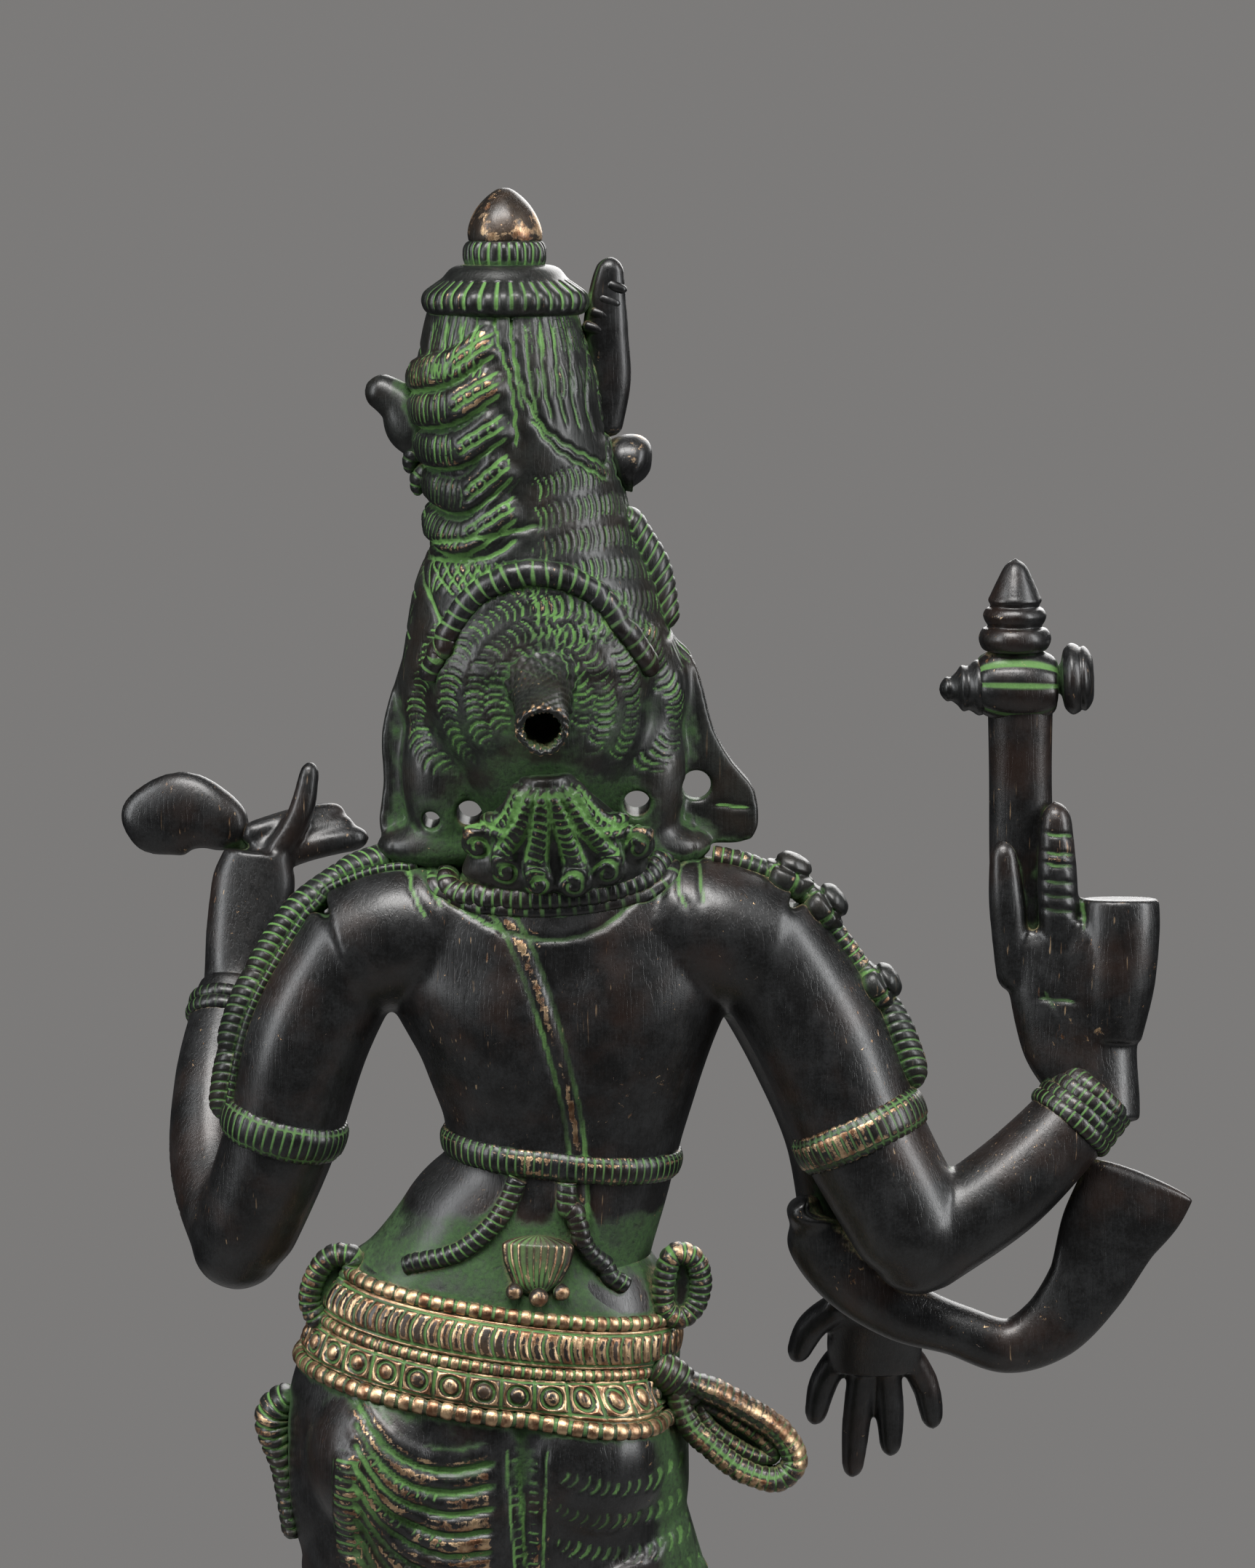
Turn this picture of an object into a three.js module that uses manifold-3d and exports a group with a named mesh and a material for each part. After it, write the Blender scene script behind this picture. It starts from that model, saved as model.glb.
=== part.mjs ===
// A small cast brass temple figure, half male and half female, on a lotus pedestal.
// Millimetres, +Z up. The figure faces -Y, so its own right side is at -X.
// The origin is the middle of the plinth's underside. Every piece of the figure is a separate solid,
// as the wax parts are before casting, and the figure stands by a tenon in a socket of its lotus seat.
import * as THREE from "three";
import { mergeVertices } from "three/addons/utils/BufferGeometryUtils.js";
import Module from "manifold-3d";

const wasm = await Module();
wasm.setup();

// ---- driving dimensions ----
const gap = 0.3; // clearance between neighbouring pieces

const plinthWidth = 104;
const plinthDepth = 88;
const plinthHeight = 24;
const seatRadius = 41;
const seatHeight = 30;
const seatDepthShare = 0.86; // the lotus is an oval, shorter front to back
const tenonWidth = 26;
const tenonDepth = 12;
const tenonLength = 14;
const footPlateHeight = 3;

const soleHeight = plinthHeight + seatHeight + footPlateHeight + gap;
const legLength = 126; // sole to the middle of the hips
const hipShift = 7; // the hips swing out over the standing leg
const hipHalfWidth = 28.6;
const hipHalfDepth = 19;
const stance = 30; // between the middles of the two feet
const footLength = 30;
const waistRise = 23; // hips to the narrowest of the waist
const waistHalfWidth = 15.8;
const waistHalfDepth = 11.8;
const trunkLength = 63; // hips to the shoulder joints
const chestHalfWidth = 20;
const chestHalfDepth = 13.6;
const shoulderSpan = 57; // between the two shoulder joints
const upperArmRadius = 8.8;
const forearmRadius = 6.8;
const wristRadius = 5.6;
const headRise = 31; // shoulder joints to the middle of the head
const headHalfWidth = 14.6;
const headHalfDepth = 16;
const neckRadius = 8.8;
const crownHeight = 51.5; // crown's lower edge to its collar
const crownFlare = 19.4; // half width at the lower edge
const crownRadius = 13.8;
const collarRadius = 9.5;
const collarHeight = 3.2;
const ringRadius = 5.7;
const ringHeight = 2.8;
const finialRadius = 5;
const finialHeight = 7.2;
const pegRadius = 3.4;
const pegLength = 19;
const pegBore = 2.3;
const pegBoreDepth = 9;
const shaftRadius = 4.1;
const shaftLength = 33;
const clothLength = 20; // the short cloth on the bare leg
const bandThickness = 1.3; // how far the girdle stands off the hips
const girdleTilt = THREE.MathUtils.degToRad(6.5);
const cordRadius = 1.6;

// ---- finishes ----
const patina = { color: 0x1b1a18, roughness: 0.42, metalness: 0.75 };
const verdigris = { color: 0x2c4a22, roughness: 0.7, metalness: 0.35 };
const rubbedBrass = { color: 0x9a7440, roughness: 0.36, metalness: 0.9 };
const pedestalBronze = { color: 0x24211c, roughness: 0.48, metalness: 0.7 };

// ---- shape helpers ----
const vec = (x, y, z) => new THREE.Vector3(x, y, z);
const from = (anchor, x, y, z) => vec(anchor.x + x, anchor.y + y, anchor.z + z);
const join = (solids) => solids.reduce((a, b) => a.add(b));
const cut = (body, tools) => tools.reduce((a, b) => a.subtract(b), body);

function solid(geometry) {
  const bare = geometry.clone();
  for (const extra of ["normal", "uv"]) bare.deleteAttribute(extra);
  const merged = mergeVertices(bare, 1e-4);
  return new wasm.Manifold(
    new wasm.Mesh({
      numProp: 3,
      vertProperties: merged.attributes.position.array,
      triVerts: new Uint32Array(merged.index.array),
    }),
  );
}

// The section of a limb at a share t of its length: its middle, its two half axes and its direction.
// Each station is [point, half width, half depth]; the half width lies along `side`.
function section(stations, t, side) {
  const path = new THREE.CatmullRomCurve3(stations.map((s) => s[0]), false, "centripetal");
  const sizes = new THREE.CatmullRomCurve3(stations.map(([, wide, deep = wide]) => vec(wide, deep, 0)));
  const along = path.getTangent(t);
  const across = side.clone().addScaledVector(along, -side.dot(along)).normalize();
  const size = sizes.getPoint(t);
  return { centre: path.getPoint(t), along, across, deep: along.clone().cross(across), size };
}

// A point on the skin of a limb. Angle 0 looks along -side, and a quarter turn on lies a half depth off.
function onSkin(stations, t, angle, lift = 0, side = vec(1, 0, 0)) {
  const { centre, across, deep, size } = section(stations, t, side);
  return centre
    .addScaledVector(across, -Math.cos(angle) * (size.x + lift))
    .addScaledVector(deep, Math.sin(angle) * (size.y + lift));
}

// A closed body drawn through its stations: a sphere's rings become the sections.
function limb(stations, { sides = 14, rings = 9, side = vec(1, 0, 0), grow = 0 } = {}) {
  const sphere = new THREE.SphereGeometry(1, sides, rings + 1);
  const place = sphere.attributes.position;
  for (let ring = 0; ring <= rings + 1; ring++) {
    const t = THREE.MathUtils.clamp((ring - 1) / (rings - 1), 0, 1);
    const { centre, along, across, deep, size } = section(stations, t, side);
    const isPole = ring === 0 || ring === rings + 1;
    if (t === 0) centre.addScaledVector(along, -grow);
    if (t === 1) centre.addScaledVector(along, grow);
    for (let k = 0; k <= sides; k++) {
      const angle = (2 * Math.PI * (k % sides)) / sides;
      const point = centre.clone();
      if (!isPole) {
        point.addScaledVector(across, -Math.cos(angle) * (size.x + grow));
        point.addScaledVector(deep, Math.sin(angle) * (size.y + grow));
      }
      place.setXYZ(ring * (sides + 1) + k, point.x, point.y, point.z);
    }
  }
  return solid(sphere);
}

// A body of revolution whose profile starts and ends on the axis, stood at a point along a direction.
function turned(profile, point, axis, { sides = 20, depthShare = 1, grow = 0 } = {}) {
  const last = profile.length - 1;
  const lathe = new THREE.LatheGeometry(
    profile.map(([r, h], i) => {
      const rise = h + (h > (profile[0][1] + profile[last][1]) / 2 ? grow : -grow);
      return new THREE.Vector2(i === 0 || i === last ? 0 : r + grow, rise);
    }),
    sides,
  );
  lathe.scale(1, 1, depthShare);
  const turn = new THREE.Quaternion().setFromUnitVectors(vec(0, 1, 0), axis.clone().normalize());
  return solid(lathe.applyQuaternion(turn).translate(point.x, point.y, point.z));
}

// A bead or ring blank: a short cylinder with a swollen rim.
const bead = (radius, height) => [
  [0, -height / 2],
  [radius * 0.88, -height / 2],
  [radius, -height / 5],
  [radius, height / 5],
  [radius * 0.88, height / 2],
  [0, height / 2],
];

// A flat plate cut to a smooth outline in the XZ plane, with round holes, its thickness along Y.
function plate(outline, y, thickness, holes = [], grow = 0) {
  const curve = new THREE.SplineCurve(outline.concat([outline[0]]).map((p) => new THREE.Vector2(...p)));
  const shape = new THREE.Shape(curve.getPoints(outline.length * 3).slice(0, -1));
  holes.forEach(([x, z, radius]) => {
    shape.holes.push(new THREE.Path().absarc(x, z, radius - grow, 0, 2 * Math.PI));
  });
  const depth = thickness + 2 * grow;
  const body = new THREE.ExtrudeGeometry(shape, { depth, bevelEnabled: false, curveSegments: 6 });
  return solid(body.rotateX(Math.PI / 2).translate(0, y + depth / 2, 0));
}

const limbOf = (stations, sides = 14, rings = 9) => (grow) => limb(stations, { sides, rings, grow });

// A wide slab whose middle plane passes through a point, square to a direction.
function slab(point, axis, height, reach = 60) {
  return turned([[0, -height / 2], [reach, -height / 2], [reach, height / 2], [0, height / 2]], point, axis, {
    sides: 8,
  });
}

// A band that follows the skin of a body inside a slab, `thickness` proud of it.
function bandOn(shape, thickness, point, axis, height, reach) {
  return (grow) =>
    shape(gap + thickness + grow)
      .intersect(slab(point, axis, height + 2 * grow, reach + grow))
      .subtract(shape(gap - grow));
}

const cord = (points, radius, grow, { sides = 8, rings = 14 } = {}) =>
  limb(points.map((p) => [p, radius]), { sides, rings, side: vec(0.31, 1, 0.17), grow });

// A cord closed on itself: a torus drawn along a closed path.
function ringCord(points, radius, grow) {
  const path = new THREE.CatmullRomCurve3(points, true);
  const steps = points.length * 3;
  const sides = 7;
  const torus = new THREE.TorusGeometry(2, 1, sides, steps);
  const middle = points.reduce((sum, p) => sum.add(p), vec(0, 0, 0)).divideScalar(points.length);
  for (let j = 0; j <= sides; j++) {
    for (let i = 0; i <= steps; i++) {
      const centre = path.getPoint((i % steps) / steps);
      const along = path.getTangent((i % steps) / steps);
      const out = centre.clone().sub(middle);
      out.addScaledVector(along, -out.dot(along)).normalize();
      const rise = along.clone().cross(out);
      const angle = (2 * Math.PI * (j % sides)) / sides;
      centre.addScaledVector(out, Math.cos(angle) * (radius + grow));
      centre.addScaledVector(rise, -Math.sin(angle) * (radius + grow));
      torus.attributes.position.setXYZ(j * (steps + 1) + i, centre.x, centre.y, centre.z);
    }
  }
  return solid(torus);
}

// ---- skeleton of the figure ----
const hips = vec(hipShift, 1.5, soleHeight + legLength);
const waist = vec(-1, 2.5, hips.z + waistRise);
const chest = vec(-3.4, 2.5, hips.z + trunkLength - 15);
const shoulders = vec(-2.6, 3, hips.z + trunkLength);
const leftShoulder = from(shoulders, shoulderSpan / 2, 0, 0);
const rightShoulder = from(shoulders, -shoulderSpan / 2, 1, 0.5);
const head = vec(-0.6, 1.5, shoulders.z + headRise);
const crownFoot = from(head, 0.6, 0, 7.5);
const crownTop = from(crownFoot, 4.6, 3, crownHeight);
const leftElbow = from(leftShoulder, 16.6, -2.5, -44.5);
const leftWrist = from(leftElbow, 3.2, -28.5, 30.5);
const rearElbow = from(rightShoulder, -21.6, 4.5, -43);
const rearWrist = from(rearElbow, -25.4, -4.5, 19.5);
const frontElbow = from(rightShoulder, -12.6, -13, -43);
const frontWrist = from(frontElbow, -5.6, -29, -18);
const leftFoot = vec(stance / 2 - 1, 1, soleHeight);
const rightFoot = vec(-stance / 2 - 1, 1, soleHeight);

// ---- stations of the big bodies ----
// a point at a share of the way from the waist to the chest
const overWaist = (share, x) => from(waist.clone().lerp(chest, share), x, 0, 0);
const trunkStations = [
  [from(waist, 0, 0, -1.8), waistHalfWidth, waistHalfDepth],
  [overWaist(0.2, 0), waistHalfWidth * 1.01, waistHalfDepth],
  [overWaist(0.54, -0.7), (waistHalfWidth + chestHalfWidth) / 2 - 0.5, waistHalfDepth + 0.6],
  [overWaist(0.92, -0.2), chestHalfWidth, chestHalfDepth],
  [from(shoulders, -0.4, -0.4, -5), shoulderSpan / 2 - 3.5, chestHalfDepth],
  [from(shoulders, 0, 0.4, 3), shoulderSpan / 2 - 3.5, chestHalfDepth - 2],
  [from(shoulders, 0.4, 0.6, 10), shoulderSpan / 2 - 11, chestHalfDepth - 4.2],
  [from(shoulders, 1, 0.6, 14), neckRadius + 1, neckRadius],
];
const hipStations = [
  [from(waist, 0, 0, -2.3), waistHalfWidth, waistHalfDepth],
  [from(hips, -3.6, 1, 13), waistHalfWidth + 4.8, waistHalfDepth + 3.4],
  [from(hips, -1.2, 0.6, 4), hipHalfWidth - 2.6, hipHalfDepth - 1],
  [from(hips, 0.5, 0, -6), hipHalfWidth, hipHalfDepth],
  [from(hips, 0.6, 0, -15), hipHalfWidth, hipHalfDepth],
  [from(hips, 0.6, 0, -23), hipHalfWidth - 1.4, hipHalfDepth - 1],
];
const skirtLegStations = [
  [from(hips, hipHalfWidth * 0.44, 0, -23.3), hipHalfWidth * 0.56, hipHalfDepth - 2],
  [from(hips, hipHalfWidth * 0.385, 0, -legLength * 0.36), hipHalfWidth * 0.54, hipHalfDepth - 3.5],
  [from(leftFoot, 1.8, -1, legLength * 0.44), 11.6, 12.4],
  [from(leftFoot, 0.8, 0, legLength * 0.25), 9.8, 10.6],
  [from(leftFoot, 0, 0.8, legLength * 0.1), 9, 9.6],
  [from(leftFoot, 0, 0.8, legLength * 0.055), 10, 10.6],
];
const bareLegStations = [
  [from(hips, -hipHalfWidth * 0.503, 0, -23.3), hipHalfWidth * 0.455, hipHalfDepth - 3.5],
  [from(hips, -hipHalfWidth * 0.594, -2, -legLength * 0.34), hipHalfWidth * 0.42, 12.4],
  [from(rightFoot, -3, -8.5, legLength * 0.45), 8.6, 9],
  [from(rightFoot, -1.6, -2, legLength * 0.3), 7.8, 8.4],
  [from(rightFoot, 0, 1.4, legLength * 0.11), 4.9, 5.4],
  [from(rightFoot, 0, 1.6, legLength * 0.07), 5, 5.6],
];
const crownStations = [
  [from(crownFoot, 0, 0, 0), crownFlare, crownFlare - 2.4],
  [from(crownFoot, 0.6, 0, crownHeight * 0.22), crownFlare - 2.4, crownFlare - 4],
  [from(crownFoot, 1, 0.4, crownHeight * 0.35), crownRadius + 0.5, crownRadius + 0.5],
  [from(crownFoot, 2, 0.8, crownHeight * 0.5), crownRadius - 0.6, crownRadius - 0.4],
  [from(crownFoot, 3.4, 1.4, crownHeight * 0.6), crownRadius - 0.4, crownRadius],
  [from(crownFoot, 5.4, 2, crownHeight * 0.74), crownRadius + 0.5, crownRadius],
  [from(crownFoot, 6, 2.6, crownHeight * 0.9), crownRadius - 1.6, crownRadius - 1.4],
  [crownTop, collarRadius, collarRadius],
];
const headStations = [
  [from(head, 0, -4.4, -13.8), 5, 6],
  [from(head, 0, -2, -9.5), headHalfWidth - 4.4, headHalfDepth - 4],
  [from(head, 0, 0, -1), headHalfWidth - 1.2, headHalfDepth - 1],
  [from(head, 0, 0.4, 8), headHalfWidth, headHalfDepth],
  [from(head, 0.4, 0.4, 15), headHalfWidth - 2, headHalfDepth - 2.4],
  [from(head, 0.6, 0.6, 20), headHalfWidth - 8, headHalfDepth - 9],
];
const armStations = {
  left: [
    [from(leftShoulder, -1, 0, 1), upperArmRadius - 0.4],
    [from(leftShoulder, 6.6, 0, -13), upperArmRadius + 0.2],
    [from(leftShoulder, 10.8, -0.5, -28.5), upperArmRadius - 0.7],
    [from(leftElbow, -0.6, 0, 2), upperArmRadius - 1.6],
    [from(leftElbow, 1.2, -1, -3.8), upperArmRadius - 4.4],
  ],
  rear: [
    [from(rightShoulder, 1, 0, 1), upperArmRadius],
    [from(rightShoulder, -8, 1, -13.5), upperArmRadius + 0.6],
    [from(rightShoulder, -13.6, 2.2, -27), upperArmRadius + 0.2],
    [from(rearElbow, 0.6, 0, 2), upperArmRadius - 0.5],
    [from(rearElbow, -2, 0, -4.4), upperArmRadius - 4],
  ],
  front: [
    [from(rightShoulder, 0.5, -5, -3), upperArmRadius],
    [from(rightShoulder, -6.4, -9.5, -17), upperArmRadius - 0.4],
    [from(frontElbow, 1.6, 2, 13), upperArmRadius - 1.2],
    [from(frontElbow, 0, 0, 1), upperArmRadius - 1.8],
    [from(frontElbow, 0, -1, -4), upperArmRadius - 4.8],
  ],
};
const forearmStations = {
  left: [
    [from(leftElbow, 0.6, -1, 0), forearmRadius - 0.4],
    [from(leftElbow, 4.4, -11.5, 8.5), forearmRadius],
    [from(leftElbow, 5, -20, 20), forearmRadius - 0.6],
    [from(leftWrist, 0, 0, 0), wristRadius - 0.4],
  ],
  rear: [
    [from(rearElbow, 0, 0, -0.4), forearmRadius],
    [from(rearElbow, -11.5, -1.4, 7.2), forearmRadius - 0.1],
    [from(rearElbow, -19, -3, 14), forearmRadius - 0.6],
    [from(rearWrist, 0, 0, 0), wristRadius],
  ],
  front: [
    [from(frontElbow, 0, -1, -0.5), forearmRadius - 0.2],
    [from(frontElbow, -2, -11, -6), forearmRadius],
    [from(frontElbow, -4.2, -21, -12), forearmRadius - 0.8],
    [from(frontWrist, 0, 0, 0), wristRadius - 0.4],
  ],
};

// ---- pieces ----
const group = new THREE.Group();
const shapes = {};

// Adds a piece. Its shape is a function of how much it is grown, and it keeps clear of the pieces named.
function piece(name, finish, shape, clearOf = []) {
  const made = new Map();
  shapes[name] = (grow) => {
    if (!made.has(grow)) made.set(grow, shape(grow));
    return made.get(grow);
  };
  const body = cut(shapes[name](0), clearOf.map((other) => shapes[other](gap))).getMesh();
  const geometry = new THREE.BufferGeometry();
  geometry.setAttribute("position", new THREE.BufferAttribute(body.vertProperties, 3));
  geometry.setIndex(new THREE.BufferAttribute(body.triVerts, 1));
  geometry.computeVertexNormals();
  const mesh = new THREE.Mesh(geometry, new THREE.MeshStandardMaterial(finish));
  mesh.name = name;
  group.add(mesh);
}

// pedestal
const up = vec(0, 0, 1);
piece("plinth", pedestalBronze, (grow) => {
  const half = plinthWidth / Math.SQRT2;
  const profile = [
    [0, 0],
    [half, 0],
    [half, plinthHeight * 0.26],
    [half - 5, plinthHeight * 0.38],
    [half - 9, plinthHeight * 0.42],
    [half - 9, plinthHeight * 0.72],
    [half - 4, plinthHeight * 0.8],
    [half - 4, plinthHeight],
    [0, plinthHeight],
  ];
  const lathe = new THREE.LatheGeometry(profile.map(([r, h]) => new THREE.Vector2(r + grow, h)), 4);
  lathe.rotateY(Math.PI / 4).scale(1, 1, plinthDepth / plinthWidth).rotateX(Math.PI / 2);
  return solid(lathe);
});

const socketWall = 0.6; // room round the tenon
const tenonBox = (spare) => (grow) => {
  const size = [tenonWidth + 2 * spare, tenonDepth + 2 * spare, tenonLength + spare + footPlateHeight];
  const box = new THREE.BoxGeometry(...size.map((length) => length + 2 * grow));
  return solid(box.translate(0, 1, soleHeight - size[2] / 2 - 0.01));
};

piece("lotus_seat", pedestalBronze, () => {
  const rise = plinthHeight + gap;
  const top = rise + seatHeight;
  const profile = [
    [0, rise],
    [seatRadius, rise],
    [seatRadius, rise + 3.4],
    [seatRadius - 2.6, rise + 8],
    [seatRadius - 8.2, rise + 12.4],
    [seatRadius - 9, rise + 14.4],
    [seatRadius - 8.2, rise + 16.4],
    [seatRadius - 2.4, rise + 21.4],
    [seatRadius - 1.2, rise + 25],
    [seatRadius - 2.6, rise + 27],
    [seatRadius - 5.4, rise + 27.4],
    [seatRadius - 5.4, top],
    [0, top],
  ];
  const body = turned(profile, vec(0, 0, 0), up, { sides: 24, depthShare: seatDepthShare });
  return body.subtract(tenonBox(socketWall)(0));
});

piece("foot_plate", patina, () => {
  const reach = stance / 2 + 13;
  const profile = [
    [0, soleHeight - footPlateHeight],
    [reach, soleHeight - footPlateHeight],
    [reach, soleHeight - 1],
    [reach - 1, soleHeight],
    [0, soleHeight],
  ];
  return turned(profile, vec(0, 0, 0), up, { sides: 24, depthShare: 0.86 }).add(
    tenonBox(0)(0).intersect(slab(vec(0, 0, soleHeight - tenonLength / 2 - 1.5), up, tenonLength + 1)),
  );
});

// a foot pointing forwards and a little outwards
function footShape(foot, turn, grow) {
  const sole = limb(
    [
      [from(foot, 0, 6.6, 3.2), 3.2, 2.8],
      [from(foot, 0, 3, 4.6), 4.2, 4.2],
      [from(foot, turn * 0.3, -5, 4), 4.6, 3.6],
      [from(foot, turn * 0.7, -footLength * 0.42, 2.6), 5.8, 2.2],
      [from(foot, turn, -footLength * 0.68, 1.8), 4.2, 1.4],
    ],
    { sides: 10, rings: 7, grow },
  );
  const ankle = limb(
    [
      [from(foot, 0, 2, 2.8), 4, 4.6],
      [from(foot, 0, 2, legLength * 0.1), 4.3, 4.8],
    ],
    { sides: 10, rings: 2, grow },
  );
  return sole.add(ankle).intersect(slab(from(foot, 0, 0, 10 + gap - grow), up, 20));
}

piece("hips", patina, limbOf(hipStations, 14, 8));
const leg = (stations, foot, turn) => (grow) => limbOf(stations)(grow).add(footShape(foot, turn, grow));
piece("left_leg_skirt", patina, leg(skirtLegStations, leftFoot, 3), ["hips"]);
piece("right_leg", patina, leg(bareLegStations, rightFoot, -5), ["hips", "left_leg_skirt"]);

// the short cloth on the bare leg: a sleeve with a flared hem
const clothMiddle = from(section(bareLegStations, 0.19, vec(1, 0, 0)).centre, 0, 0, 2);
piece("right_short_cloth", patina,
  bandOn(limbOf(bareLegStations), 1.5, clothMiddle, vec(-0.12, 0.05, 1), clothLength, 26),
  ["left_leg_skirt", "hips"]);

piece("torso", patina, (grow) => {
  const trunk = limb(trunkStations, { sides: 16, rings: 10, grow });
  const caps = [[leftShoulder, 1], [rightShoulder, -1]].map(([joint, out]) =>
    limb(
      [
        [from(joint, -out * 15, 0.4, 3.5), 8.6],
        [from(joint, -out * 6, 0, 1), upperArmRadius + 1.2],
        [from(joint, out * 1, 0, -1.5), upperArmRadius + 0.8],
      ],
      { sides: 10, rings: 4, side: vec(0, 1, 0), grow },
    ));
  return join([trunk, ...caps]);
}, ["hips"]);

piece("head", patina, (grow) => {
  const neck = limb(
    [
      [from(shoulders, 0.8, 0.6, 8), neckRadius],
      [from(shoulders, 1.4, 0, 17), neckRadius - 0.6],
      [from(head, 0, 0.6, -7), neckRadius],
    ],
    { sides: 12, rings: 3, grow },
  );
  return neck.add(limb(headStations, { sides: 16, rings: 8, grow }));
}, ["torso"]);

// crown of matted hair, its collar, ring and bud finial
piece("crown", verdigris, (grow) => limb(crownStations, { sides: 16, rings: 10, grow }), ["head"]);
const collarFoot = crownTop.z + gap;
const collar = (grow) =>
  turned(
    [
      [0, 0],
      [collarRadius, 0],
      [collarRadius - 0.6, collarHeight * 0.6],
      [ringRadius + 1, collarHeight],
      [0, collarHeight],
    ],
    vec(crownTop.x, crownTop.y, collarFoot), up, { grow },
  );
piece("crown_collar", verdigris, collar, ["crown"]);
const ringFoot = collarFoot + collarHeight + gap;
piece("crown_ring", verdigris, (grow) =>
  turned(bead(ringRadius, ringHeight), vec(crownTop.x, crownTop.y, ringFoot + ringHeight / 2), up, { grow }));
const finialFoot = ringFoot + ringHeight + gap;
piece("crown_finial", rubbedBrass, (grow) =>
  turned(
    [
      [0, 0],
      [finialRadius * 0.86, 0],
      [finialRadius, finialHeight * 0.2],
      [finialRadius * 0.86, finialHeight * 0.52],
      [finialRadius * 0.45, finialHeight * 0.86],
      [finialRadius * 0.14, finialHeight],
      [0, finialHeight],
    ],
    vec(crownTop.x, crownTop.y, finialFoot), up, { grow },
  ));

// ornaments tied into the crown: each grows out of its skin at a share of the height
const crownEdge = (share, out, lift = 0) => onSkin(crownStations, share, out < 0 ? 0 : Math.PI, lift);
piece("crown_crescent", verdigris, (grow) =>
  limb(
    [
      [from(crownEdge(0.68, 1), -2, 0, -3), 4, 3],
      [from(crownEdge(0.7, 1), 1.6, -0.4, 0.6), 3.6, 2.6],
      [from(crownEdge(0.72, 1), 5, -0.8, 2.4), 1.8, 1.6],
    ],
    { sides: 10, rings: 5, side: vec(0, 0, 1), grow },
  ), ["crown"]);
piece("crown_blade", patina, (grow) =>
  limb(
    [
      [from(crownEdge(0.56, -1), 0.4, 0, -1), 2.4, 2],
      [from(crownEdge(0.66, -1), -0.8, 0, 3), 3.2, 2],
      [from(crownEdge(0.8, -1), -2.2, 0, 3.4), 3, 1.8],
      [from(crownEdge(0.9, -1), -4.6, 0, 8.4), 1, 0.9],
    ],
    { sides: 10, rings: 6, grow },
  ), ["crown"]);
piece("crown_knob", patina, (grow) =>
  limb(
    [
      [from(crownEdge(0.42, -1), 2, 0, -0.6), 3.4],
      [from(crownEdge(0.42, -1), -1.6, -0.4, 0.4), 3.9],
      [from(crownEdge(0.42, -1), -4, -0.6, -0.6), 2.2],
    ],
    { sides: 10, rings: 4, side: vec(0, 1, 0), grow },
  ), ["crown", "crown_blade"]);
piece("crown_braid", verdigris, (grow) =>
  cord([0.33, 0.26, 0.17, 0.05].map((share) => crownEdge(share, -1, 0.9)), 2.3, grow, { rings: 7 }),
["crown", "crown_knob"]);

// cord that arches over the back of the head, and the hollow peg below it
piece("arch_cord", patina, (grow) => {
  const legs = [-1, 1].map((out) => onSkin(headStations, 0.5, Math.PI / 2 + out * 0.98, 2.4));
  const sides = [-1, 1].map((out) => onSkin(crownStations, 0.05, Math.PI / 2 + out * 0.76, 0.7));
  const shoulder = [-1, 1].map((out) => onSkin(crownStations, 0.16, Math.PI / 2 + out * 0.5, 0.7));
  const apex = onSkin(crownStations, 0.23, Math.PI / 2, 0.7);
  return cord([legs[0], sides[0], shoulder[0], apex, shoulder[1], sides[1], legs[1]], 1.7, grow, {
    rings: 15,
  });
}, ["crown", "head"]);
const pegAxis = vec(-0.02, 1, -0.2).normalize();
const pegRoot = onSkin(headStations, 0.56, Math.PI / 2, -1.5);
piece("halo_peg", patina, (grow) => {
  const flare = pegRadius + 1.4;
  const outer = turned(
    [[0, 0], [flare, 0], [pegRadius + 0.3, 5], [pegRadius, pegLength], [0, pegLength]],
    pegRoot, pegAxis, { sides: 20, grow },
  );
  const boreEnd = pegRoot.clone().addScaledVector(pegAxis, pegLength - pegBoreDepth);
  const through = pegBoreDepth + 2;
  const bore = turned([[0, 0], [pegBore, 0], [pegBore, through], [0, through]], boreEnd, pegAxis);
  return outer.subtract(bore);
}, ["head", "crown"]);

// five locks of hair on the nape, fanned out from one root under the peg
const lockEnds = [[8.2, -2.4], [4.6, -5.6], [-1, -6.6], [-7.6, -3.4], [-11.4, -0.6]];
piece("nape_locks", patina, (grow) => {
  const root = from(head, -0.6, headHalfDepth + 0.4, -7.4);
  const locks = lockEnds.map(([x, z]) => {
    const tip = from(shoulders, 0.6 + x, chestHalfDepth - 1 - Math.abs(x) * 0.16, 16.5 + z);
    const mid = root.clone().lerp(tip, 0.5).add(vec(x * 0.1, 1.4, 0));
    return limb([[root, 1.6, 1.6], [mid, 1.9, 1.7], [tip, 2.1, 1.8]], { sides: 6, rings: 4, grow });
  });
  return join(locks);
}, ["torso", "head", "halo_peg"]);

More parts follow.
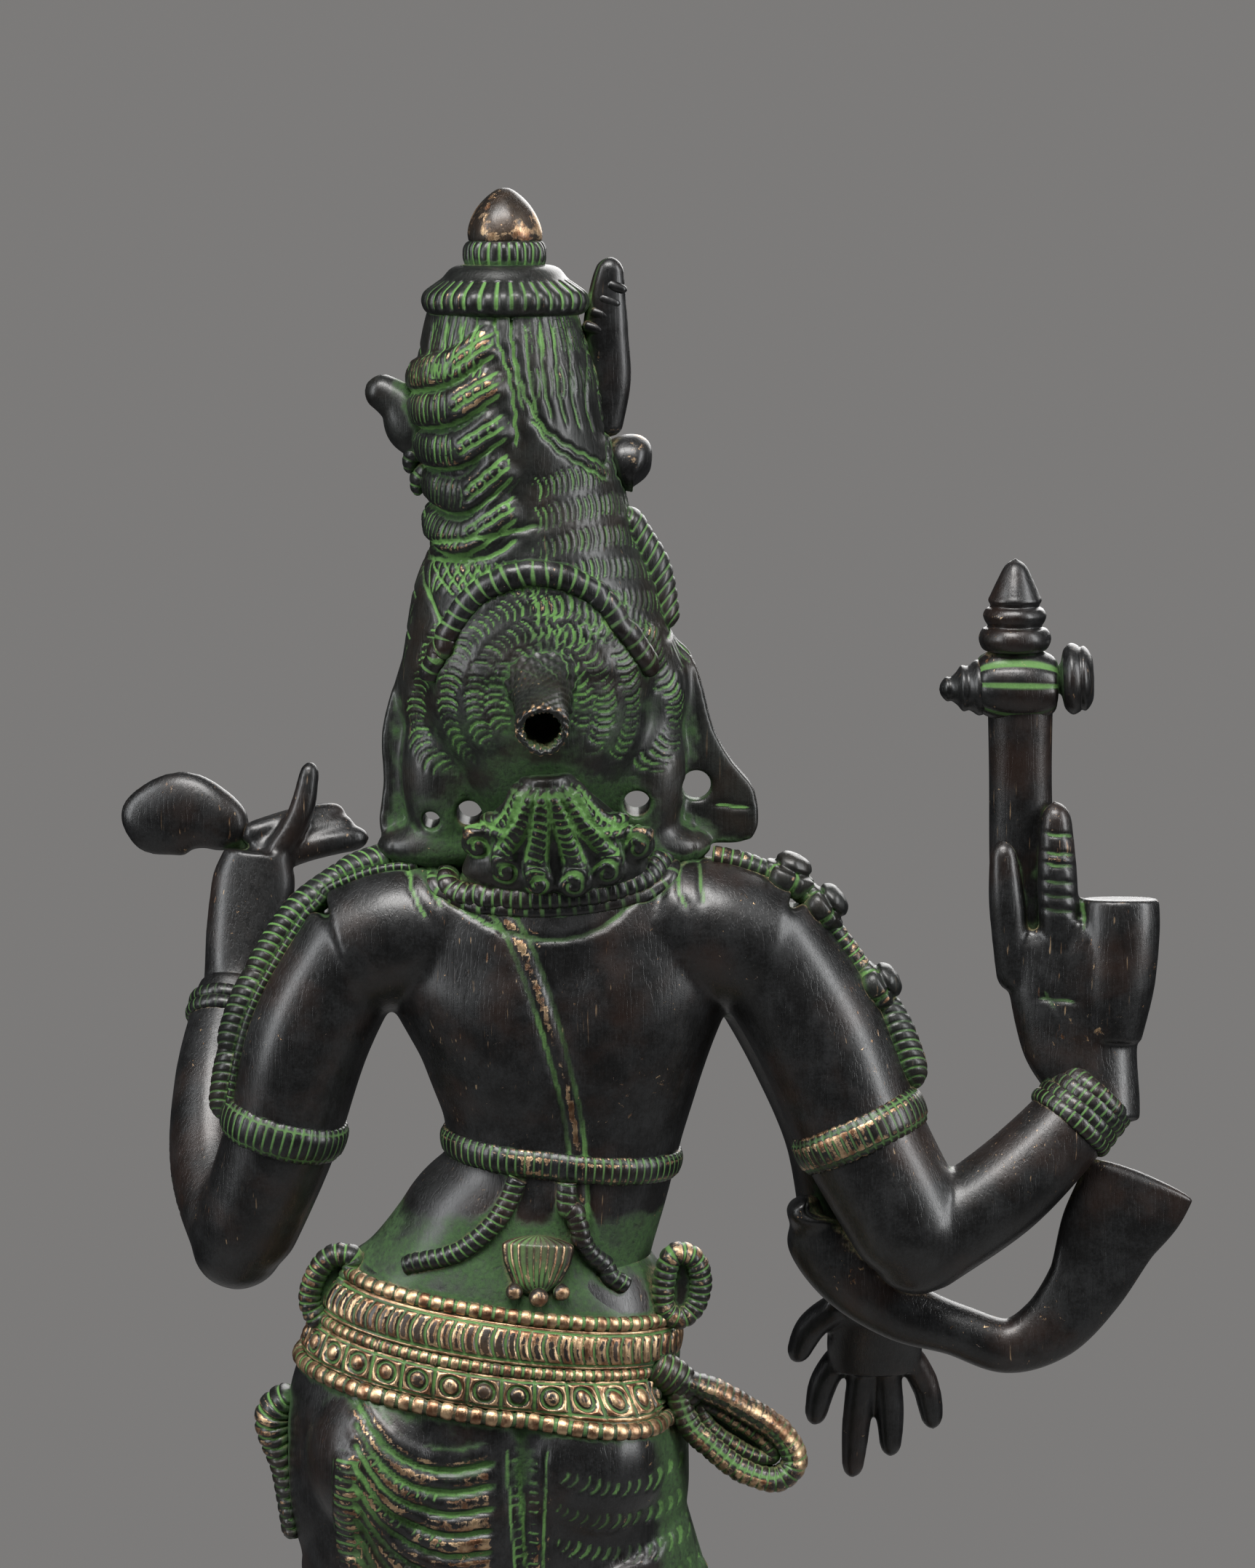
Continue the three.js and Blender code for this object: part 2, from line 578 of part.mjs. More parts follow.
// long pierced ears with their hair and rings, one flat wing on each side
const earThickness = 3.6;
const earY = head.y - 1;
const ears = {
  left: {
    outline: [[13, 12], [18.6, 10], [20.8, 5], [22.6, -2], [22.4, -9], [22.8, -16.4], [17, -17.6], [9, -16.6],
      [7.6, -12], [9, -2]],
    holes: [[15.5, -13.4, 1.2], [10.3, -12.4, 1.7]],
  },
  right: {
    outline: [[-14, 12], [-19.4, 10.4], [-21.6, 6], [-23.6, -1.6], [-26.4, -6.4], [-29.4, -10.4], [-29, -17],
      [-20, -17.4], [-11.4, -16.4], [-9.4, -12], [-10.4, -2]],
    holes: [[-12.9, -11, 1.8], [-21.2, -9.4, 2]],
  },
};
for (const [side, { outline, holes }] of Object.entries(ears)) {
  const place = (points) => points.map(([x, z, ...rest]) => [head.x + x, head.z + z, ...rest]);
  const wing = (grow) => plate(place(outline), earY, earThickness, place(holes), grow);
  piece(`${side}_ear_wing`, verdigris, wing,
    ["torso", "head", "crown", "crown_braid", "arch_cord", "nape_locks"]);
}

// a beaded collar round the foot of the neck, and a broad chest necklace over the front
const collarTurns = [0, 1, 2, 3, 4, 5, 6, 7].map((k) => (k * Math.PI) / 4);
const collarPoints = collarTurns.map((angle) =>
  onSkin(trunkStations, 0.91 - 0.1 * Math.abs(Math.sin(angle)), angle, 0.9));
piece("necklace", patina, (grow) => ringCord(collarPoints, 1.9, grow),
  ["torso", "head", "nape_locks", "left_ear_wing", "right_ear_wing"]);
piece("chest_necklace", patina, (grow) => {
  const drape = [-0.25, -0.33, -0.42, -0.5, -0.58, -0.67, -0.75];
  const points = drape.map((turn) =>
    onSkin(trunkStations, 0.9 - 0.22 * Math.sin(-Math.PI * turn) ** 2, Math.PI * turn, 1.3));
  return limb(points.map((p) => [p, 2.4, 1.4]), { sides: 8, rings: 10, side: vec(0, 0, 1), grow });
}, ["torso", "necklace"]);

// arms, each one bent bar
const armPieces = { left: "left_arm", rear: "right_rear_arm", front: "right_front_arm" };
for (const [key, name] of Object.entries(armPieces)) {
  const clear = key === "front" ? ["torso", armPieces.rear] : ["torso"];
  piece(name, patina, (grow) => {
    const upper = limb(armStations[key], { sides: 10, rings: 6, side: vec(0, 1, 0), grow });
    return upper.add(limb(forearmStations[key], { sides: 10, rings: 5, side: vec(0, 0.3, 1), grow }));
  }, clear);
}

// A finger as a bent cord with a rounded tip.
const finger = (points, radius, grow) =>
  limb(
    points.map((p, i) => [p, i === points.length - 1 ? radius * 0.62 : radius]),
    { sides: 6, rings: 4, side: vec(0.3, 0.2, 1), grow },
  );

// left hand: a closed grip round a flower stalk, the first finger raised
piece("left_hand", patina, (grow) => {
  const palm = limb(
    [
      [from(leftWrist, -0.4, -1.4, 1), wristRadius - 0.6, 4.2],
      [from(leftWrist, -1.4, -3.4, 9), 5.4, 3.6],
      [from(leftWrist, -2.6, -5, 17), 6, 3.2],
      [from(leftWrist, -3.2, -5.6, 21), 4.6, 2.6],
    ],
    { sides: 10, rings: 5, grow },
  );
  const curled = [0, 1, 2].map((i) =>
    finger(
      [
        from(leftWrist, -5 + i * 1.2, -6 - i * 0.6, 20.5 + i * 2.3 - 2),
        from(leftWrist, -10.5, -8.6 - i, 22 + i * 2.1 - 2),
        from(leftWrist, -15 - (2 - i) * 1.4, -9.6 - i, 23.4 + i * 1.5 - 2),
        from(leftWrist, -19.4 + i * 2, -10.6 - i * 0.4, 23.6 + i * 1.2 - 2),
      ],
      2, grow,
    ));
  const raised = finger(
    [from(leftWrist, -6, -5.6, 21), from(leftWrist, -10, -6.6, 27), from(leftWrist, -11.2, -7.4, 34)],
    2, grow,
  );
  const thumb = finger(
    [from(leftWrist, -0.6, -5, 12), from(leftWrist, -1, -10.5, 17), from(leftWrist, -5, -12.4, 20.5)],
    2.2, grow,
  );
  return join([palm, ...curled, raised, thumb]);
}, ["left_arm"]);
piece("held_lily", patina, (grow) => {
  const stalk = finger(
    [from(leftWrist, -6, -9.8, 10), from(leftWrist, -4, -9.4, 17), from(leftWrist, 1, -8.4, 24)],
    1.7, grow,
  );
  const bowl = limb(
    [
      [from(leftWrist, -1, -8.6, 21.6), 3, 2.4],
      [from(leftWrist, 3.5, -8.6, 25.6), 4.6, 2.6],
      [from(leftWrist, 8, -9, 27), 5.8, 2.2],
      [from(leftWrist, 12.4, -9.4, 24.6), 5.6, 1.8],
      [from(leftWrist, 15, -9.6, 20.6), 3, 1.3],
    ],
    { sides: 10, rings: 7, side: vec(0, 0, 1), grow },
  );
  return stalk.add(bowl);
}, ["left_hand"]);

// right rear hand: two raised fingers hold the axe between them
const shaftFoot = from(rearWrist, 9.8, -5.6, 22.4);
piece("axe_shaft", patina, (grow) =>
  limb(
    [
      [shaftFoot, shaftRadius - 0.6, 2.6],
      [from(shaftFoot, 0, 0.4, shaftLength * 0.35), shaftRadius - 0.2, 3],
      [from(shaftFoot, 0.6, 0.6, shaftLength * 0.7), shaftRadius - 0.2, 3.2],
      [from(shaftFoot, 0.8, 0.8, shaftLength), shaftRadius + 0.4, 3.6],
    ],
    { sides: 10, rings: 5, grow },
  ));
piece("right_rear_hand", patina, (grow) => {
  const palm = limb(
    [
      [from(rearWrist, 0.2, -0.8, 0.8), wristRadius + 0.6, 4.8],
      [from(rearWrist, 1.6, -2.6, 8), 8.6, 4.8],
      [from(rearWrist, 2.2, -3.6, 18), 9, 4.4],
      [from(rearWrist, 3, -4, 25.6), 8.4, 3.6],
    ],
    { sides: 12, rings: 5, grow },
  );
  const fist = limb(
    [
      [from(rearWrist, -4, -3.4, 16), 5, 4.6],
      [from(rearWrist, -4.4, -4.6, 24), 5.4, 4.6],
      [from(rearWrist, -4.4, -4.6, 27.4), 4.6, 3.6],
    ],
    { sides: 10, rings: 4, grow },
  );
  const raised = [[13.6, 36, 2.4], [2.8, 39.4, 3]].map(([x, top, radius]) =>
    finger(
      [from(rearWrist, x - 1, -3, 20), from(rearWrist, x, -3.6, 30), from(rearWrist, x + 0.2, -3.8, top)],
      radius, grow,
    ));
  return join([palm, fist, ...raised]);
}, ["right_rear_arm", "axe_shaft"]);
const axeNeck = from(shaftFoot, 1.8, 0.8, shaftLength + gap);
piece("axe_head", patina, (grow) => {
  const cross = limb(
    [
      [from(axeNeck, 9.8, 0, 2.6), 1.6],
      [from(axeNeck, 6.4, 0, 3.2), 3.2],
      [from(axeNeck, 0, 0, 4.4), 4.2],
      [from(axeNeck, -6.4, 0, 4), 3],
      [from(axeNeck, -9.6, 0, 4.6), 2.6],
    ],
    { sides: 10, rings: 7, side: vec(0, 1, 0), grow },
  );
  const curl = limb(
    [
      [from(axeNeck, -11, 0, 1.4), 2.4, 3],
      [from(axeNeck, -12, 0, 4.6), 3.6, 3],
      [from(axeNeck, -11.4, 0, 8.6), 2, 2.2],
    ],
    { sides: 10, rings: 4, grow },
  );
  return cross.add(curl).intersect(slab(from(axeNeck, 0, 0, 20 - grow), up, 40));
});
piece("axe_finial", rubbedBrass, (grow) => {
  const foot = from(axeNeck, 0.4, 0, 6);
  const profile = [
    [0, 0],
    [4.6, 0],
    [5.2, 2.2],
    [4, 3.4],
    [4.4, 5],
    [3.8, 6.4],
    [3.8, 8],
    [2.2, 11.6],
    [0.5, 14.4],
    [0, 14.4],
  ];
  return turned(profile, foot, up, { sides: 14, grow });
}, ["axe_head"]);

// right front hand: it hangs from the wrist, fingers down
piece("right_front_hand", patina, (grow) => {
  const palm = limb(
    [
      [from(frontWrist, 0, -0.6, 0), wristRadius - 0.6, 4.2],
      [from(frontWrist, -0.6, -5.4, -4.4), 6.6, 3.6],
      [from(frontWrist, -0.8, -8.4, -11), 7.4, 3.2],
      [from(frontWrist, -0.8, -9.6, -16), 6.6, 2.8],
    ],
    { sides: 10, rings: 5, grow },
  );
  const ends = [[9, -18, -25], [3, -24, -33.4], [-3, -22, -30], [-9.6, -19, -25.6]];
  const fingers = ends.map(([x, kneeZ, tipZ]) =>
    finger(
      [
        from(frontWrist, x * 0.52 - 0.8, -9.4, -13.5),
        from(frontWrist, x * 0.85 - 0.8, -11.2, kneeZ),
        from(frontWrist, x - 0.6, -11.4, tipZ),
      ],
      2.2, grow,
    ));
  const thumb = finger(
    [from(frontWrist, 4.6, -4, -4), from(frontWrist, 9, -6.6, -8), from(frontWrist, 11.6, -8, -14)],
    2.3, grow,
  );
  return join([palm, ...fingers, thumb]);
}, ["right_front_arm"]);

// armlets and bracelets: bands on the skin of each arm, square to it
// each: name, arm, share of its length, thickness, height, reach of the cut, other pieces to keep clear of
const bandSide = vec(0, 1, 0);
const upperBands = [
  ["left_armlet", "left", 0.54, 1.5, 3.4, 11],
  ["right_rear_armlet", "rear", 0.5, 1.5, 3.6, 13, "right_front_arm"],
];
const lowerBands = [
  ["left_bracelet", "left", 0.9, 1.2, 2.6, 10, "left_hand"],
  ["right_rear_bracelet_lower", "rear", 0.83, 1.4, 2.4, 10, "right_rear_hand"],
  ["right_rear_bracelet_upper", "rear", 0.95, 1.6, 2.6, 10, "right_rear_hand"],
  ["right_front_bracelet", "front", 0.9, 1.3, 3, 10, "right_front_hand"],
];
function addBand(limbs, [name, arm, share, thickness, height, reach, ...clear]) {
  const stations = limbs[arm];
  const { centre, along } = section(stations, share, bandSide);
  const bar = (grow) => limb(stations, { sides: 10, rings: 6, side: bandSide, grow });
  piece(name, patina, bandOn(bar, thickness, centre, along, height, reach), [armPieces[arm], ...clear]);
}
upperBands.forEach((band) => addBand(armStations, band));
lowerBands.forEach((band) => addBand(forearmStations, band));

// ornaments on the shoulders: a chain of tassels on the left, a strap with three buds on the right
function outside(stations, share, lift, side) {
  const { centre, along, size } = section(stations, share, bandSide);
  const out = along.clone().cross(bandSide).normalize();
  return centre.addScaledVector(out, Math.sign(out.x) * side * (size.x + lift));
}
const onLeft = (share, lift) => outside(armStations.left, share, lift, 1);
const onRight = (share, lift) => outside(armStations.rear, share, lift, -1);
piece("left_shoulder_tassels", verdigris, (grow) => {
  const tassels = [
    [from(leftShoulder, -5, 0, 13.4), from(leftShoulder, 5, -0.4, 10), 2.5],
    [from(leftShoulder, 4, -0.4, 11), onLeft(0.28, 2.4), 3],
    [onLeft(0.24, 1.6), onLeft(0.5, 1.4), 2.8],
  ];
  return join(tassels.map(([top, tip, radius]) => {
    const belly = top.clone().lerp(tip, 0.55).add(vec(1, 0, 0.6));
    return limb(
      [[top, radius * 0.75], [belly, radius], [tip, radius * 0.55]],
      { sides: 6, rings: 4, side: vec(0, 1, 0), grow },
    );
  }));
}, ["torso", "left_arm", "left_armlet", "left_ear_wing", "necklace"]);
piece("right_shoulder_strap", verdigris, (grow) => {
  const buds = [from(rightShoulder, -5.4, 0.5, 13), from(rightShoulder, -12.6, 0.5, 7.4), onRight(0.27, 2.6)];
  const strap = cord(
    [
      from(rightShoulder, 6, 0.6, 13),
      from(rightShoulder, -3, 0.6, 12),
      from(rightShoulder, -10.8, 0.6, 7.4),
      onRight(0.17, 1.4),
      onRight(0.28, 1.4),
      onRight(0.46, 1.2),
    ],
    2.1, grow, { rings: 10 },
  );
  return join([strap, ...buds.map((point) =>
    turned(bead(3.4, 4.6), point, point.clone().sub(from(rightShoulder, 2, 0, -8)), { sides: 10, grow }))]);
}, ["torso", "right_rear_arm", "right_rear_armlet", "right_ear_wing", "necklace"]);

// fish-tailed scarf that falls from the front elbow, under the rear elbow, and flares out to the side
piece("scarf", patina, (grow) =>
  limb(
    [
      [from(frontElbow, 4.6, 4, 6), 4.4, 2],
      [from(frontElbow, 3, 5, -2), 5.4, 2.2],
      [from(rearElbow, 5, -9.4, -12.6), 5, 2.2],
      [from(rearElbow, -6, -6, -17.4), 4.2, 2.2],
      [from(rearElbow, -16.4, -3.6, -17.8), 4, 2.6],
      [from(rearElbow, -24.4, -2.6, -11.4), 7, 2.6],
      [from(rearElbow, -30, -2.2, -3), 9.6, 2.4],
      [from(rearElbow, -34, -2, 4), 9.8, 1.6],
    ],
    { sides: 10, rings: 13, side: vec(-0.75, 0.25, 0.66), grow },
  ), ["right_front_arm", "right_rear_arm", "right_rear_hand"]);

// waist cord, the two cords that hang from it at the back, and the fan clasp between them
piece("waist_cord", patina,
  bandOn(limbOf(trunkStations, 16, 10), 1.6, overWaist(0.4, -0.8), vec(-0.1, 0.02, 1), 3, 26));
const hipTop = hipStations[0][0].z;
const hipFoot = hipStations[hipStations.length - 1][0].z;
const hipSection = (z) =>
  section(hipStations, THREE.MathUtils.clamp((hipTop - z) / (hipTop - hipFoot), 0, 1), vec(1, 0, 0));
const backSkin = (x, z, lift) => {
  const { centre, size } = hipSection(z);
  const reach = THREE.MathUtils.clamp((x - centre.x) / size.x, -0.97, 0.97);
  return vec(x, centre.y + (size.y + lift) * Math.sqrt(1 - reach * reach), z);
};
const hangingCords = {
  left: [from(waist, 4, 12.6, 5.6), from(waist, 7, 12, 0), backSkin(12, waist.z - 5, 1.4),
    backSkin(18.6, hips.z + 15.4, 1.4)],
  right: [from(waist, -3, 13, 5.6), from(waist, -4.6, 13, 0), backSkin(-8.6, waist.z - 5, 1.4),
    backSkin(-14.4, hips.z + 14, 1.4)],
};
for (const [side, points] of Object.entries(hangingCords)) {
  piece(`${side}_back_cord`, patina, (grow) => cord(points, cordRadius, grow, { rings: 7 }),
    ["torso", "hips", "waist_cord"]);
}
piece("fan_clasp", rubbedBrass, (grow) =>
  limb(
    [
      [backSkin(0.6, waist.z + 0.6, 1.2), 2.6, 2],
      [backSkin(0.6, waist.z - 2.4, 1.4), 4.8, 2.2],
      [backSkin(0.6, waist.z - 7.4, 1), 3.4, 1.8],
    ],
    { sides: 10, rings: 4, grow },
  ), ["torso", "hips", "left_back_cord", "right_back_cord"]);

// girdle: five bands on the hips, all square to one tilted axis
const girdleAxis = vec(-Math.sin(girdleTilt), 0.02, Math.cos(girdleTilt));
const girdleTop = from(hips, -3.5, 0, 16);
const girdleBands = [
  ["girdle_bead_row_upper", bandThickness + 0.4, 2],
  ["girdle_crescent_band", bandThickness, 5],
  ["girdle_bead_row_middle", bandThickness + 0.3, 1.7],
  ["girdle_panel_band", bandThickness, 4.4],
  ["girdle_bead_row_lower", bandThickness + 0.4, 2.2],
];
let drop = 0;
for (const [name, proud, height] of girdleBands) {
  const middle = girdleTop.clone().addScaledVector(girdleAxis, -(drop + height / 2));
  drop += height + gap;
  piece(name, rubbedBrass, bandOn(shapes.hips, proud, middle, girdleAxis, height, 40),
    ["left_back_cord", "right_back_cord", "fan_clasp"]);
}
const girdleNames = girdleBands.map(([name]) => name);

// loops of cloth tucked into the girdle
const hipEdge = (z, out, lift) => {
  const { centre, size } = hipSection(z);
  return vec(centre.x + out * (size.x + lift), centre.y, z);
};
// the height of the girdle's lower edge on the right side of the hips
const girdleFoot = girdleTop.z - drop - (hipHalfWidth - 4) * Math.tan(girdleTilt);
const loop = (centre, radius, tube, turn, squash, grow) => {
  const ring = new THREE.TorusGeometry(radius, tube + grow, 6, 14);
  ring.rotateX(Math.PI / 2).scale(squash, 1, 1).rotateY(turn);
  return solid(ring.translate(centre.x, centre.y, centre.z));
};
piece("left_hip_loop", verdigris, (grow) =>
  loop(from(hips, 22.4, 3, 17), 3, 1.8, -0.4, 0.85, grow),
["hips", "left_arm", "left_armlet", ...girdleNames]);
piece("right_hip_loop", verdigris, (grow) =>
  loop(from(hipEdge(hips.z + 15, -1, 3), 0, 2, 0), 3.4, 1.9, 0.3, 0.75, grow),
["hips", "right_back_cord", ...girdleNames]);
piece("right_sash_loop", rubbedBrass, (grow) =>
  loop(from(hipEdge(girdleFoot - 3.4, -1, 6), 0, 2, 0), 7.2, 2.1, -0.62, 0.56, grow).add(
    limb(
      [
        [from(hipEdge(girdleFoot + 3, -1, -1), 0, 2, 3), 3.4],
        [from(hipEdge(girdleFoot - 3.4, -1, 5.6), 0, 2, 0), 4, 1.4],
      ],
      { sides: 8, rings: 3, side: vec(0, 0, 1), grow },
    )), ["hips", "right_leg", "right_short_cloth", ...girdleNames]);
piece("left_hem_wing", verdigris, (grow) =>
  limb(
    [
      [from(hipEdge(hips.z - 3, 1, 2), 0, 0, 0), 1.6, 3],
      [from(hipEdge(hips.z - 6, 1, 2), 0, 0, 0), 2.6, 3],
      [from(hipEdge(hips.z - 14, 1, 0.4), 0, 0, 0), 1.8, 3],
      [from(hipEdge(hips.z - 22, 1, 0), 0, 0, -2), 1.5, 3],
    ],
    { sides: 8, rings: 5, grow },
  ), ["hips", "left_leg_skirt", "left_hip_loop", ...girdleNames]);

// sacred thread: across the front of the body from the left shoulder towards the right hip
piece("sacred_thread", patina, (grow) => {
  const points = [[0.7, 0.6], [0.62, 0.54], [0.5, 0.44], [0.36, 0.32]]
    .map(([share, turn]) => onSkin(trunkStations, share, -Math.PI * turn, 1.2));
  return cord(points, 1.6, grow, { rings: 9 });
}, ["torso", "waist_cord", "necklace", "chest_necklace"]);

// anklets
for (const [side, stations] of [["left", skirtLegStations], ["right", bareLegStations]]) {
  const { centre } = section(stations, 0.86, vec(1, 0, 0));
  piece(`${side}_anklet`, patina, bandOn(limbOf(stations, 14, 9), 1.2, centre, up, 2.4, 16));
}

export default group;
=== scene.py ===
# A small cast brass temple figure, half male and half female, on a lotus pedestal.
# Metres in the frame, millimetres in the tables below. The figure faces -Y and +Z is up.
import math

import bpy
import numpy as np
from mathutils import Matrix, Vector
from mathutils.bvhtree import BVHTree


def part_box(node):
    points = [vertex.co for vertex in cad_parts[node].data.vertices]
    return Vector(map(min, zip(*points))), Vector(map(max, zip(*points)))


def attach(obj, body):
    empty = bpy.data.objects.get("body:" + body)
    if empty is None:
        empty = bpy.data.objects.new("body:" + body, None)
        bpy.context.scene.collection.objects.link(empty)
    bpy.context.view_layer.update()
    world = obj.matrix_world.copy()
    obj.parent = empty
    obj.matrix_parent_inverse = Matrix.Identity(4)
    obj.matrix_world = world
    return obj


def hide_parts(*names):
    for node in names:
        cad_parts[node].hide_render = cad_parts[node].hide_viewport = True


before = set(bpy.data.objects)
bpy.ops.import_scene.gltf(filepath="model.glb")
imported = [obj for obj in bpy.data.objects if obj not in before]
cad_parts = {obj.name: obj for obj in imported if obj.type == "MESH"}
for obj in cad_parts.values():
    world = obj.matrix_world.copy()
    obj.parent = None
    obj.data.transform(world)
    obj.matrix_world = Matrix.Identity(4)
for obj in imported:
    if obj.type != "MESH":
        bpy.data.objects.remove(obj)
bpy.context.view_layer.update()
mm = 0.001
print("stage: frame loaded,", len(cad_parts), "nodes")


# curves and lofts
def off(anchor, x, y, z):
    return np.array(anchor, float) + (x, y, z)


def unit(rows):
    rows = np.asarray(rows, float)
    return rows / np.maximum(np.linalg.norm(rows, axis=-1, keepdims=True), 1e-9)


def throughPoints(points, shares, closed=False):  # a centripetal spline, as the frame's limbs are drawn
    points = np.asarray(points, float)
    spans = len(points) if closed else len(points) - 1
    before = points[-1] if closed else 2 * points[0] - points[1]
    after = points[:2] if closed else [2 * points[-1] - points[-2]]
    padded = np.vstack([[before], points, after])
    at = np.mod(shares, 1) * spans if closed else np.clip(shares, 0, 1) * spans
    index = np.minimum(at.astype(int), spans - 1)
    w = (at - index)[:, None]
    p0, p1, p2, p3 = (padded[index + k] for k in range(4))
    d0, d1, d2 = (np.maximum(np.linalg.norm(b - a, axis=1), 1e-6)[:, None] ** 0.5
                  for a, b in ((p0, p1), (p1, p2), (p2, p3)))
    t1 = ((p1 - p0) / d0 - (p2 - p0) / (d0 + d1) + (p2 - p1) / d1) * d1
    t2 = ((p2 - p1) / d1 - (p3 - p1) / (d1 + d2) + (p3 - p2) / d2) * d1
    return (p1 + t1 * w + (3 * (p2 - p1) - 2 * t1 - t2) * w**2 + (2 * (p1 - p2) + t1 + t2) * w**3)


def section(stations, shares, side=(1, 0, 0)):
    shares = np.atleast_1d(np.asarray(shares, float))
    points = [s[0] for s in stations]
    sizes = throughPoints([(s[1], s[-1], 0) for s in stations], shares)
    along = unit(throughPoints(points, np.minimum(shares + 1e-3, 1)) -
                 throughPoints(points, np.maximum(shares - 1e-3, 0)))
    side = np.asarray(side, float)
    across = unit(side - along * (along @ side)[:, None])
    return throughPoints(points, shares), along, across, np.cross(along, across), sizes


def onSkin(stations, share, angle, lift=0.0, side=(1, 0, 0)):
    centre, along, across, deep, size = section(stations, share, side)
    wide, thick = size[:, 0] + lift, size[:, 1] + lift
    return (centre - across * (np.cos(angle) * wide)[:, None] + deep * (np.sin(angle) * thick)[:, None])[0]


def gridFaces(rows, columns, closeColumns=True, closeRows=False):
    r = np.arange(rows if closeRows else rows - 1)
    c = np.arange(columns if closeColumns else columns - 1)
    r, c = (a.ravel() for a in np.meshgrid(r, c, indexing="ij"))
    r2, c2 = (r + 1) % rows, (c + 1) % columns
    return np.stack([r * columns + c, r * columns + c2, r2 * columns + c2, r2 * columns + c], axis=1)


def capped(points, rows, columns):  # a closed skin from rings of points, with a pole at each end
    faces = gridFaces(rows, columns)
    low, high = len(points), len(points) + 1
    first, last = points[:columns].mean(0), points[-columns:].mean(0)
    k = np.arange(columns)
    k2 = (k + 1) % columns
    start = np.stack([k2, k, np.full(columns, low), np.full(columns, low)], axis=1)
    end = np.stack([k, k2, np.full(columns, 0), np.full(columns, 0)], axis=1) + (rows - 1) * columns
    end[:, 2:] = high
    return np.vstack([points, first, last]), np.vstack([faces, start, end])


def loft(stations, side=(1, 0, 0), rows=48, columns=48):
    shares = np.linspace(0, 1, rows)
    centre, along, across, deep, size = section(stations, shares, side)
    turn = np.linspace(0, 2 * np.pi, columns, endpoint=False)
    ring = (across[:, None] * np.cos(turn)[None, :, None] * size[:, None, :1] +
            deep[:, None] * np.sin(turn)[None, :, None] * size[:, None, 1:2])
    return capped((centre[:, None] + ring).reshape(-1, 3), rows, columns)


def egg(centre, radii, turn=0.0):  # an ellipsoid blank that is fused into a bigger body
    rise = np.linspace(-0.98, 0.98, 14)
    stations = [(off(centre, 0, 0, radii[2] * r), radii[0] * math.sqrt(1 - r * r),
        radii[1] * math.sqrt(1 - r * r))
                for r in rise]
    return loft(stations, side=(math.cos(turn), math.sin(turn), 0), rows=20, columns=24)


# meshes
def rawMesh(name, points, faces):
    mesh = bpy.data.meshes.new(name)
    faces = [tuple(dict.fromkeys(f)) for f in np.asarray(faces).tolist()]
    mesh.from_pydata(np.asarray(points).tolist(), [], faces)
    mesh.validate()
    mesh.update()
    return mesh


def arraysOf(mesh):
    points = np.empty(len(mesh.vertices) * 3, np.float64)
    mesh.vertices.foreach_get("co", points)
    sizes = np.empty(len(mesh.polygons), np.int32)
    mesh.polygons.foreach_get("loop_total", sizes)
    corners = np.empty(len(mesh.loops), np.int32)
    mesh.loops.foreach_get("vertex_index", corners)
    if (sizes == 4).all():
        return points.reshape(-1, 3), corners.reshape(-1, 4)
    starts = np.concatenate([[0], np.cumsum(sizes)[:-1]])
    faces = [corners[a:a + n] for a, n in zip(starts, sizes)]
    quads = np.array([[*f, *([f[-1]] * (4 - len(f)))][:4] for f in faces])
    return points.reshape(-1, 3), quads


def fuse(parts, voxel, holes=()):  # runs closed skins together into one even skin, pierced front to back
    points, faces, start = [], [], 0
    for p, f in parts:
        points.append(p)
        faces.append(np.asarray(f) + start)
        start += len(p)
    blank = bpy.data.objects.new("blank", rawMesh("blank", np.vstack(points), np.vstack(faces)))
    bpy.context.collection.objects.link(blank)
    remesh = blank.modifiers.new("remesh", "REMESH")
    remesh.mode = "VOXEL"
    remesh.voxel_size = voxel
    drills = []
    for x, z, radius in holes:
        turn = np.linspace(0, 2 * np.pi, 24, endpoint=False)
        rings = [np.stack([x + radius * np.cos(turn), np.full(24, y), z + radius * np.sin(turn)], axis=1)
            for y in (-30.0, 30.0)]
        drill = bpy.data.objects.new("drill", rawMesh("drill", *capped(np.vstack(rings), 2, 24)))
        bpy.context.collection.objects.link(drill)
        drills.append(drill)
        bore = blank.modifiers.new("bore", "BOOLEAN")
        bore.operation, bore.solver, bore.object = "DIFFERENCE", "FAST", drill
    if holes:
        again = blank.modifiers.new("again", "REMESH")
        again.mode = "VOXEL"
        again.voxel_size = voxel
    ready = blank.evaluated_get(bpy.context.evaluated_depsgraph_get())
    result = arraysOf(ready.to_mesh())
    ready.to_mesh_clear()
    for spent in (blank, *drills):
        bpy.data.objects.remove(spent)
    return result


def cadCopy(*names):  # the frame's own shapes, in millimetres
    parts = []
    for name in names:
        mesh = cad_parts[name].data
        points, faces = arraysOf(mesh)
        points, inverse = np.unique(np.round(points / mm, 4), axis=0, return_inverse=True)
        parts.append((points, inverse.reshape(-1)[faces]))
    return parts


def edgesOf(faces):
    loops = np.concatenate([faces[:, [k, (k + 1) % faces.shape[1]]] for k in range(faces.shape[1])])
    loops = loops[loops[:, 0] != loops[:, 1]]
    return np.unique(np.sort(loops, axis=1), axis=0)


def relax(points, edges, rounds, share=0.5, keepVolume=False):
    a, b = edges.T
    count = np.maximum(np.bincount(a, minlength=len(points)) + np.bincount(b, minlength=len(points)), 1)[:,
        None]
    for k in range(rounds):
        total = np.stack([np.bincount(a, points[b, i], len(points))
            + np.bincount(b, points[a, i], len(points))
                          for i in range(3)], axis=1)
        step = share if not keepVolume or k % 2 == 0 else -share * 1.03
        points = points + (total / count - points) * step
    return points


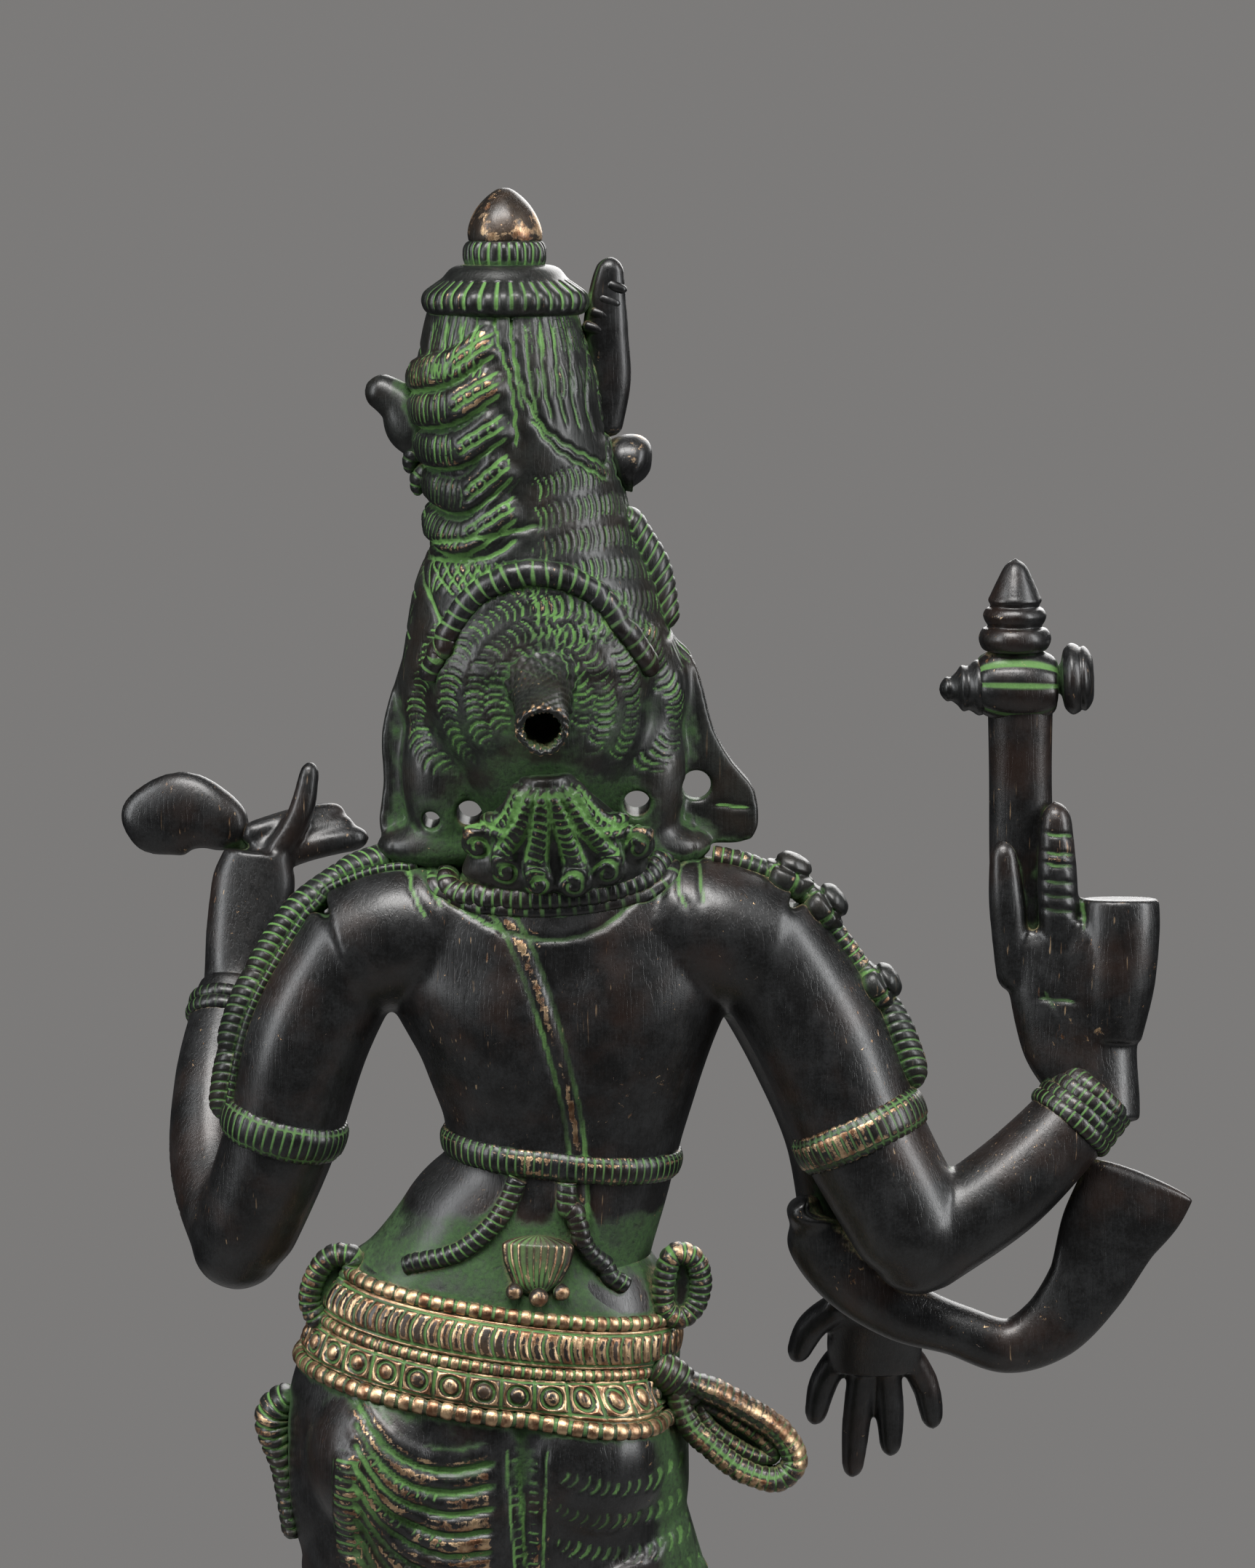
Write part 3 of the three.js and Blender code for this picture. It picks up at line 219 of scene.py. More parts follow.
def normalsOf(points, faces):
    a, b, c = (points[faces[:, k]] for k in range(3))
    d = points[faces[:, -1]]
    flat = np.cross(c - a, d - b) + np.cross(b - a, c - a) * 1e-3
    out = np.stack([sum(np.bincount(faces[:, k], flat[:, i], len(points)) for k in range(faces.shape[1]))
                    for i in range(3)], axis=1)
    return unit(out)


def skinOf(parts, voxel, rounds, holes=()):
    points, faces = fuse(parts, voxel, holes)
    points = relax(points, edgesOf(faces), rounds)
    return {"points": points, "faces": faces, "normals": normalsOf(points, faces),
            "lift": np.zeros(len(points)), "engraved": np.zeros(len(points)),
                "bloom": np.zeros(len(points))}


# the chaser's marks
def hash01(k, seed=0.0):
    return np.mod(np.sin(k * 127.1 + seed * 311.7) * 43758.5453, 1.0)


def easeIn(x, low, high):
    t = np.clip((x - low) / (high - low), 0, 1)
    return t * t * (3 - 2 * t)


def alongPath(flat, path):
    best = np.full(len(flat), 1e9)
    u, v = np.zeros(len(flat)), np.zeros(len(flat))
    start = 0.0
    for a, b in zip(path[:-1], path[1:]):
        ab = b - a
        length = max(np.hypot(*ab), 1e-6)
        rel = flat - a
        t = np.clip(rel @ ab / length**2, 0, 1)
        gapTo = rel - t[:, None] * ab
        distance = np.hypot(gapTo[:, 0], gapTo[:, 1])
        nearer = distance < best
        best[nearer] = distance[nearer]
        u[nearer] = start + t[nearer] * length
        v[nearer] = (distance * np.sign(ab[0] * rel[:, 1] - ab[1] * rel[:, 0]))[nearer]
        start += length
    return u, v, start


def nearPath(skin, path, reach, pieces=24, closed=False):
    path = np.asarray(path, float)
    if len(path) > 2:
        path = throughPoints(path, np.linspace(0, 1, pieces), closed)
    low, high = path.min(0) - reach, path.max(0) + reach
    inside = np.flatnonzero(skin["on"] & (skin["flat"] > low).all(1) & (skin["flat"] < high).all(1))
    u, v, length = alongPath(skin["flat"][inside], path)
    return inside, u, v, length


def cutLine(skin, path, line=0.34, depth=0.32, pieces=24, jitter=0.1):  # one groove, with thin ends
    inside, u, v, length = nearPath(skin, path, line * 3, pieces)
    v = v + jitter * np.sin(u * 2.3 + path[0][0]) * 0.5
    taper = easeIn(u, -0.05, 1.2) * easeIn(length - u, -0.05, 1.2)
    groove = np.exp(-(v / line) ** 2) * (0.25 + 0.75 * taper)
    skin["lift"][inside] -= depth * groove
    skin["engraved"][inside] = np.maximum(skin["engraved"][inside], groove)


def cutStrokes(skin, path, width, pitch=1.05, bow=0.5, lean=0.0, line=0.24, depth=0.3, seed=1.0, pieces=24):
    # a row of short bowed chisel cuts that cross the path
    inside, u, v, length = nearPath(skin, path, width * 1.2, pieces)
    across = v / width
    place = (u + bow * across**2 + lean * across) / pitch
    which = np.round(place)
    place = place + 0.16 * (hash01(which, seed) - 0.5)
    reach = 0.78 + 0.3 * hash01(which, seed + 3)
    window = easeIn(reach - np.abs(across), 0, 0.22) * easeIn(u, -0.2, 0.3) * easeIn(length - u, -0.2, 0.3)
    groove = np.exp(-((place - which) * pitch / line) ** 2) * window
    strong = 0.65 + 0.5 * hash01(which, seed + 7)
    ridge = (0.5 - np.abs(place - which)) * 0.16 * window
    skin["lift"][inside] += ridge * depth / 0.3 - depth * groove * strong
    skin["engraved"][inside] = np.maximum(skin["engraved"][inside], groove * strong)


def raiseRope(skin, path, width, height, pieces=24):
    inside, u, v, length = nearPath(skin, path, width * 1.2, pieces)
    ends = easeIn(u, -0.2, width) * easeIn(length - u, -0.2, width)
    skin["lift"][inside] += height * ends * np.sqrt(np.clip(1 - (v / width) ** 2, 0, 1))


def swell(skin, centre, reach, height):  # a soft bulge or hollow round a point
    away = (skin["points"] - centre) / reach
    skin["lift"] += height * np.exp(-(away**2).sum(1))


# finishes: what can be changed in each
finishValues = {
    "dark_patina": {"skin": (0.003, 0.003, 0.003, 1), "light": (0.013, 0.0135, 0.014, 1),
        "brown": (0.024, 0.012, 0.008, 1),
                    "verdigris": 0.4, "grooves": 0.85, "wear": 0.36, "chips": 0.5, "scratches": 0.55,
                        "dust": 0.7,
                    "rough": 0.2, "metal": 0.2},
    "verdigris_relief": {"skin": (0.003, 0.0035, 0.003, 1), "light": (0.012, 0.014, 0.012, 1),
                         "brown": (0.02, 0.012, 0.007, 1), "verdigris": 0.68, "grooves": 1.0, "wear": 0.24,
                             "chips": 0.2,
                         "scratches": 0.2, "dust": 0.6, "rough": 0.26, "metal": 0.2},
    "rubbed_brass": {"skin": (0.006, 0.005, 0.004, 1), "light": (0.022, 0.018, 0.013, 1),
        "brown": (0.07, 0.04, 0.022, 1),
                     "verdigris": 0.5, "grooves": 0.85, "wear": 0.86, "chips": 0.7, "scratches": 0.5,
                         "dust": 0.5,
                     "rough": 0.24, "metal": 0.3},
    "pedestal_bronze": {"skin": (0.004, 0.004, 0.004, 1), "light": (0.016, 0.015, 0.014, 1),
                        "brown": (0.03, 0.018, 0.01, 1), "verdigris": 0.46, "grooves": 0.85, "wear": 0.5,
                            "chips": 0.4,
                        "scratches": 0.5, "dust": 0.7, "rough": 0.26, "metal": 0.2},
}

# pieces
madePieces = []


def outward(points, faces):  # faces turned so that the skin encloses a positive volume
    p, f = np.asarray(points), np.asarray(faces)
    volume = 0.0
    for k in range(1, f.shape[1] - 1):
        volume += (p[f[:, 0]] * np.cross(p[f[:, k]], p[f[:, k + 1]])).sum()
    return f if volume > 0 else f[:, ::-1]


def addPiece(name, points, faces, slot, replaced=(), **marks):
    mesh = rawMesh(name, np.asarray(points) * mm, outward(points, faces))
    piece = bpy.data.objects.new(name, mesh)
    bpy.context.collection.objects.link(piece)
    mesh.polygons.foreach_set("use_smooth", np.ones(len(mesh.polygons), bool))
    for mark, values in marks.items():
        layer = mesh.attributes.new(mark, "FLOAT", "POINT")
        layer.data.foreach_set("value", np.asarray(values, np.float32)[:len(mesh.vertices)])
    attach(piece, "root")
    if replaced:
        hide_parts(*replaced)
    piece["finish"] = slot
    madePieces.append(piece)
    return piece


def finishSkin(name, skin, slot, replaced, soften=1):
    points = skin["points"] + skin["normals"] * skin["lift"][:, None]
    points = relax(points, edgesOf(skin["faces"]), soften, 0.3)
    return addPiece(name, points, skin["faces"], slot, replaced, engraved=np.clip(skin["engraved"], 0, 1),
                    bloom=skin["bloom"])


def treeOf(skin):
    points = skin["points"] + skin["normals"] * skin["lift"][:, None]
    return BVHTree.FromPolygons(points.tolist(), skin["faces"].tolist())


def hug(points, trees, lift):  # lays points on the nearest skin, lifted off it
    laid, outs = [], []
    for p in points:
        found = min((tree.find_nearest(Vector(p)) for tree in trees), key=lambda f: f[3])
        out = found[1].normalized()
        laid.append(np.array(found[0] + out * lift))
        outs.append(np.array(out))
    return np.array(laid), np.array(outs)


def evenly(path, step):
    path = np.asarray(path, float)
    lengths = np.concatenate([[0], np.cumsum(np.linalg.norm(np.diff(path, axis=0), axis=1))])
    count = max(int(lengths[-1] / step), 4)
    at = np.linspace(0, lengths[-1], count)
    return np.stack([np.interp(at, lengths, path[:, k]) for k in range(3)], axis=1), lengths[-1]


def ribbedCord(name, points, size, slot, replaced=(), trees=(), lift=0.0, pitch=1.25, rib=0.2, twist=0.0,
               flat=1.0, closed=False, taper=0.0, build=True, detail=6, grooveAt=()):
    shares = np.linspace(0, 1, 240, endpoint=not closed)
    path = throughPoints(points, shares, closed)
    if closed:
        path = np.vstack([path, path[:1]])
    outs = None
    if trees:
        path, outs = hug(path, trees, lift)
        smoothed = path.copy()
        for _ in range(6):
            smoothed[1:-1] = (smoothed[:-2] + smoothed[2:] + 2 * smoothed[1:-1]) / 4
        path = smoothed
    path, length = evenly(path, pitch / detail)
    rows = len(path) - 1 if closed else len(path)
    along = unit(np.gradient(path, axis=0))
    if trees:
        outs = np.array([min((tree.find_nearest(Vector(p)) for tree in trees), key=lambda f: f[3])[1]
            for p in path])
        for _ in range(8):
            outs[1:-1] = (outs[:-2] + outs[2:] + 2 * outs[1:-1]) / 4
    else:
        outs = np.tile(np.array((0.1, 1.0, 0.13)), (len(path), 1))
    outs = unit(outs - along * (outs * along).sum(1)[:, None])
    across = np.cross(along, outs)
    columns = 20
    turn = np.linspace(0, 2 * np.pi, columns, endpoint=False)
    u = np.arange(len(path)) * length / (len(path) - 1)
    wave = u[:, None] / pitch + twist * turn[None] / (2 * np.pi)
    groove = np.exp(-((wave - np.round(wave)) / 0.15) ** 2)
    ends = 1 - taper * (np.abs(u / length * 2 - 1) ** 2.5)
    radius = size * ends[:, None] * (1 - rib * groove + 0.06 * (hash01(np.round(wave), size) - 0.5))
    mark = groove.copy()
    for at in grooveAt:  # lengthwise grooves
        cut = np.exp(-((np.angle(np.exp(1j * (turn - at)))) / 0.16) ** 2)[None]
        radius = radius * (1 - 0.16 * cut)
        mark = np.maximum(mark, cut)
    ring = (across[:, None] * (np.cos(turn) * 1.0)[None, :, None] +
            outs[:, None] * (np.sin(turn) * flat)[None, :, None]) * radius[:, :, None]
    grid = path[:, None] + ring
    if closed:
        grid, mark = grid[:rows], mark[:rows]
        skin = grid.reshape(-1, 3), gridFaces(rows, columns, closeRows=True)
        mark = mark.ravel()
    else:
        skin = capped(grid.reshape(-1, 3), rows, columns)
        mark = np.concatenate([mark.ravel(), [0.5, 0.5]])
    if not build:
        return (*skin, mark)
    return addPiece(name, *skin, slot, replaced, engraved=mark)


def joined(parts):  # several (points, faces, mark) skins as one
    points, faces, marks, start = [], [], [], 0
    for p, f, m in parts:
        points.append(p)
        faces.append(outward(p, f) + start)
        marks.append(m)
        start += len(p)
    return np.vstack(points), np.vstack(faces), np.concatenate(marks)


# the figure's own points
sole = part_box("foot_plate")[1].z / mm
hips = off((7, 1.5, sole), 0, 0, 126)
waist = off((-1, 2.5, hips[2]), 0, 0, 23)
chest = off((-3.4, 2.5, hips[2]), 0, 0, 48)
shoulders = off((-2.6, 3, hips[2]), 0, 0, 63)
leftShoulder = off(shoulders, 28.5, 0, 0)
rightShoulder = off(shoulders, -28.5, 1, 0.5)
head = off((-0.6, 1.5, shoulders[2]), 0, 0, 31)
crownFoot = off(head, 0.6, 0, 7.5)
crownTop = off(crownFoot, 4.6, 3, 51.5)
leftElbow = off(leftShoulder, 16.6, -2.5, -44.5)
leftWrist = off(leftElbow, 3.2, -28.5, 30.5)
rearElbow = off(rightShoulder, -21.6, 4.5, -43)
rearWrist = off(rearElbow, -25.4, -4.5, 19.5)
frontElbow = off(rightShoulder, -12.6, -13, -43)
frontWrist = off(frontElbow, -5.6, -29, -18)
leftFoot = np.array((14, 1, sole))
rightFoot = np.array((-16, 1, sole))

trunk = [
    (off(hips, -2.4, 0.8, 8), 25.2, 16.2),
    (off(hips, -3.6, 1, 13), 23.4, 15.4),
    (off(waist, 2.8, 0, -3.4), 18.8, 13.2),
    (off(waist, -0.9, 0, 5), 15.8, 12),
    (off(waist, -2.2, 0, 13.5), 16.8, 12.4),
    (off(chest, 0, 0, -2), 20, 13.6),
    (off(shoulders, -0.4, -0.4, -5), 25, 13.6),
    (off(shoulders, 0, 0.4, 3), 25, 11.6),
    (off(shoulders, 0.4, 0.6, 10), 17.5, 9.4),
    (off(shoulders, 1, 0.6, 14), 9.8, 8.8),
]
hipBody = [
    (off(waist, 2.6, 0, -1), 14.6, 10.8),
    (off(hips, -4.6, 1, 13), 22.2, 15),
    (off(hips, -1.2, 0.6, 4), 26, 18),
    (off(hips, 0.5, 0, -6), 28.6, 19),
    (off(hips, 0.6, 0, -15), 28.6, 19),
    (off(hips, 0.6, 0, -26), 26.8, 17.6),
]
skirtLeg = [
    (off(hips, 12.6, 0, -18), 15, 16),
    (off(hips, 11, 0, -45), 15.4, 15.5),
    (off(leftFoot, 1.8, -1, 55), 11.6, 12.4),
    (off(leftFoot, 0.8, 0, 31.5), 9.8, 10.6),
    (off(leftFoot, 0, 0.8, 12.6), 9, 9.6),
    (off(leftFoot, 0, 0.8, 6.9), 10, 10.6),
]
bareLeg = [
    (off(hips, -14.4, 0, -18), 12.4, 14.5),
    (off(hips, -17, -2, -43), 12, 12.4),
    (off(rightFoot, -3, -8.5, 57), 8.6, 9),
    (off(rightFoot, -1.6, -2, 38), 7.8, 8.4),
    (off(rightFoot, 0, 1.4, 14), 4.9, 5.4),
    (off(rightFoot, 0, 1.6, 8), 5, 5.6),
]
crownBody = [
    (off(crownFoot, 0, 0, 0), 19.4, 17),
    (off(crownFoot, 0.6, 0, 11.3), 17, 15.4),
    (off(crownFoot, 1, 0.4, 18), 14.3, 14.3),
    (off(crownFoot, 2, 0.8, 25.8), 13.2, 13.4),
    (off(crownFoot, 3.2, 1.4, 31), 12.8, 13.6),
    (off(crownFoot, 4.3, 2, 38), 12.9, 13.4),
    (off(crownFoot, 4.8, 2.6, 46), 11.2, 11.8),
    (crownTop, 9.6, 9.5),
]
headBody = [
    (off(head, 0, -4.4, -13.8), 5, 6),
    (off(head, 0, -2, -9.5), 10.2, 12),
    (off(head, 0, 0, -1), 13.4, 15),
    (off(head, 0, 0.4, 8), 14.6, 16),
    (off(head, 0.4, 0.4, 15), 12.6, 13.6),
    (off(head, 0.6, 0.6, 20), 6.6, 7),
]
upperArm = {
    "left": [
        (off(leftShoulder, -1, 0, 1), 8.4),
        (off(leftShoulder, 6.6, 0, -13), 9),
        (off(leftShoulder, 10.8, -0.5, -28.5), 8.1),
        (off(leftElbow, -0.6, 0, 2), 7.2),
        (off(leftElbow, 1.2, -1, -3.8), 4.4),
    ],
    "rear": [
        (off(rightShoulder, 1, 0, 1), 8.8),
        (off(rightShoulder, -8, 1, -13.5), 9.4),
        (off(rightShoulder, -13.6, 2.2, -27), 9),
        (off(rearElbow, 0.6, 0, 2), 8.3),
        (off(rearElbow, -2, 0, -4.4), 4.8),
    ],
    "front": [
        (off(rightShoulder, 0.5, -5, -3), 8.8),
        (off(rightShoulder, -6.4, -9.5, -17), 8.4),
        (off(frontElbow, 1.6, 2, 13), 7.6),
        (off(frontElbow, 0, 0, 1), 7),
        (off(frontElbow, 0, -1, -4), 4),
    ],
}
forearm = {
    "left": [
        (off(leftElbow, 0.6, -1, 0), 6.4),
        (off(leftElbow, 4.4, -11.5, 8.5), 6.8),
        (off(leftElbow, 5, -20, 20), 6.2),
        (off(leftWrist, 0, -0.6, 1.5), 5.2),
    ],
    "rear": [
        (off(rearElbow, 0, 0, -0.4), 6.8),
        (off(rearElbow, -11.5, -1.4, 7.2), 6.7),
        (off(rearElbow, -19, -3, 14), 6.2),
        (off(rearWrist, 0, -0.5, 1.5), 5.6),
    ],
    "front": [
        (off(frontElbow, 0, -1, -0.5), 6.6),
        (off(frontElbow, -2, -11, -6), 6.8),
        (off(frontElbow, -4.2, -21, -12), 6),
        (off(frontWrist, -0.4, -1.5, -1), 5.2),
    ],
}

# the body: trunk and three arms fused into one skin
bodyValues = {"voxel": 0.5, "rounds": 10, "spineDepth": 0.9, "bladeHeight": 0.7, "breast": 8.4}


def makeBody():
    v = bodyValues
    parts = [loft(trunk, rows=60, columns=64)]
    for joint, out in ((leftShoulder, 1), (rightShoulder, -1)):
        parts.append(loft([(off(joint, -out * 15, 0.4, 3.5), 8.6), (off(joint, -out * 6, 0, 1), 10),
                           (off(joint, out, 0, -1.5), 9.6)], side=(0, 1, 0)))
    for key in upperArm:
        parts.append(loft(upperArm[key], side=(0, 1, 0)))
        parts.append(loft(forearm[key], side=(0, 0.3, 1)))
        elbow = forearm[key][0][0]
        parts.append(egg(elbow, (6.6, 6.6, 6.6)))
    parts.append(loft([(off(shoulders, 0.8, 0.6, 6), 9.2), (off(shoulders, 1.2, 0.2, 14), 8.4),
                       (off(shoulders, 1.4, 0, 21), 8.2)]))
    parts.append(egg(off(chest, 10.5, -8.6, 2), (v["breast"], 7.6, 7.8)))
    parts.append(egg(off(chest, -9.5, -6.6, 5), (9.5, 6.4, 6.6)))
    skin = skinOf(parts, v["voxel"], v["rounds"])
    points = skin["points"]
    back = np.clip(skin["normals"][:, 1], 0, 1)
    front = np.clip(-skin["normals"][:, 1], 0, 1)
    rise = points[:, 2] - waist[2]
    middle = -1 - 0.07 * np.clip(rise, 0, 45)
    trunkOnly = easeIn(rise, 4, 10) * easeIn(48 - rise, 0, 14)
    skin["lift"] -= v["spineDepth"] * back * trunkOnly * np.exp(-((points[:, 0] - middle) / 3.4) ** 2)
    for out in (-1, 1):
        swell(skin, off(chest, out * 11 - 1, 12, 4), (7, 9, 9), v["bladeHeight"])
        swell(skin, off(chest, out * 17, 10, -8), (4, 9, 5), 0.35)
    skin["lift"] -= 0.5 * front * trunkOnly * np.exp(-((points[:, 0] - middle) / 2.2) ** 2)
    swell(skin, off(chest, 10.8, -16.4, 1.6), (1.5, 2, 1.5), 0.9)  # nipples and navel
    swell(skin, off(chest, -9.6, -13, 4), (1.1, 2, 1.1), 0.5)
    swell(skin, off(waist, 0.4, -12, 1.5), (1.3, 3, 1.3), -1.2)
    skin["flat"] = points[:, [0, 2]]
    top = shoulders[2]

    skin["on"] = skin["normals"][:, 1] > -0.2
    sacred = [(15.2, top + 14), (9.6, top + 9.4), (4.4, top + 4.6), (0.4, top - 4), (-2.6, top - 14),
              (-4.8, top - 24), (-5.6, top - 33), (-5.6, top - 40)]
    for side in (-1, 1):  # the thread lies between two grooves that run together at the waist
        spread = np.linspace(1.7, 1, len(sacred))
        path = [(x + side * s, z) for (x, z), s in zip(sacred, spread)]
        cutLine(skin, path, line=0.46, depth=0.5, pieces=40, jitter=0.1)
    inside, _, w, _ = nearPath(skin, sacred, 4, 40)
    skin["lift"][inside] += 0.12 * np.exp(-(w / 0.9) ** 4)
    claws = [((18.6, 13.2), (17.6, 8.6), (15.2, 4)), ((15.8, 13.6), (15, 9.4), (13.2, 5.4)),
             ((-19.4, 13), (-19.2, 9), (-20.4, 5.6)), ((-22, 12.4), (-22.4, 9.2), (-22.6, 6))]
    for claw in claws:
        cutLine(skin, [(x, top + z) for x, z in claw], line=0.36, depth=0.36)
    collarEdge = [(15, 8.8), (8, 4.4), (3, 2.6), (-3, 2), (-8.6, 3.6), (-14, 8), (-17.6, 12)]
    cutLine(skin, [(x, top + z) for x, z in collarEdge], line=0.4, depth=0.45, pieces=40)

    # feather strip on the left forearm
    skin["on"] = (points[:, 1] < -4) & (points[:, 0] > 38)
    back = easeIn(points[:, 1], -3, 2)
    waistGreen = 2.0 * easeIn(hips[2] + 30 - points[:, 2], 0,
        6) * easeIn(30 - np.abs(points[:, 0] - hips[0]), 0, 6)
    neckGreen = 1.6 * easeIn(points[:, 2], top + 3, top + 10) * easeIn(24 - np.abs(points[:, 0] - head[0]),
        0, 10)
    skin["bloom"] = back * np.maximum(waistGreen, neckGreen)
    skin["flat"] = points[:, [1, 2]]
    fore = [(-6, leftElbow[2] + 2), (-14, leftElbow[2] + 10), (-22, leftElbow[2] + 20)]
    cutStrokes(skin, fore, 2.6, pitch=1.1, bow=1.4, depth=0.25)
    return skin


body = makeBody()
bodyTree = treeOf(body)
finishSkin("torso_and_arms", body, "dark_patina", ["torso", "left_arm", "right_rear_arm",
    "right_front_arm"])
print("stage: torso and arms,", len(body["points"]), "points")


# hips, skirted leg and bare leg
hipValues = {"voxel": 0.46, "rounds": 9, "foldDepth": 0.6}


def footParts(foot, turn):
    length = 30
    parts = [
        loft([(off(foot, 0, 7.4, 3.4), 2.4, 2.4), (off(foot, 0, 5.6, 4.2), 4, 4),
            (off(foot, 0, 1, 5.2), 4.4, 4.8),
              (off(foot, turn * 0.3, -6, 4.2), 4.8, 3.8), (off(foot, turn * 0.7, -length * 0.44, 2.8), 5.8,
                  2.4),
              (off(foot, turn * 0.85, -length * 0.56, 2.2), 5.2, 1.8)], rows=36, columns=32),
        loft([(off(foot, 0, 2, 2.8), 4.4, 5), (off(foot, 0, 2, 8), 4.1, 4.8),
            (off(foot, 0, 1.6, 15), 4.6, 5)]),
        egg(off(foot, 4.2, 2, 8.6), (1.6, 2, 2)), egg(off(foot, -4.2, 2, 8.2), (1.6, 2, 2)),
    ]
    inner = -np.sign(turn)
    for k in range(5):  # the big toe lies on the inner side
        across = inner * (4.4 - k * 2.25)
        reach = (-0.72, -0.74, -0.71, -0.67, -0.61)[k] * length
        thick = (1.7, 1.25, 1.2, 1.1, 1)[k]
        parts.append(loft([(off(foot, turn * 0.7 + across, -length * 0.46, 2.4), thick, thick * 1.1),
                           (off(foot, turn * 0.9 + across, reach + 3, 2), thick, thick * 0.95),
                           (off(foot, turn + across, reach, 1.5), thick * 0.8, thick * 0.8)], rows=14,
                               columns=14))
    return parts


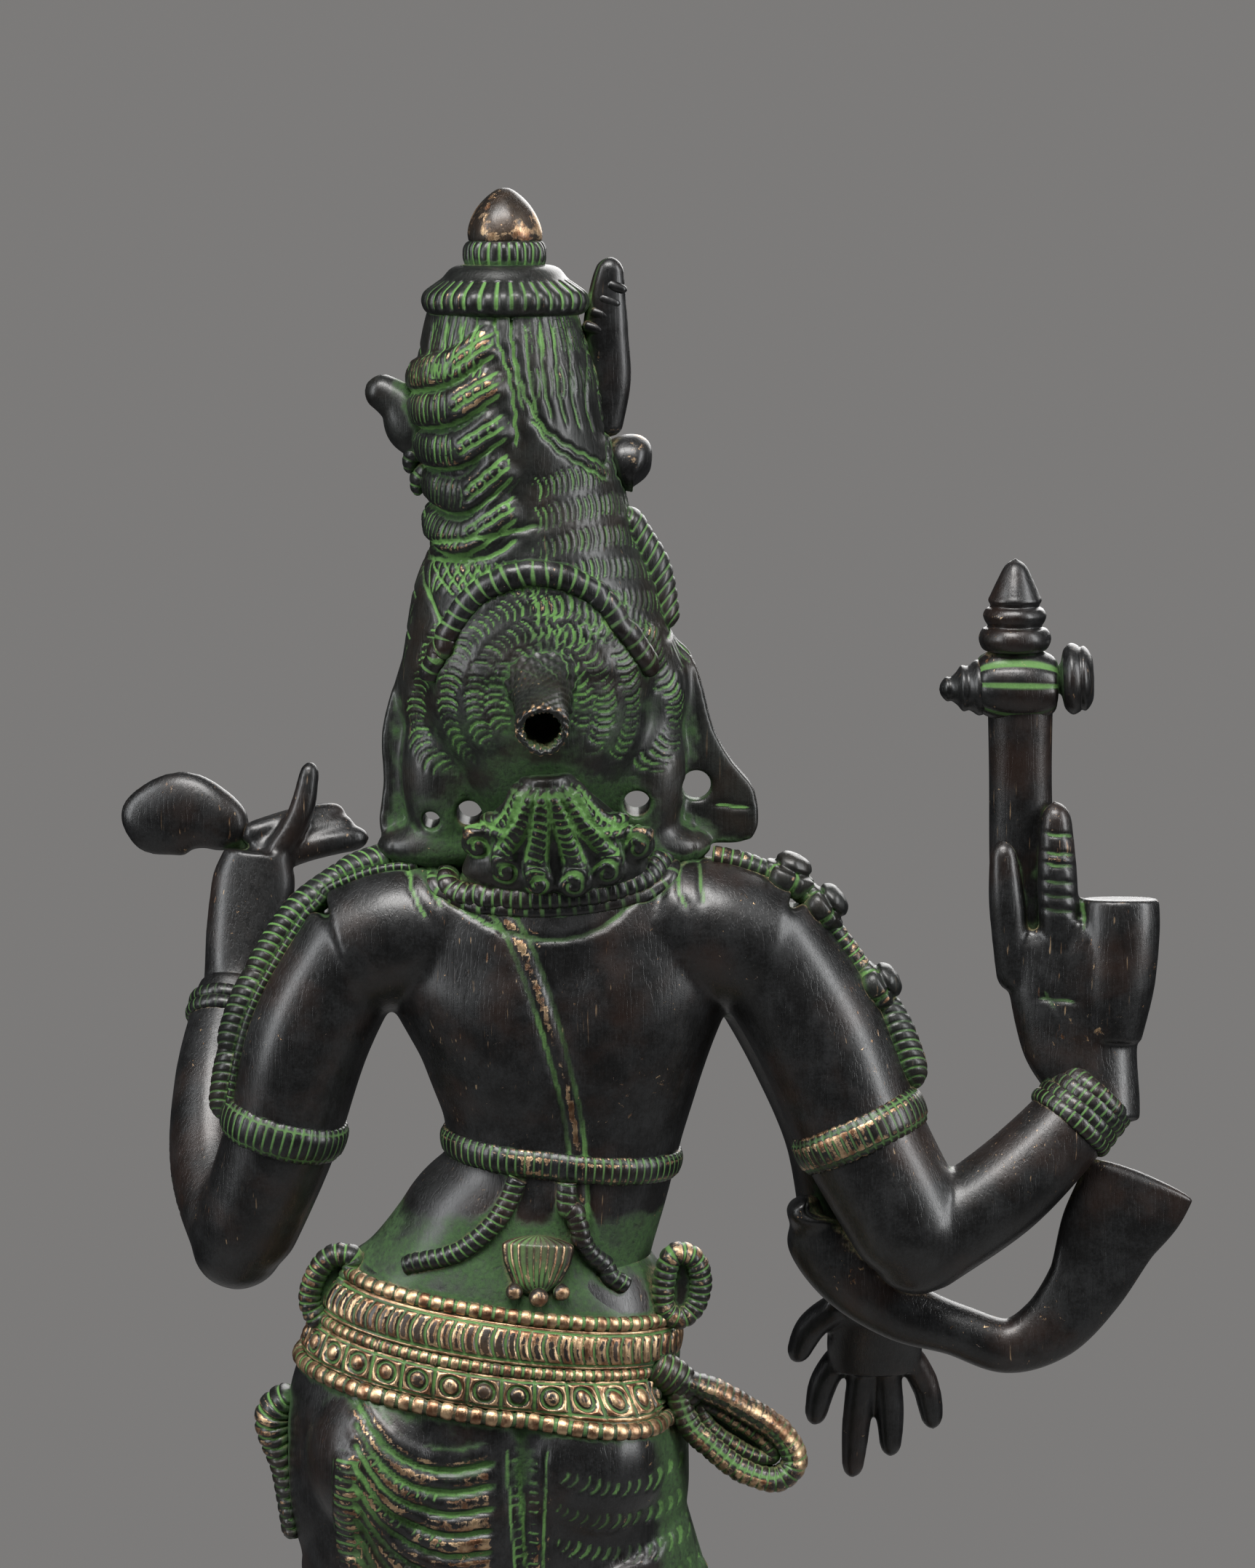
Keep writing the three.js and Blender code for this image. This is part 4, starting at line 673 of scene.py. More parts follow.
def makeHips():
    v = hipValues
    parts = [loft(hipBody, rows=60, columns=72), loft(skirtLeg), loft(bareLeg)]
    for out in (-1, 1):
        parts.append(egg(off(hips, out * 12.4 + 0.5, 7.6, -9), (13.2, 12.4, 14)))
    parts.append(loft([(off(bareLeg[3][0], 0, 3.4, 8), 4.4, 4.6), (off(bareLeg[3][0], 0, 3.6, 0), 5.4, 5.4),
                       (off(bareLeg[3][0], 0.4, 2.4, -12), 4, 4)]))  # calf
    parts.append(egg(off(bareLeg[2][0], 0, -3.6, 1), (5.6, 5.6, 5.2)))  # knee
    for foot, turn in ((leftFoot, 3), (rightFoot, -5)):
        parts += footParts(foot, turn)
    hem = off(leftFoot, 0, 0.8, 7)
    parts.append(loft([(off(hem, 0, 0, 8), 9.2, 9.8), (off(hem, 0, 0, 2), 11, 11.4),
        (off(hem, 0, 0, 0), 11.2, 11.6)]))
    short = section(bareLeg, 0.3)[0][0]
    parts.append(loft([(off(hips, -14.4, 0, -22), 13.6, 15.6), (off(short, -0.4, -0.4, 4), 13.4, 13.8),
                       (off(short, -0.6, -0.8, -4), 13.2, 13.4), (off(short, -0.6, -1, -5), 12.4, 12.6)]))
    skin = skinOf(parts, v["voxel"], v["rounds"])
    points, normals = skin["points"], skin["normals"]
    keep = points[:, 2] < sole
    skin["points"][keep, 2] = sole
    z = points[:, 2] - hips[2]

    # cleft and the fall of the cloth behind
    cleft = np.exp(-((points[:, 0] - 2.4) / 1.8) ** 2) * easeIn(-z, -4, 4) * easeIn(z, -30, -20)
    skin["lift"] -= 1.3 * cleft * np.clip(normals[:, 1], 0, 1)
    skin["flat"] = points[:, [0, 2]]
    skin["on"] = normals[:, 1] > 0.1
    base = hips[2] - 2
    for k in range(13):  # festoon folds on the left side of the back
        dip = 3.1 * k
        fold = [(25.8, base + 3 - dip * 0.86), (20.6, base - 3.4 - dip), (13.6, base - 6.6 - dip),
            (6, base - 5.4 - dip * 1.04)]
        cutLine(skin, fold, line=0.5, depth=v["foldDepth"] * (1.3 if k % 3 == 0 else 1))
        raiseRope(skin, [(x, z + 1.5) for x, z in fold], 1.3, 0.35)
    for k in range(4):  # short marks between the first folds
        dip = 3.1 * (2 * k + 1)
        fold = [(24, base - 0.6 - dip * 0.9), (19.6, base - 4.8 - dip), (13.6, base - 7.9 - dip)]
        cutStrokes(skin, fold, 0.9, pitch=1.2, bow=0.2, line=0.2, depth=0.2, seed=k)
    for low, high in (((4.6, -3), (1.8, -44)), ((2.6, -6), (0.6, -44)),
            ((-1, -3), (0.2, -44))):  # strip down the middle
        cutLine(skin, [(high[0] + (low[0] - high[0]) * s, base + low[1] + (high[1] - low[1]) * (1 - s))
            for s in (1, 0.6, 0.3, 0)],
                line=0.3, depth=0.42)
    cutStrokes(skin, [(3.5, base - 4), (2.2, base - 22), (1.2, base - 44)], 0.9, pitch=1.3, bow=0.0,
        line=0.24, depth=0.3)
    cutStrokes(skin, [(0.8, base - 4), (0.8, base - 22), (0.5, base - 44)], 0.8, pitch=1.5, bow=0.2,
        line=0.24, depth=0.3)
    for k in range(7):  # rows of short crescents on the right side
        row = [(-2.4, base - 6.8 - 5.4 * k), (-9, base - 9 - 5.4 * k), (-17, base - 9.4 - 5.4 * k),
            (-24, base - 7.6 - 5.2 * k)]
        cutStrokes(skin, row, 1.5, pitch=1.5, bow=0.7, lean=0.4, line=0.36, depth=0.42, seed=k + 20)
    for side, x in ((1, 26.4), (-1, -25.4)):  # ribbed side hems
        hem = [(x, base - 4), (x + 0.2 * side, base - 18), (x - 2.6 * side, base - 34)]
        raiseRope(skin, hem, 2, 0.9)
        cutStrokes(skin, hem, 2, pitch=1.3, bow=0.2, line=0.28, depth=0.35, seed=side)

    # the skirt's folds in front and round the leg, down to a hem with two cut lines
    share = np.clip((points[:, 2] - sole) / 100, 0, 1)
    axisX = np.interp(share, (0, 0.12, 0.55, 1), (14.4, 14.6, 16, 18))
    turn = np.arctan2(points[:, 0] - axisX, -(points[:, 1]))
    skirted = easeIn(points[:, 0] - (2.2 - 1.4 * (1 - share)), -0.4, 0.8) * easeIn(points[:, 2] - sole, 5.6,
        7)
    belowGirdle = easeIn(-z, 4, 10)
    pleat = points[:, 2] / 5.2 + 0.55 * np.cos(turn * 2)
    waveShape = np.exp(-((pleat - np.round(pleat)) * 5.2 / 0.5) ** 2)
    behind = easeIn(normals[:, 1], 0.0, 0.25) * easeIn(points[:, 2] - base, -50, -40)
    folds = skirted * belowGirdle * (1 - behind)
    skin["lift"] -= v["foldDepth"] * waveShape * folds
    skin["lift"] += 0.35 * folds * np.cos((pleat - 0.35) * 2 * np.pi) * 0.5
    skin["engraved"] = np.maximum(skin["engraved"], 0.8 * waveShape * folds)
    for level, depth in ((2.6, 0.4), (5.4, 0.4)):
        line = np.exp(-((points[:, 2] - hem0(level)) / 0.35) ** 2) * easeIn(points[:, 0], 2, 3)
        skin["lift"] -= depth * line
        skin["engraved"] = np.maximum(skin["engraved"], line)
    # short cloth: two hem lines
    cloth = easeIn(-points[:, 0], -1, 0)
    nearGirdle = easeIn(points[:, 2], base - 26, base - 8) * easeIn(points[:, 1], -6, 2)
    skin["bloom"] = 2.2 * easeIn(-points[:, 0], 10, 19) * easeIn(points[:, 2], sole + 50, sole + 90)
    skin["bloom"] = np.maximum(skin["bloom"], 1.3 * nearGirdle)
    hemZ = short[2] - 5
    for rise in (2, 4.4):
        line = np.exp(-((points[:, 2] - hemZ - rise) / 0.36) ** 2) * cloth
        skin["lift"] -= 0.4 * line
        skin["engraved"] = np.maximum(skin["engraved"], line)
    return skin


def hem0(level):
    return leftFoot[2] + 6.6 + level


hipSkin = makeHips()
hipTree = treeOf(hipSkin)
finishSkin("hips_and_legs", hipSkin, "dark_patina", ["hips", "left_leg_skirt", "right_leg",
    "right_short_cloth"])
print("stage: hips and legs,", len(hipSkin["points"]), "points")


# head and crown of matted hair, fused into one skin
crownValues = {"voxel": 0.36, "rounds": 7, "pitch": 1.08, "ropeHeight": 1.35, "unroll": 14.5}


def crownMiddle(z):
    levels = [260, *[s[0][2] for s in crownBody]]
    return (np.interp(z, levels, [-0.6, *[s[0][0] for s in crownBody]]),
            np.interp(z, levels, [1.5, *[s[0][1] for s in crownBody]]),
            np.interp(z, levels, [14, *[s[1] for s in crownBody]]))


def unrolled(x, z, forward=1):  # a place seen square-on becomes a place on the unrolled skin
    x0, _, radius = crownMiddle(z)
    return crownValues["unroll"] * np.arcsin(np.clip((x - x0) / radius, -1, 1)) * forward, z


def onCrown(points, forward=1):
    return [unrolled(x, z, forward) for x, z in points]


def makeFace():
    f = off(head, 0, 0, 0)
    parts = [
        egg(off(f, 0, -4.6, -3.4), (11.2, 10, 12.6)),
        loft([(off(f, 0, -12.6, 6), 1.4, 1.4), (off(f, 0, -13.8, 3), 1.05, 1.2),
            (off(f, 0, -15, -0.6), 1.25, 1.4),
              (off(f, 0, -16, -3), 1.9, 1.6), (off(f, 0, -15.4, -4.3), 1.5, 1.2)], rows=20, columns=20),
        egg(off(f, 0, -11.6, -12), (3.8, 3.2, 2.9)),
        egg(off(f, 0, -13.9, -7.6), (3.1, 1.3, 0.85)),
        egg(off(f, 0, -13.7, -9.1), (2.5, 1.4, 0.95)),
    ]
    for out in (-1, 1):
        parts.append(egg(off(f, out * 5.4, -9.6, -5), (4.4, 3.6, 4.6)))
        parts.append(egg(off(f, out * 4.9, -11.5, 0.5), (3, 2.3, 1.7), turn=-out * 0.35))
        parts.append(egg(off(f, out * 1.7, -14.5, -4), (1.1, 1.3, 1)))
    return parts


def makeHead():
    v = crownValues
    parts = [loft(crownBody, rows=72, columns=72), loft(headBody, rows=48, columns=56)]
    parts.append(loft([(off(shoulders, 0.8, 0.6, 5), 8.8), (off(shoulders, 1.4, 0, 17), 8.2),
                       (off(head, 0, 0.6, -7), 8.8)]))
    parts.append(loft([(off(crownFoot, 0, 2.4, 6), 17.8, 13.8), (off(crownFoot, 0, 2.6, -3), 17.2, 14),
                       (off(head, 0, 3, -2), 15.2, 13), (off(head, 0, 2.6, -8), 12.4, 10.8),
                           (off(head, 0, 2, -13), 9.6, 7.6)]))
    parts += makeFace()
    parts += cadCopy("left_ear_wing", "right_ear_wing")
    for out in (-1, 1):  # the web that ties each pierced ear to the head and the shoulder
        parts.append(egg(off(head, out * 13.4, 3, -7), (6.4, 5.6, 13.4)))
        parts.append(egg(off(head, out * 14.6, 2.6, 4), (5.2, 5, 9)))
        parts.append(egg(off(head, out * 14, 2, -17.6), (9.4, 5.6, 3.4)))
    holes = [(head[0] + x, head[2] + z, r) for x, z, r in ((15.5, -13.4, 1.3), (10.3, -12.4, 1.8),
        (-12.9, -11, 1.9), (-21.2, -9.4, 2.1))]
    skin = skinOf(parts, v["voxel"], v["rounds"], holes)
    points = skin["points"]
    webbed = (points[:, 2] < 289) & (points[:, 1] > -2.5) & (np.abs(np.abs(points[:, 0] - head[0])
        - 15) < 6)
    for x, z, _ in holes:
        webbed &= np.hypot(points[:, 0] - x, points[:, 2] - z) > 3
    soft = relax(points, edgesOf(skin["faces"]), 26, 0.6)
    skin["points"] = np.where(webbed[:, None], soft, points)
    skin["points"] = relax(skin["points"], edgesOf(skin["faces"]), 2, 0.5)
    skin["normals"] = normalsOf(skin["points"], skin["faces"])
    points, normals = skin["points"], skin["normals"]
    x0, y0, _ = crownMiddle(points[:, 2])
    theta = np.arctan2(points[:, 0] - x0, points[:, 1] - y0)
    top = crownTop[2]
    skin["flat"] = np.stack([theta * v["unroll"], points[:, 2]], axis=1)
    skin["on"] = (np.abs(theta) < 2.6) & (np.hypot(points[:, 0] - x0, points[:, 1] - y0) < 21)
    skin["bloom"] = easeIn(26 - np.abs(points[:, 0] - head[0]), 0, 12) * easeIn(292 - points[:, 2], 0,
        14) * easeIn(points[:, 1], -6, 3)
    pitch = v["pitch"]

    # the parting: a pair of grooves from the collar that turns off to the right
    partings = [
        [(5.8, top), (5.4, 331), (3.4, 324), (2.6, 315.4)],
        [(3.5, top), (3.3, 330), (1, 321.4), (-1.8, 317.4), (-9.4, 312.6)],
        [(1.2, 320), (-2.6, 315.4), (-9.8, 310.6)],
        [(-6, top), (-10, 330), (-9.6, 322), (-9.2, 312)],
    ]
    for path in partings:
        cutLine(skin, onCrown(path), line=0.36, depth=0.5, jitter=0.3)
    # stacked hair ropes at the left, each ribbed at its outer end and grooved along its inner end
    ropes = [((17.4, 324.6), (11, 326.6), (5.4, 330.6)), ((17.4, 320), (11, 321.2), (4.6, 325.4)),
             ((17, 315), (10, 315.4), (4, 319.6)), ((16, 310.4), (9.4, 309), (3.4, 314.4)),
             ((17, 305), (10, 303.2), (2.6, 308.6))]
    for k, rope in enumerate(ropes):
        path = onCrown(rope)
        raiseRope(skin, [(16.5 * 1.62, path[0][1] - 1), *path], 2.5, v["ropeHeight"])
        cutStrokes(skin, [(26, path[0][1] - 1), *path[:2]], 2.3, pitch=pitch, bow=0.4, lean=0.35,
            depth=0.45, seed=k)
        low = [(s, z - 2.2) for s, z in path]
        cutLine(skin, low, line=0.36, depth=0.6)
        for lift in (-0.7, 0.8):
            cutLine(skin, [(s, z + lift) for s, z in path[1:]], line=0.3, depth=0.32)
        cutStrokes(skin, [(s, z + 0.2) for s, z in path[1:]], 0.8, pitch=1.5, bow=0.2, depth=0.25,
            seed=k + 9)
    # fine upright hair under the collar
    for k, (start, finish, z, width) in enumerate(((14, 7.4, 331.4, 3.4), (13.4, 6.6, 325.8, 1.6),
            (1.6, -9, 330.6, 3.2),
                                                   (0.6, -8.4, 324.4, 2.4), (-11, -17, 328, 3),
                                                       (-11, -17, 321, 3))):
        cutStrokes(skin, onCrown([(start, z), (finish, z + 0.6)]), width, pitch=pitch, bow=0.5, lean=0.3,
                   depth=0.34, seed=k + 30)
    for k in range(7):  # hair drawn down towards the parting
        x = 3.4 - 1.9 * k
        cutLine(skin, onCrown([(x, 333.4 - 0.3 * k), (x - 0.4, 327 - k), (x - 1.6, 320.4 - 0.7 * k)]),
            line=0.3, depth=0.36)
    for k in range(4):
        x = 14 - 2.1 * k
        cutLine(skin, onCrown([(x, 333), (x + 0.6, 329), (x + 1.2, 326.6)]), line=0.3, depth=0.34)
    # rows of wavy cuts down the right
    for k in range(6):
        z = 311.4 - 4.2 * k
        row = onCrown([(0.4 + k * 0.1, z - 1.4), (-5, z), (-11, z + 0.4), (-17, z - 1)])
        cutStrokes(skin, row, 1.9, pitch=pitch, bow=0.75, lean=0.45, depth=0.36, seed=k + 40)
    # cross-hatched triangle at the left, with its border
    for path in ([(17.6, 301.6), (8, 303.4), (-0.6, 305.4)], [(17.6, 300), (7, 300.9), (2.4, 303.6)],
                 [(16.6, 300), (14.6, 293), (14, 286)]):
        cutLine(skin, onCrown(path), line=0.38, depth=0.45)
    for k in range(9):
        x = 15.4 - 1.5 * k
        cutLine(skin, onCrown([(x, 300.4 + 0.05 * k), (x - 3.6, 295.2)]), line=0.26, depth=0.34)
        cutLine(skin, onCrown([(x, 300.4), (min(x + 2.6, 15.4), 294.6 + 0.4 * k)]), line=0.26, depth=0.34)
    # crescents that run round the peg, in rings under the arch
    pegX, pegZ = -0.4, 281.4
    for k, radius in enumerate((16.8, 13.2, 9.8, 6.6)):
        span = np.linspace(math.radians(-38), math.radians(218), 30)
        ring = [(pegX + radius * math.cos(a) * (1.04 if k < 2 else 1), pegZ + radius * math.sin(a))
            for a in span]
        ring = [(s, z) for (x, z) in ring for s in [unrolled(x, max(z, 262.1))[0]]]
        cutStrokes(skin, ring, 1.75, pitch=pitch, bow=0.95, lean=-0.4 + 0.1 * k, depth=0.36, seed=k + 50,
            pieces=60)
    # rows on both flanks
    for side in (-1, 1):
        for k in range(8):
            z = 286 + 5.6 * k
            row = [(side * 19.5, z), (side * 25, z + 1.2), (side * 32, z + 0.4)]
            cutStrokes(skin, row, 2.4, pitch=1.15, bow=0.8 * side, depth=0.34, seed=k + 70)
            cutLine(skin, [(side * 18.6, z + 2.8), (side * 25, z + 4), (side * 33, z + 3.2)], line=0.32,
                depth=0.34)

    # front: locks drawn up to the collar on both sides of a broad band
    front = np.arctan2(points[:, 0] - x0, y0 - points[:, 1])
    skin["flat"] = np.stack([front * v["unroll"], points[:, 2]], axis=1)
    skin["on"] = (np.abs(front) < 1.35) & (points[:, 2] > 286)
    for side in (-1, 1):
        for k in range(5):
            start = 4.6 + 3 * k
            lock = [(side * start, 295 + k * 1.4), (side * (start - 1.4 + k * 0.4), 308),
                (side * (start - 2 + k * 0.3), 321),
                    (side * (2.6 + 2.2 * k), 334)]
            raiseRope(skin, lock, 1.5, 0.6)
            cutStrokes(skin, lock, 1.3, pitch=1.2, bow=0.5 * side, depth=0.32, seed=k + 90)
            cutLine(skin, [(s + side * 1.5, z) for s, z in lock], line=0.3, depth=0.4)
    for z in (288.6, 293.4):
        cutLine(skin, [(-19, z + 1), (0, z), (19, z + 1)], line=0.36, depth=0.45)
    cutStrokes(skin, [(-19, 291.4), (0, 291), (19, 291.4)], 1.6, pitch=1.8, bow=0.0, depth=0.3, seed=8)
    for k, (z, size) in enumerate(((300, 3.4), (308, 2.8), (315, 2.3))):
        away = np.hypot(skin["flat"][:, 0], (skin["flat"][:, 1] - z) * 0.8)
        skin["lift"] += 1.1 * skin["on"] * np.clip(1 - (away / size) ** 4, 0, 1)
        ring = np.exp(-((away - size - 0.2) / 0.36) ** 2) * skin["on"]
        skin["lift"] -= 0.4 * ring
        skin["engraved"] = np.maximum(skin["engraved"], ring)

    # the cut on the right ear, and the ears' own folds in front
    skin["flat"] = points[:, [0, 2]]
    skin["on"] = (normals[:, 1] > 0.3) & (points[:, 0] < head[0] - 20)
    cutLine(skin, [(head[0] - 29, head[2] - 12.6), (head[0] - 23.4, head[2] - 12)], line=0.3, depth=0.4)
    skin["on"] = (normals[:, 1] < -0.3) & (np.abs(points[:, 0] - head[0]) > 13.6)
    for out in (-1, 1):
        for scale in (1, 0.72, 0.45):
            ear = [(head[0] + out * (16 + 3.4 * scale * math.cos(a)),
                head[2] + 0.4 + 7 * scale * math.sin(a))
                   for a in np.linspace(-1.9, 2.6, 16)]
            cutLine(skin, ear, line=0.4, depth=0.5)

    # the face: lids, brows and lips are drawn with the same fine chisel
    skin["flat"] = points[:, [0, 2]]
    skin["on"] = (normals[:, 1] < 0) & (points[:, 2] < 288) & (points[:, 1] < -4)
    x, z = head[0], head[2]
    for out in (-1, 1):
        cutLine(skin, [(x + out * 2.1, z + 0.2), (x + out * 4.8, z + 1.9), (x + out * 7.8, z + 0.8)],
            line=0.24, depth=0.3)
        cutLine(skin, [(x + out * 2.1, z + 0.1), (x + out * 4.8, z - 0.9), (x + out * 7.6, z + 0.5)],
            line=0.22, depth=0.26)
        brow = [(x + out * 1.5, z + 3.2), (x + out * 4.6, z + 4.8), (x + out * 8.8, z + 2.8)]
        raiseRope(skin, brow, 0.7, 0.3)
        cutLine(skin, [(a, b + 0.8) for a, b in brow], line=0.24, depth=0.2)
    cutLine(skin, [(x - 2.7, z - 8.1), (x, z - 8.4), (x + 2.7, z - 8.1)], line=0.22, depth=0.3)
    swell(skin, off(head, 0, -14.4, 6), (0.8, 1.5, 1.3), 0.5)
    return skin


headSkin = makeHead()
headTree = treeOf(headSkin)
finishSkin("head_and_crown", headSkin, "verdigris_relief", ["head", "crown", "left_ear_wing",
    "right_ear_wing"])
print("stage: head and crown,", len(headSkin["points"]), "points")


# ways to make the ornaments
def ribbedLoft(stations, side=(1, 0, 0), pitch=0.0, rib=0.12, lean=0.0, lines=(), lineDepth=0.12, rows=90,
        columns=40,
               round=0.0, line=0.16):
    shares = np.linspace(0, 1, rows)
    centre, along, across, deep, size = section(stations, shares, side)
    turn = np.linspace(0, 2 * np.pi, columns, endpoint=False)
    steps = np.linalg.norm(np.diff(centre, axis=0), axis=1)
    u = np.concatenate([[0], np.cumsum(steps)])
    marks = np.zeros((rows, columns))
    scale = np.ones((rows, columns))
    if pitch:
        wave = u[:, None] / pitch + lean * np.abs(np.cos(turn))[None]
        groove = np.exp(-((wave - np.round(wave)) / 0.15) ** 2)
        scale -= rib * groove
        marks = groove
    for angle in lines:
        away = np.angle(np.exp(1j * (turn - angle)))
        cut = np.exp(-(away / line) ** 2)[None]
        scale = scale * (1 - lineDepth * cut)
        marks = np.maximum(marks, cut * np.ones((rows, 1)))
    if round:  # rounded ends
        reach = np.minimum(u, u[-1] - u)[:, None]
        scale = scale * np.sqrt(np.clip(1 - (1 - np.clip(reach / round, 0, 1)) ** 2, 0.02, 1))
    ring = (across[:, None] * (np.cos(turn)[None] * size[:, :1] * scale)[:, :, None] +
            deep[:, None] * (np.sin(turn)[None] * size[:, 1:2] * scale)[:, :, None])
    points, faces = capped((centre[:, None] + ring).reshape(-1, 3), rows, columns)
    return points, faces, np.concatenate([marks.ravel(), [0.3, 0.3]])


def turnedSkin(profile, centre, axis=(0, 0, 1), ribs=0, ribDepth=0.0, ribSpan=(0, 1), columns=96,
        depthShare=1.0,
               rows=60, wobble=0.0):
    profile = throughPoints([(r, h, 0) for r, h in profile], np.linspace(0, 1, rows))
    turn = np.linspace(0, 2 * np.pi, columns, endpoint=False)
    share = np.linspace(0, 1, rows)
    window = easeIn(share, ribSpan[0], ribSpan[0] + 0.08) * easeIn(ribSpan[1] - share, 0, 0.08)
    wave = turn * ribs / (2 * np.pi) + 0.12 * np.sin(turn * 5)
    groove = np.exp(-((wave - np.round(wave)) / 0.16) ** 2)[None] * window[:,
        None] if ribs else np.zeros((rows, columns))
    radius = np.maximum(profile[:, :1], 0.01) - ribDepth * groove
    radius = radius * (1 + wobble * np.sin(turn * 3 + 0.7)[None] + wobble * 0.6
        * np.sin(turn * 7 + share[:, None] * 9))
    z = unit(np.array(axis, float))
    x = unit(np.cross(z, (0.0, 1.0, 0.0)) if abs(z[1]) < 0.9 else np.cross(z, (1.0, 0.0, 0.0)))
    y = np.cross(z, x)
    grid = (np.array(centre)[None, None] + x * (radius * np.cos(turn)[None])[:, :, None] +
            y * (radius * np.sin(turn)[None])[:, :, None] * depthShare + z * profile[:, 1][:, None, None])
    points, faces = capped(grid.reshape(-1, 3), rows, columns)
    return points, faces, np.concatenate([groove.ravel(), [0, 0]])


def softened(names, voxel=0.4, rounds=8, swellBy=0.0):  # a frame shape with its edges rubbed round
    skin = skinOf(cadCopy(*names), voxel, rounds)
    skin["lift"] += swellBy
    return skin


def addJoined(name, parts, slot, replaced=()):
    points, faces, marks = joined(parts)
    return addPiece(name, points, faces, slot, replaced, engraved=marks)


def ringOn(stations, share, side=(1, 0, 0), lift=1.0, tilt=(0, 0, 0), count=24):
    points = [onSkin(stations, share, a, lift, side) for a in np.linspace(0, 2 * np.pi, count,
        endpoint=False)]
    return [off(p, *tilt) for p in points]


# crown fittings
crownFittings = {"collarRibs": 34, "ringRibs": 26, "budWidth": 5.1}


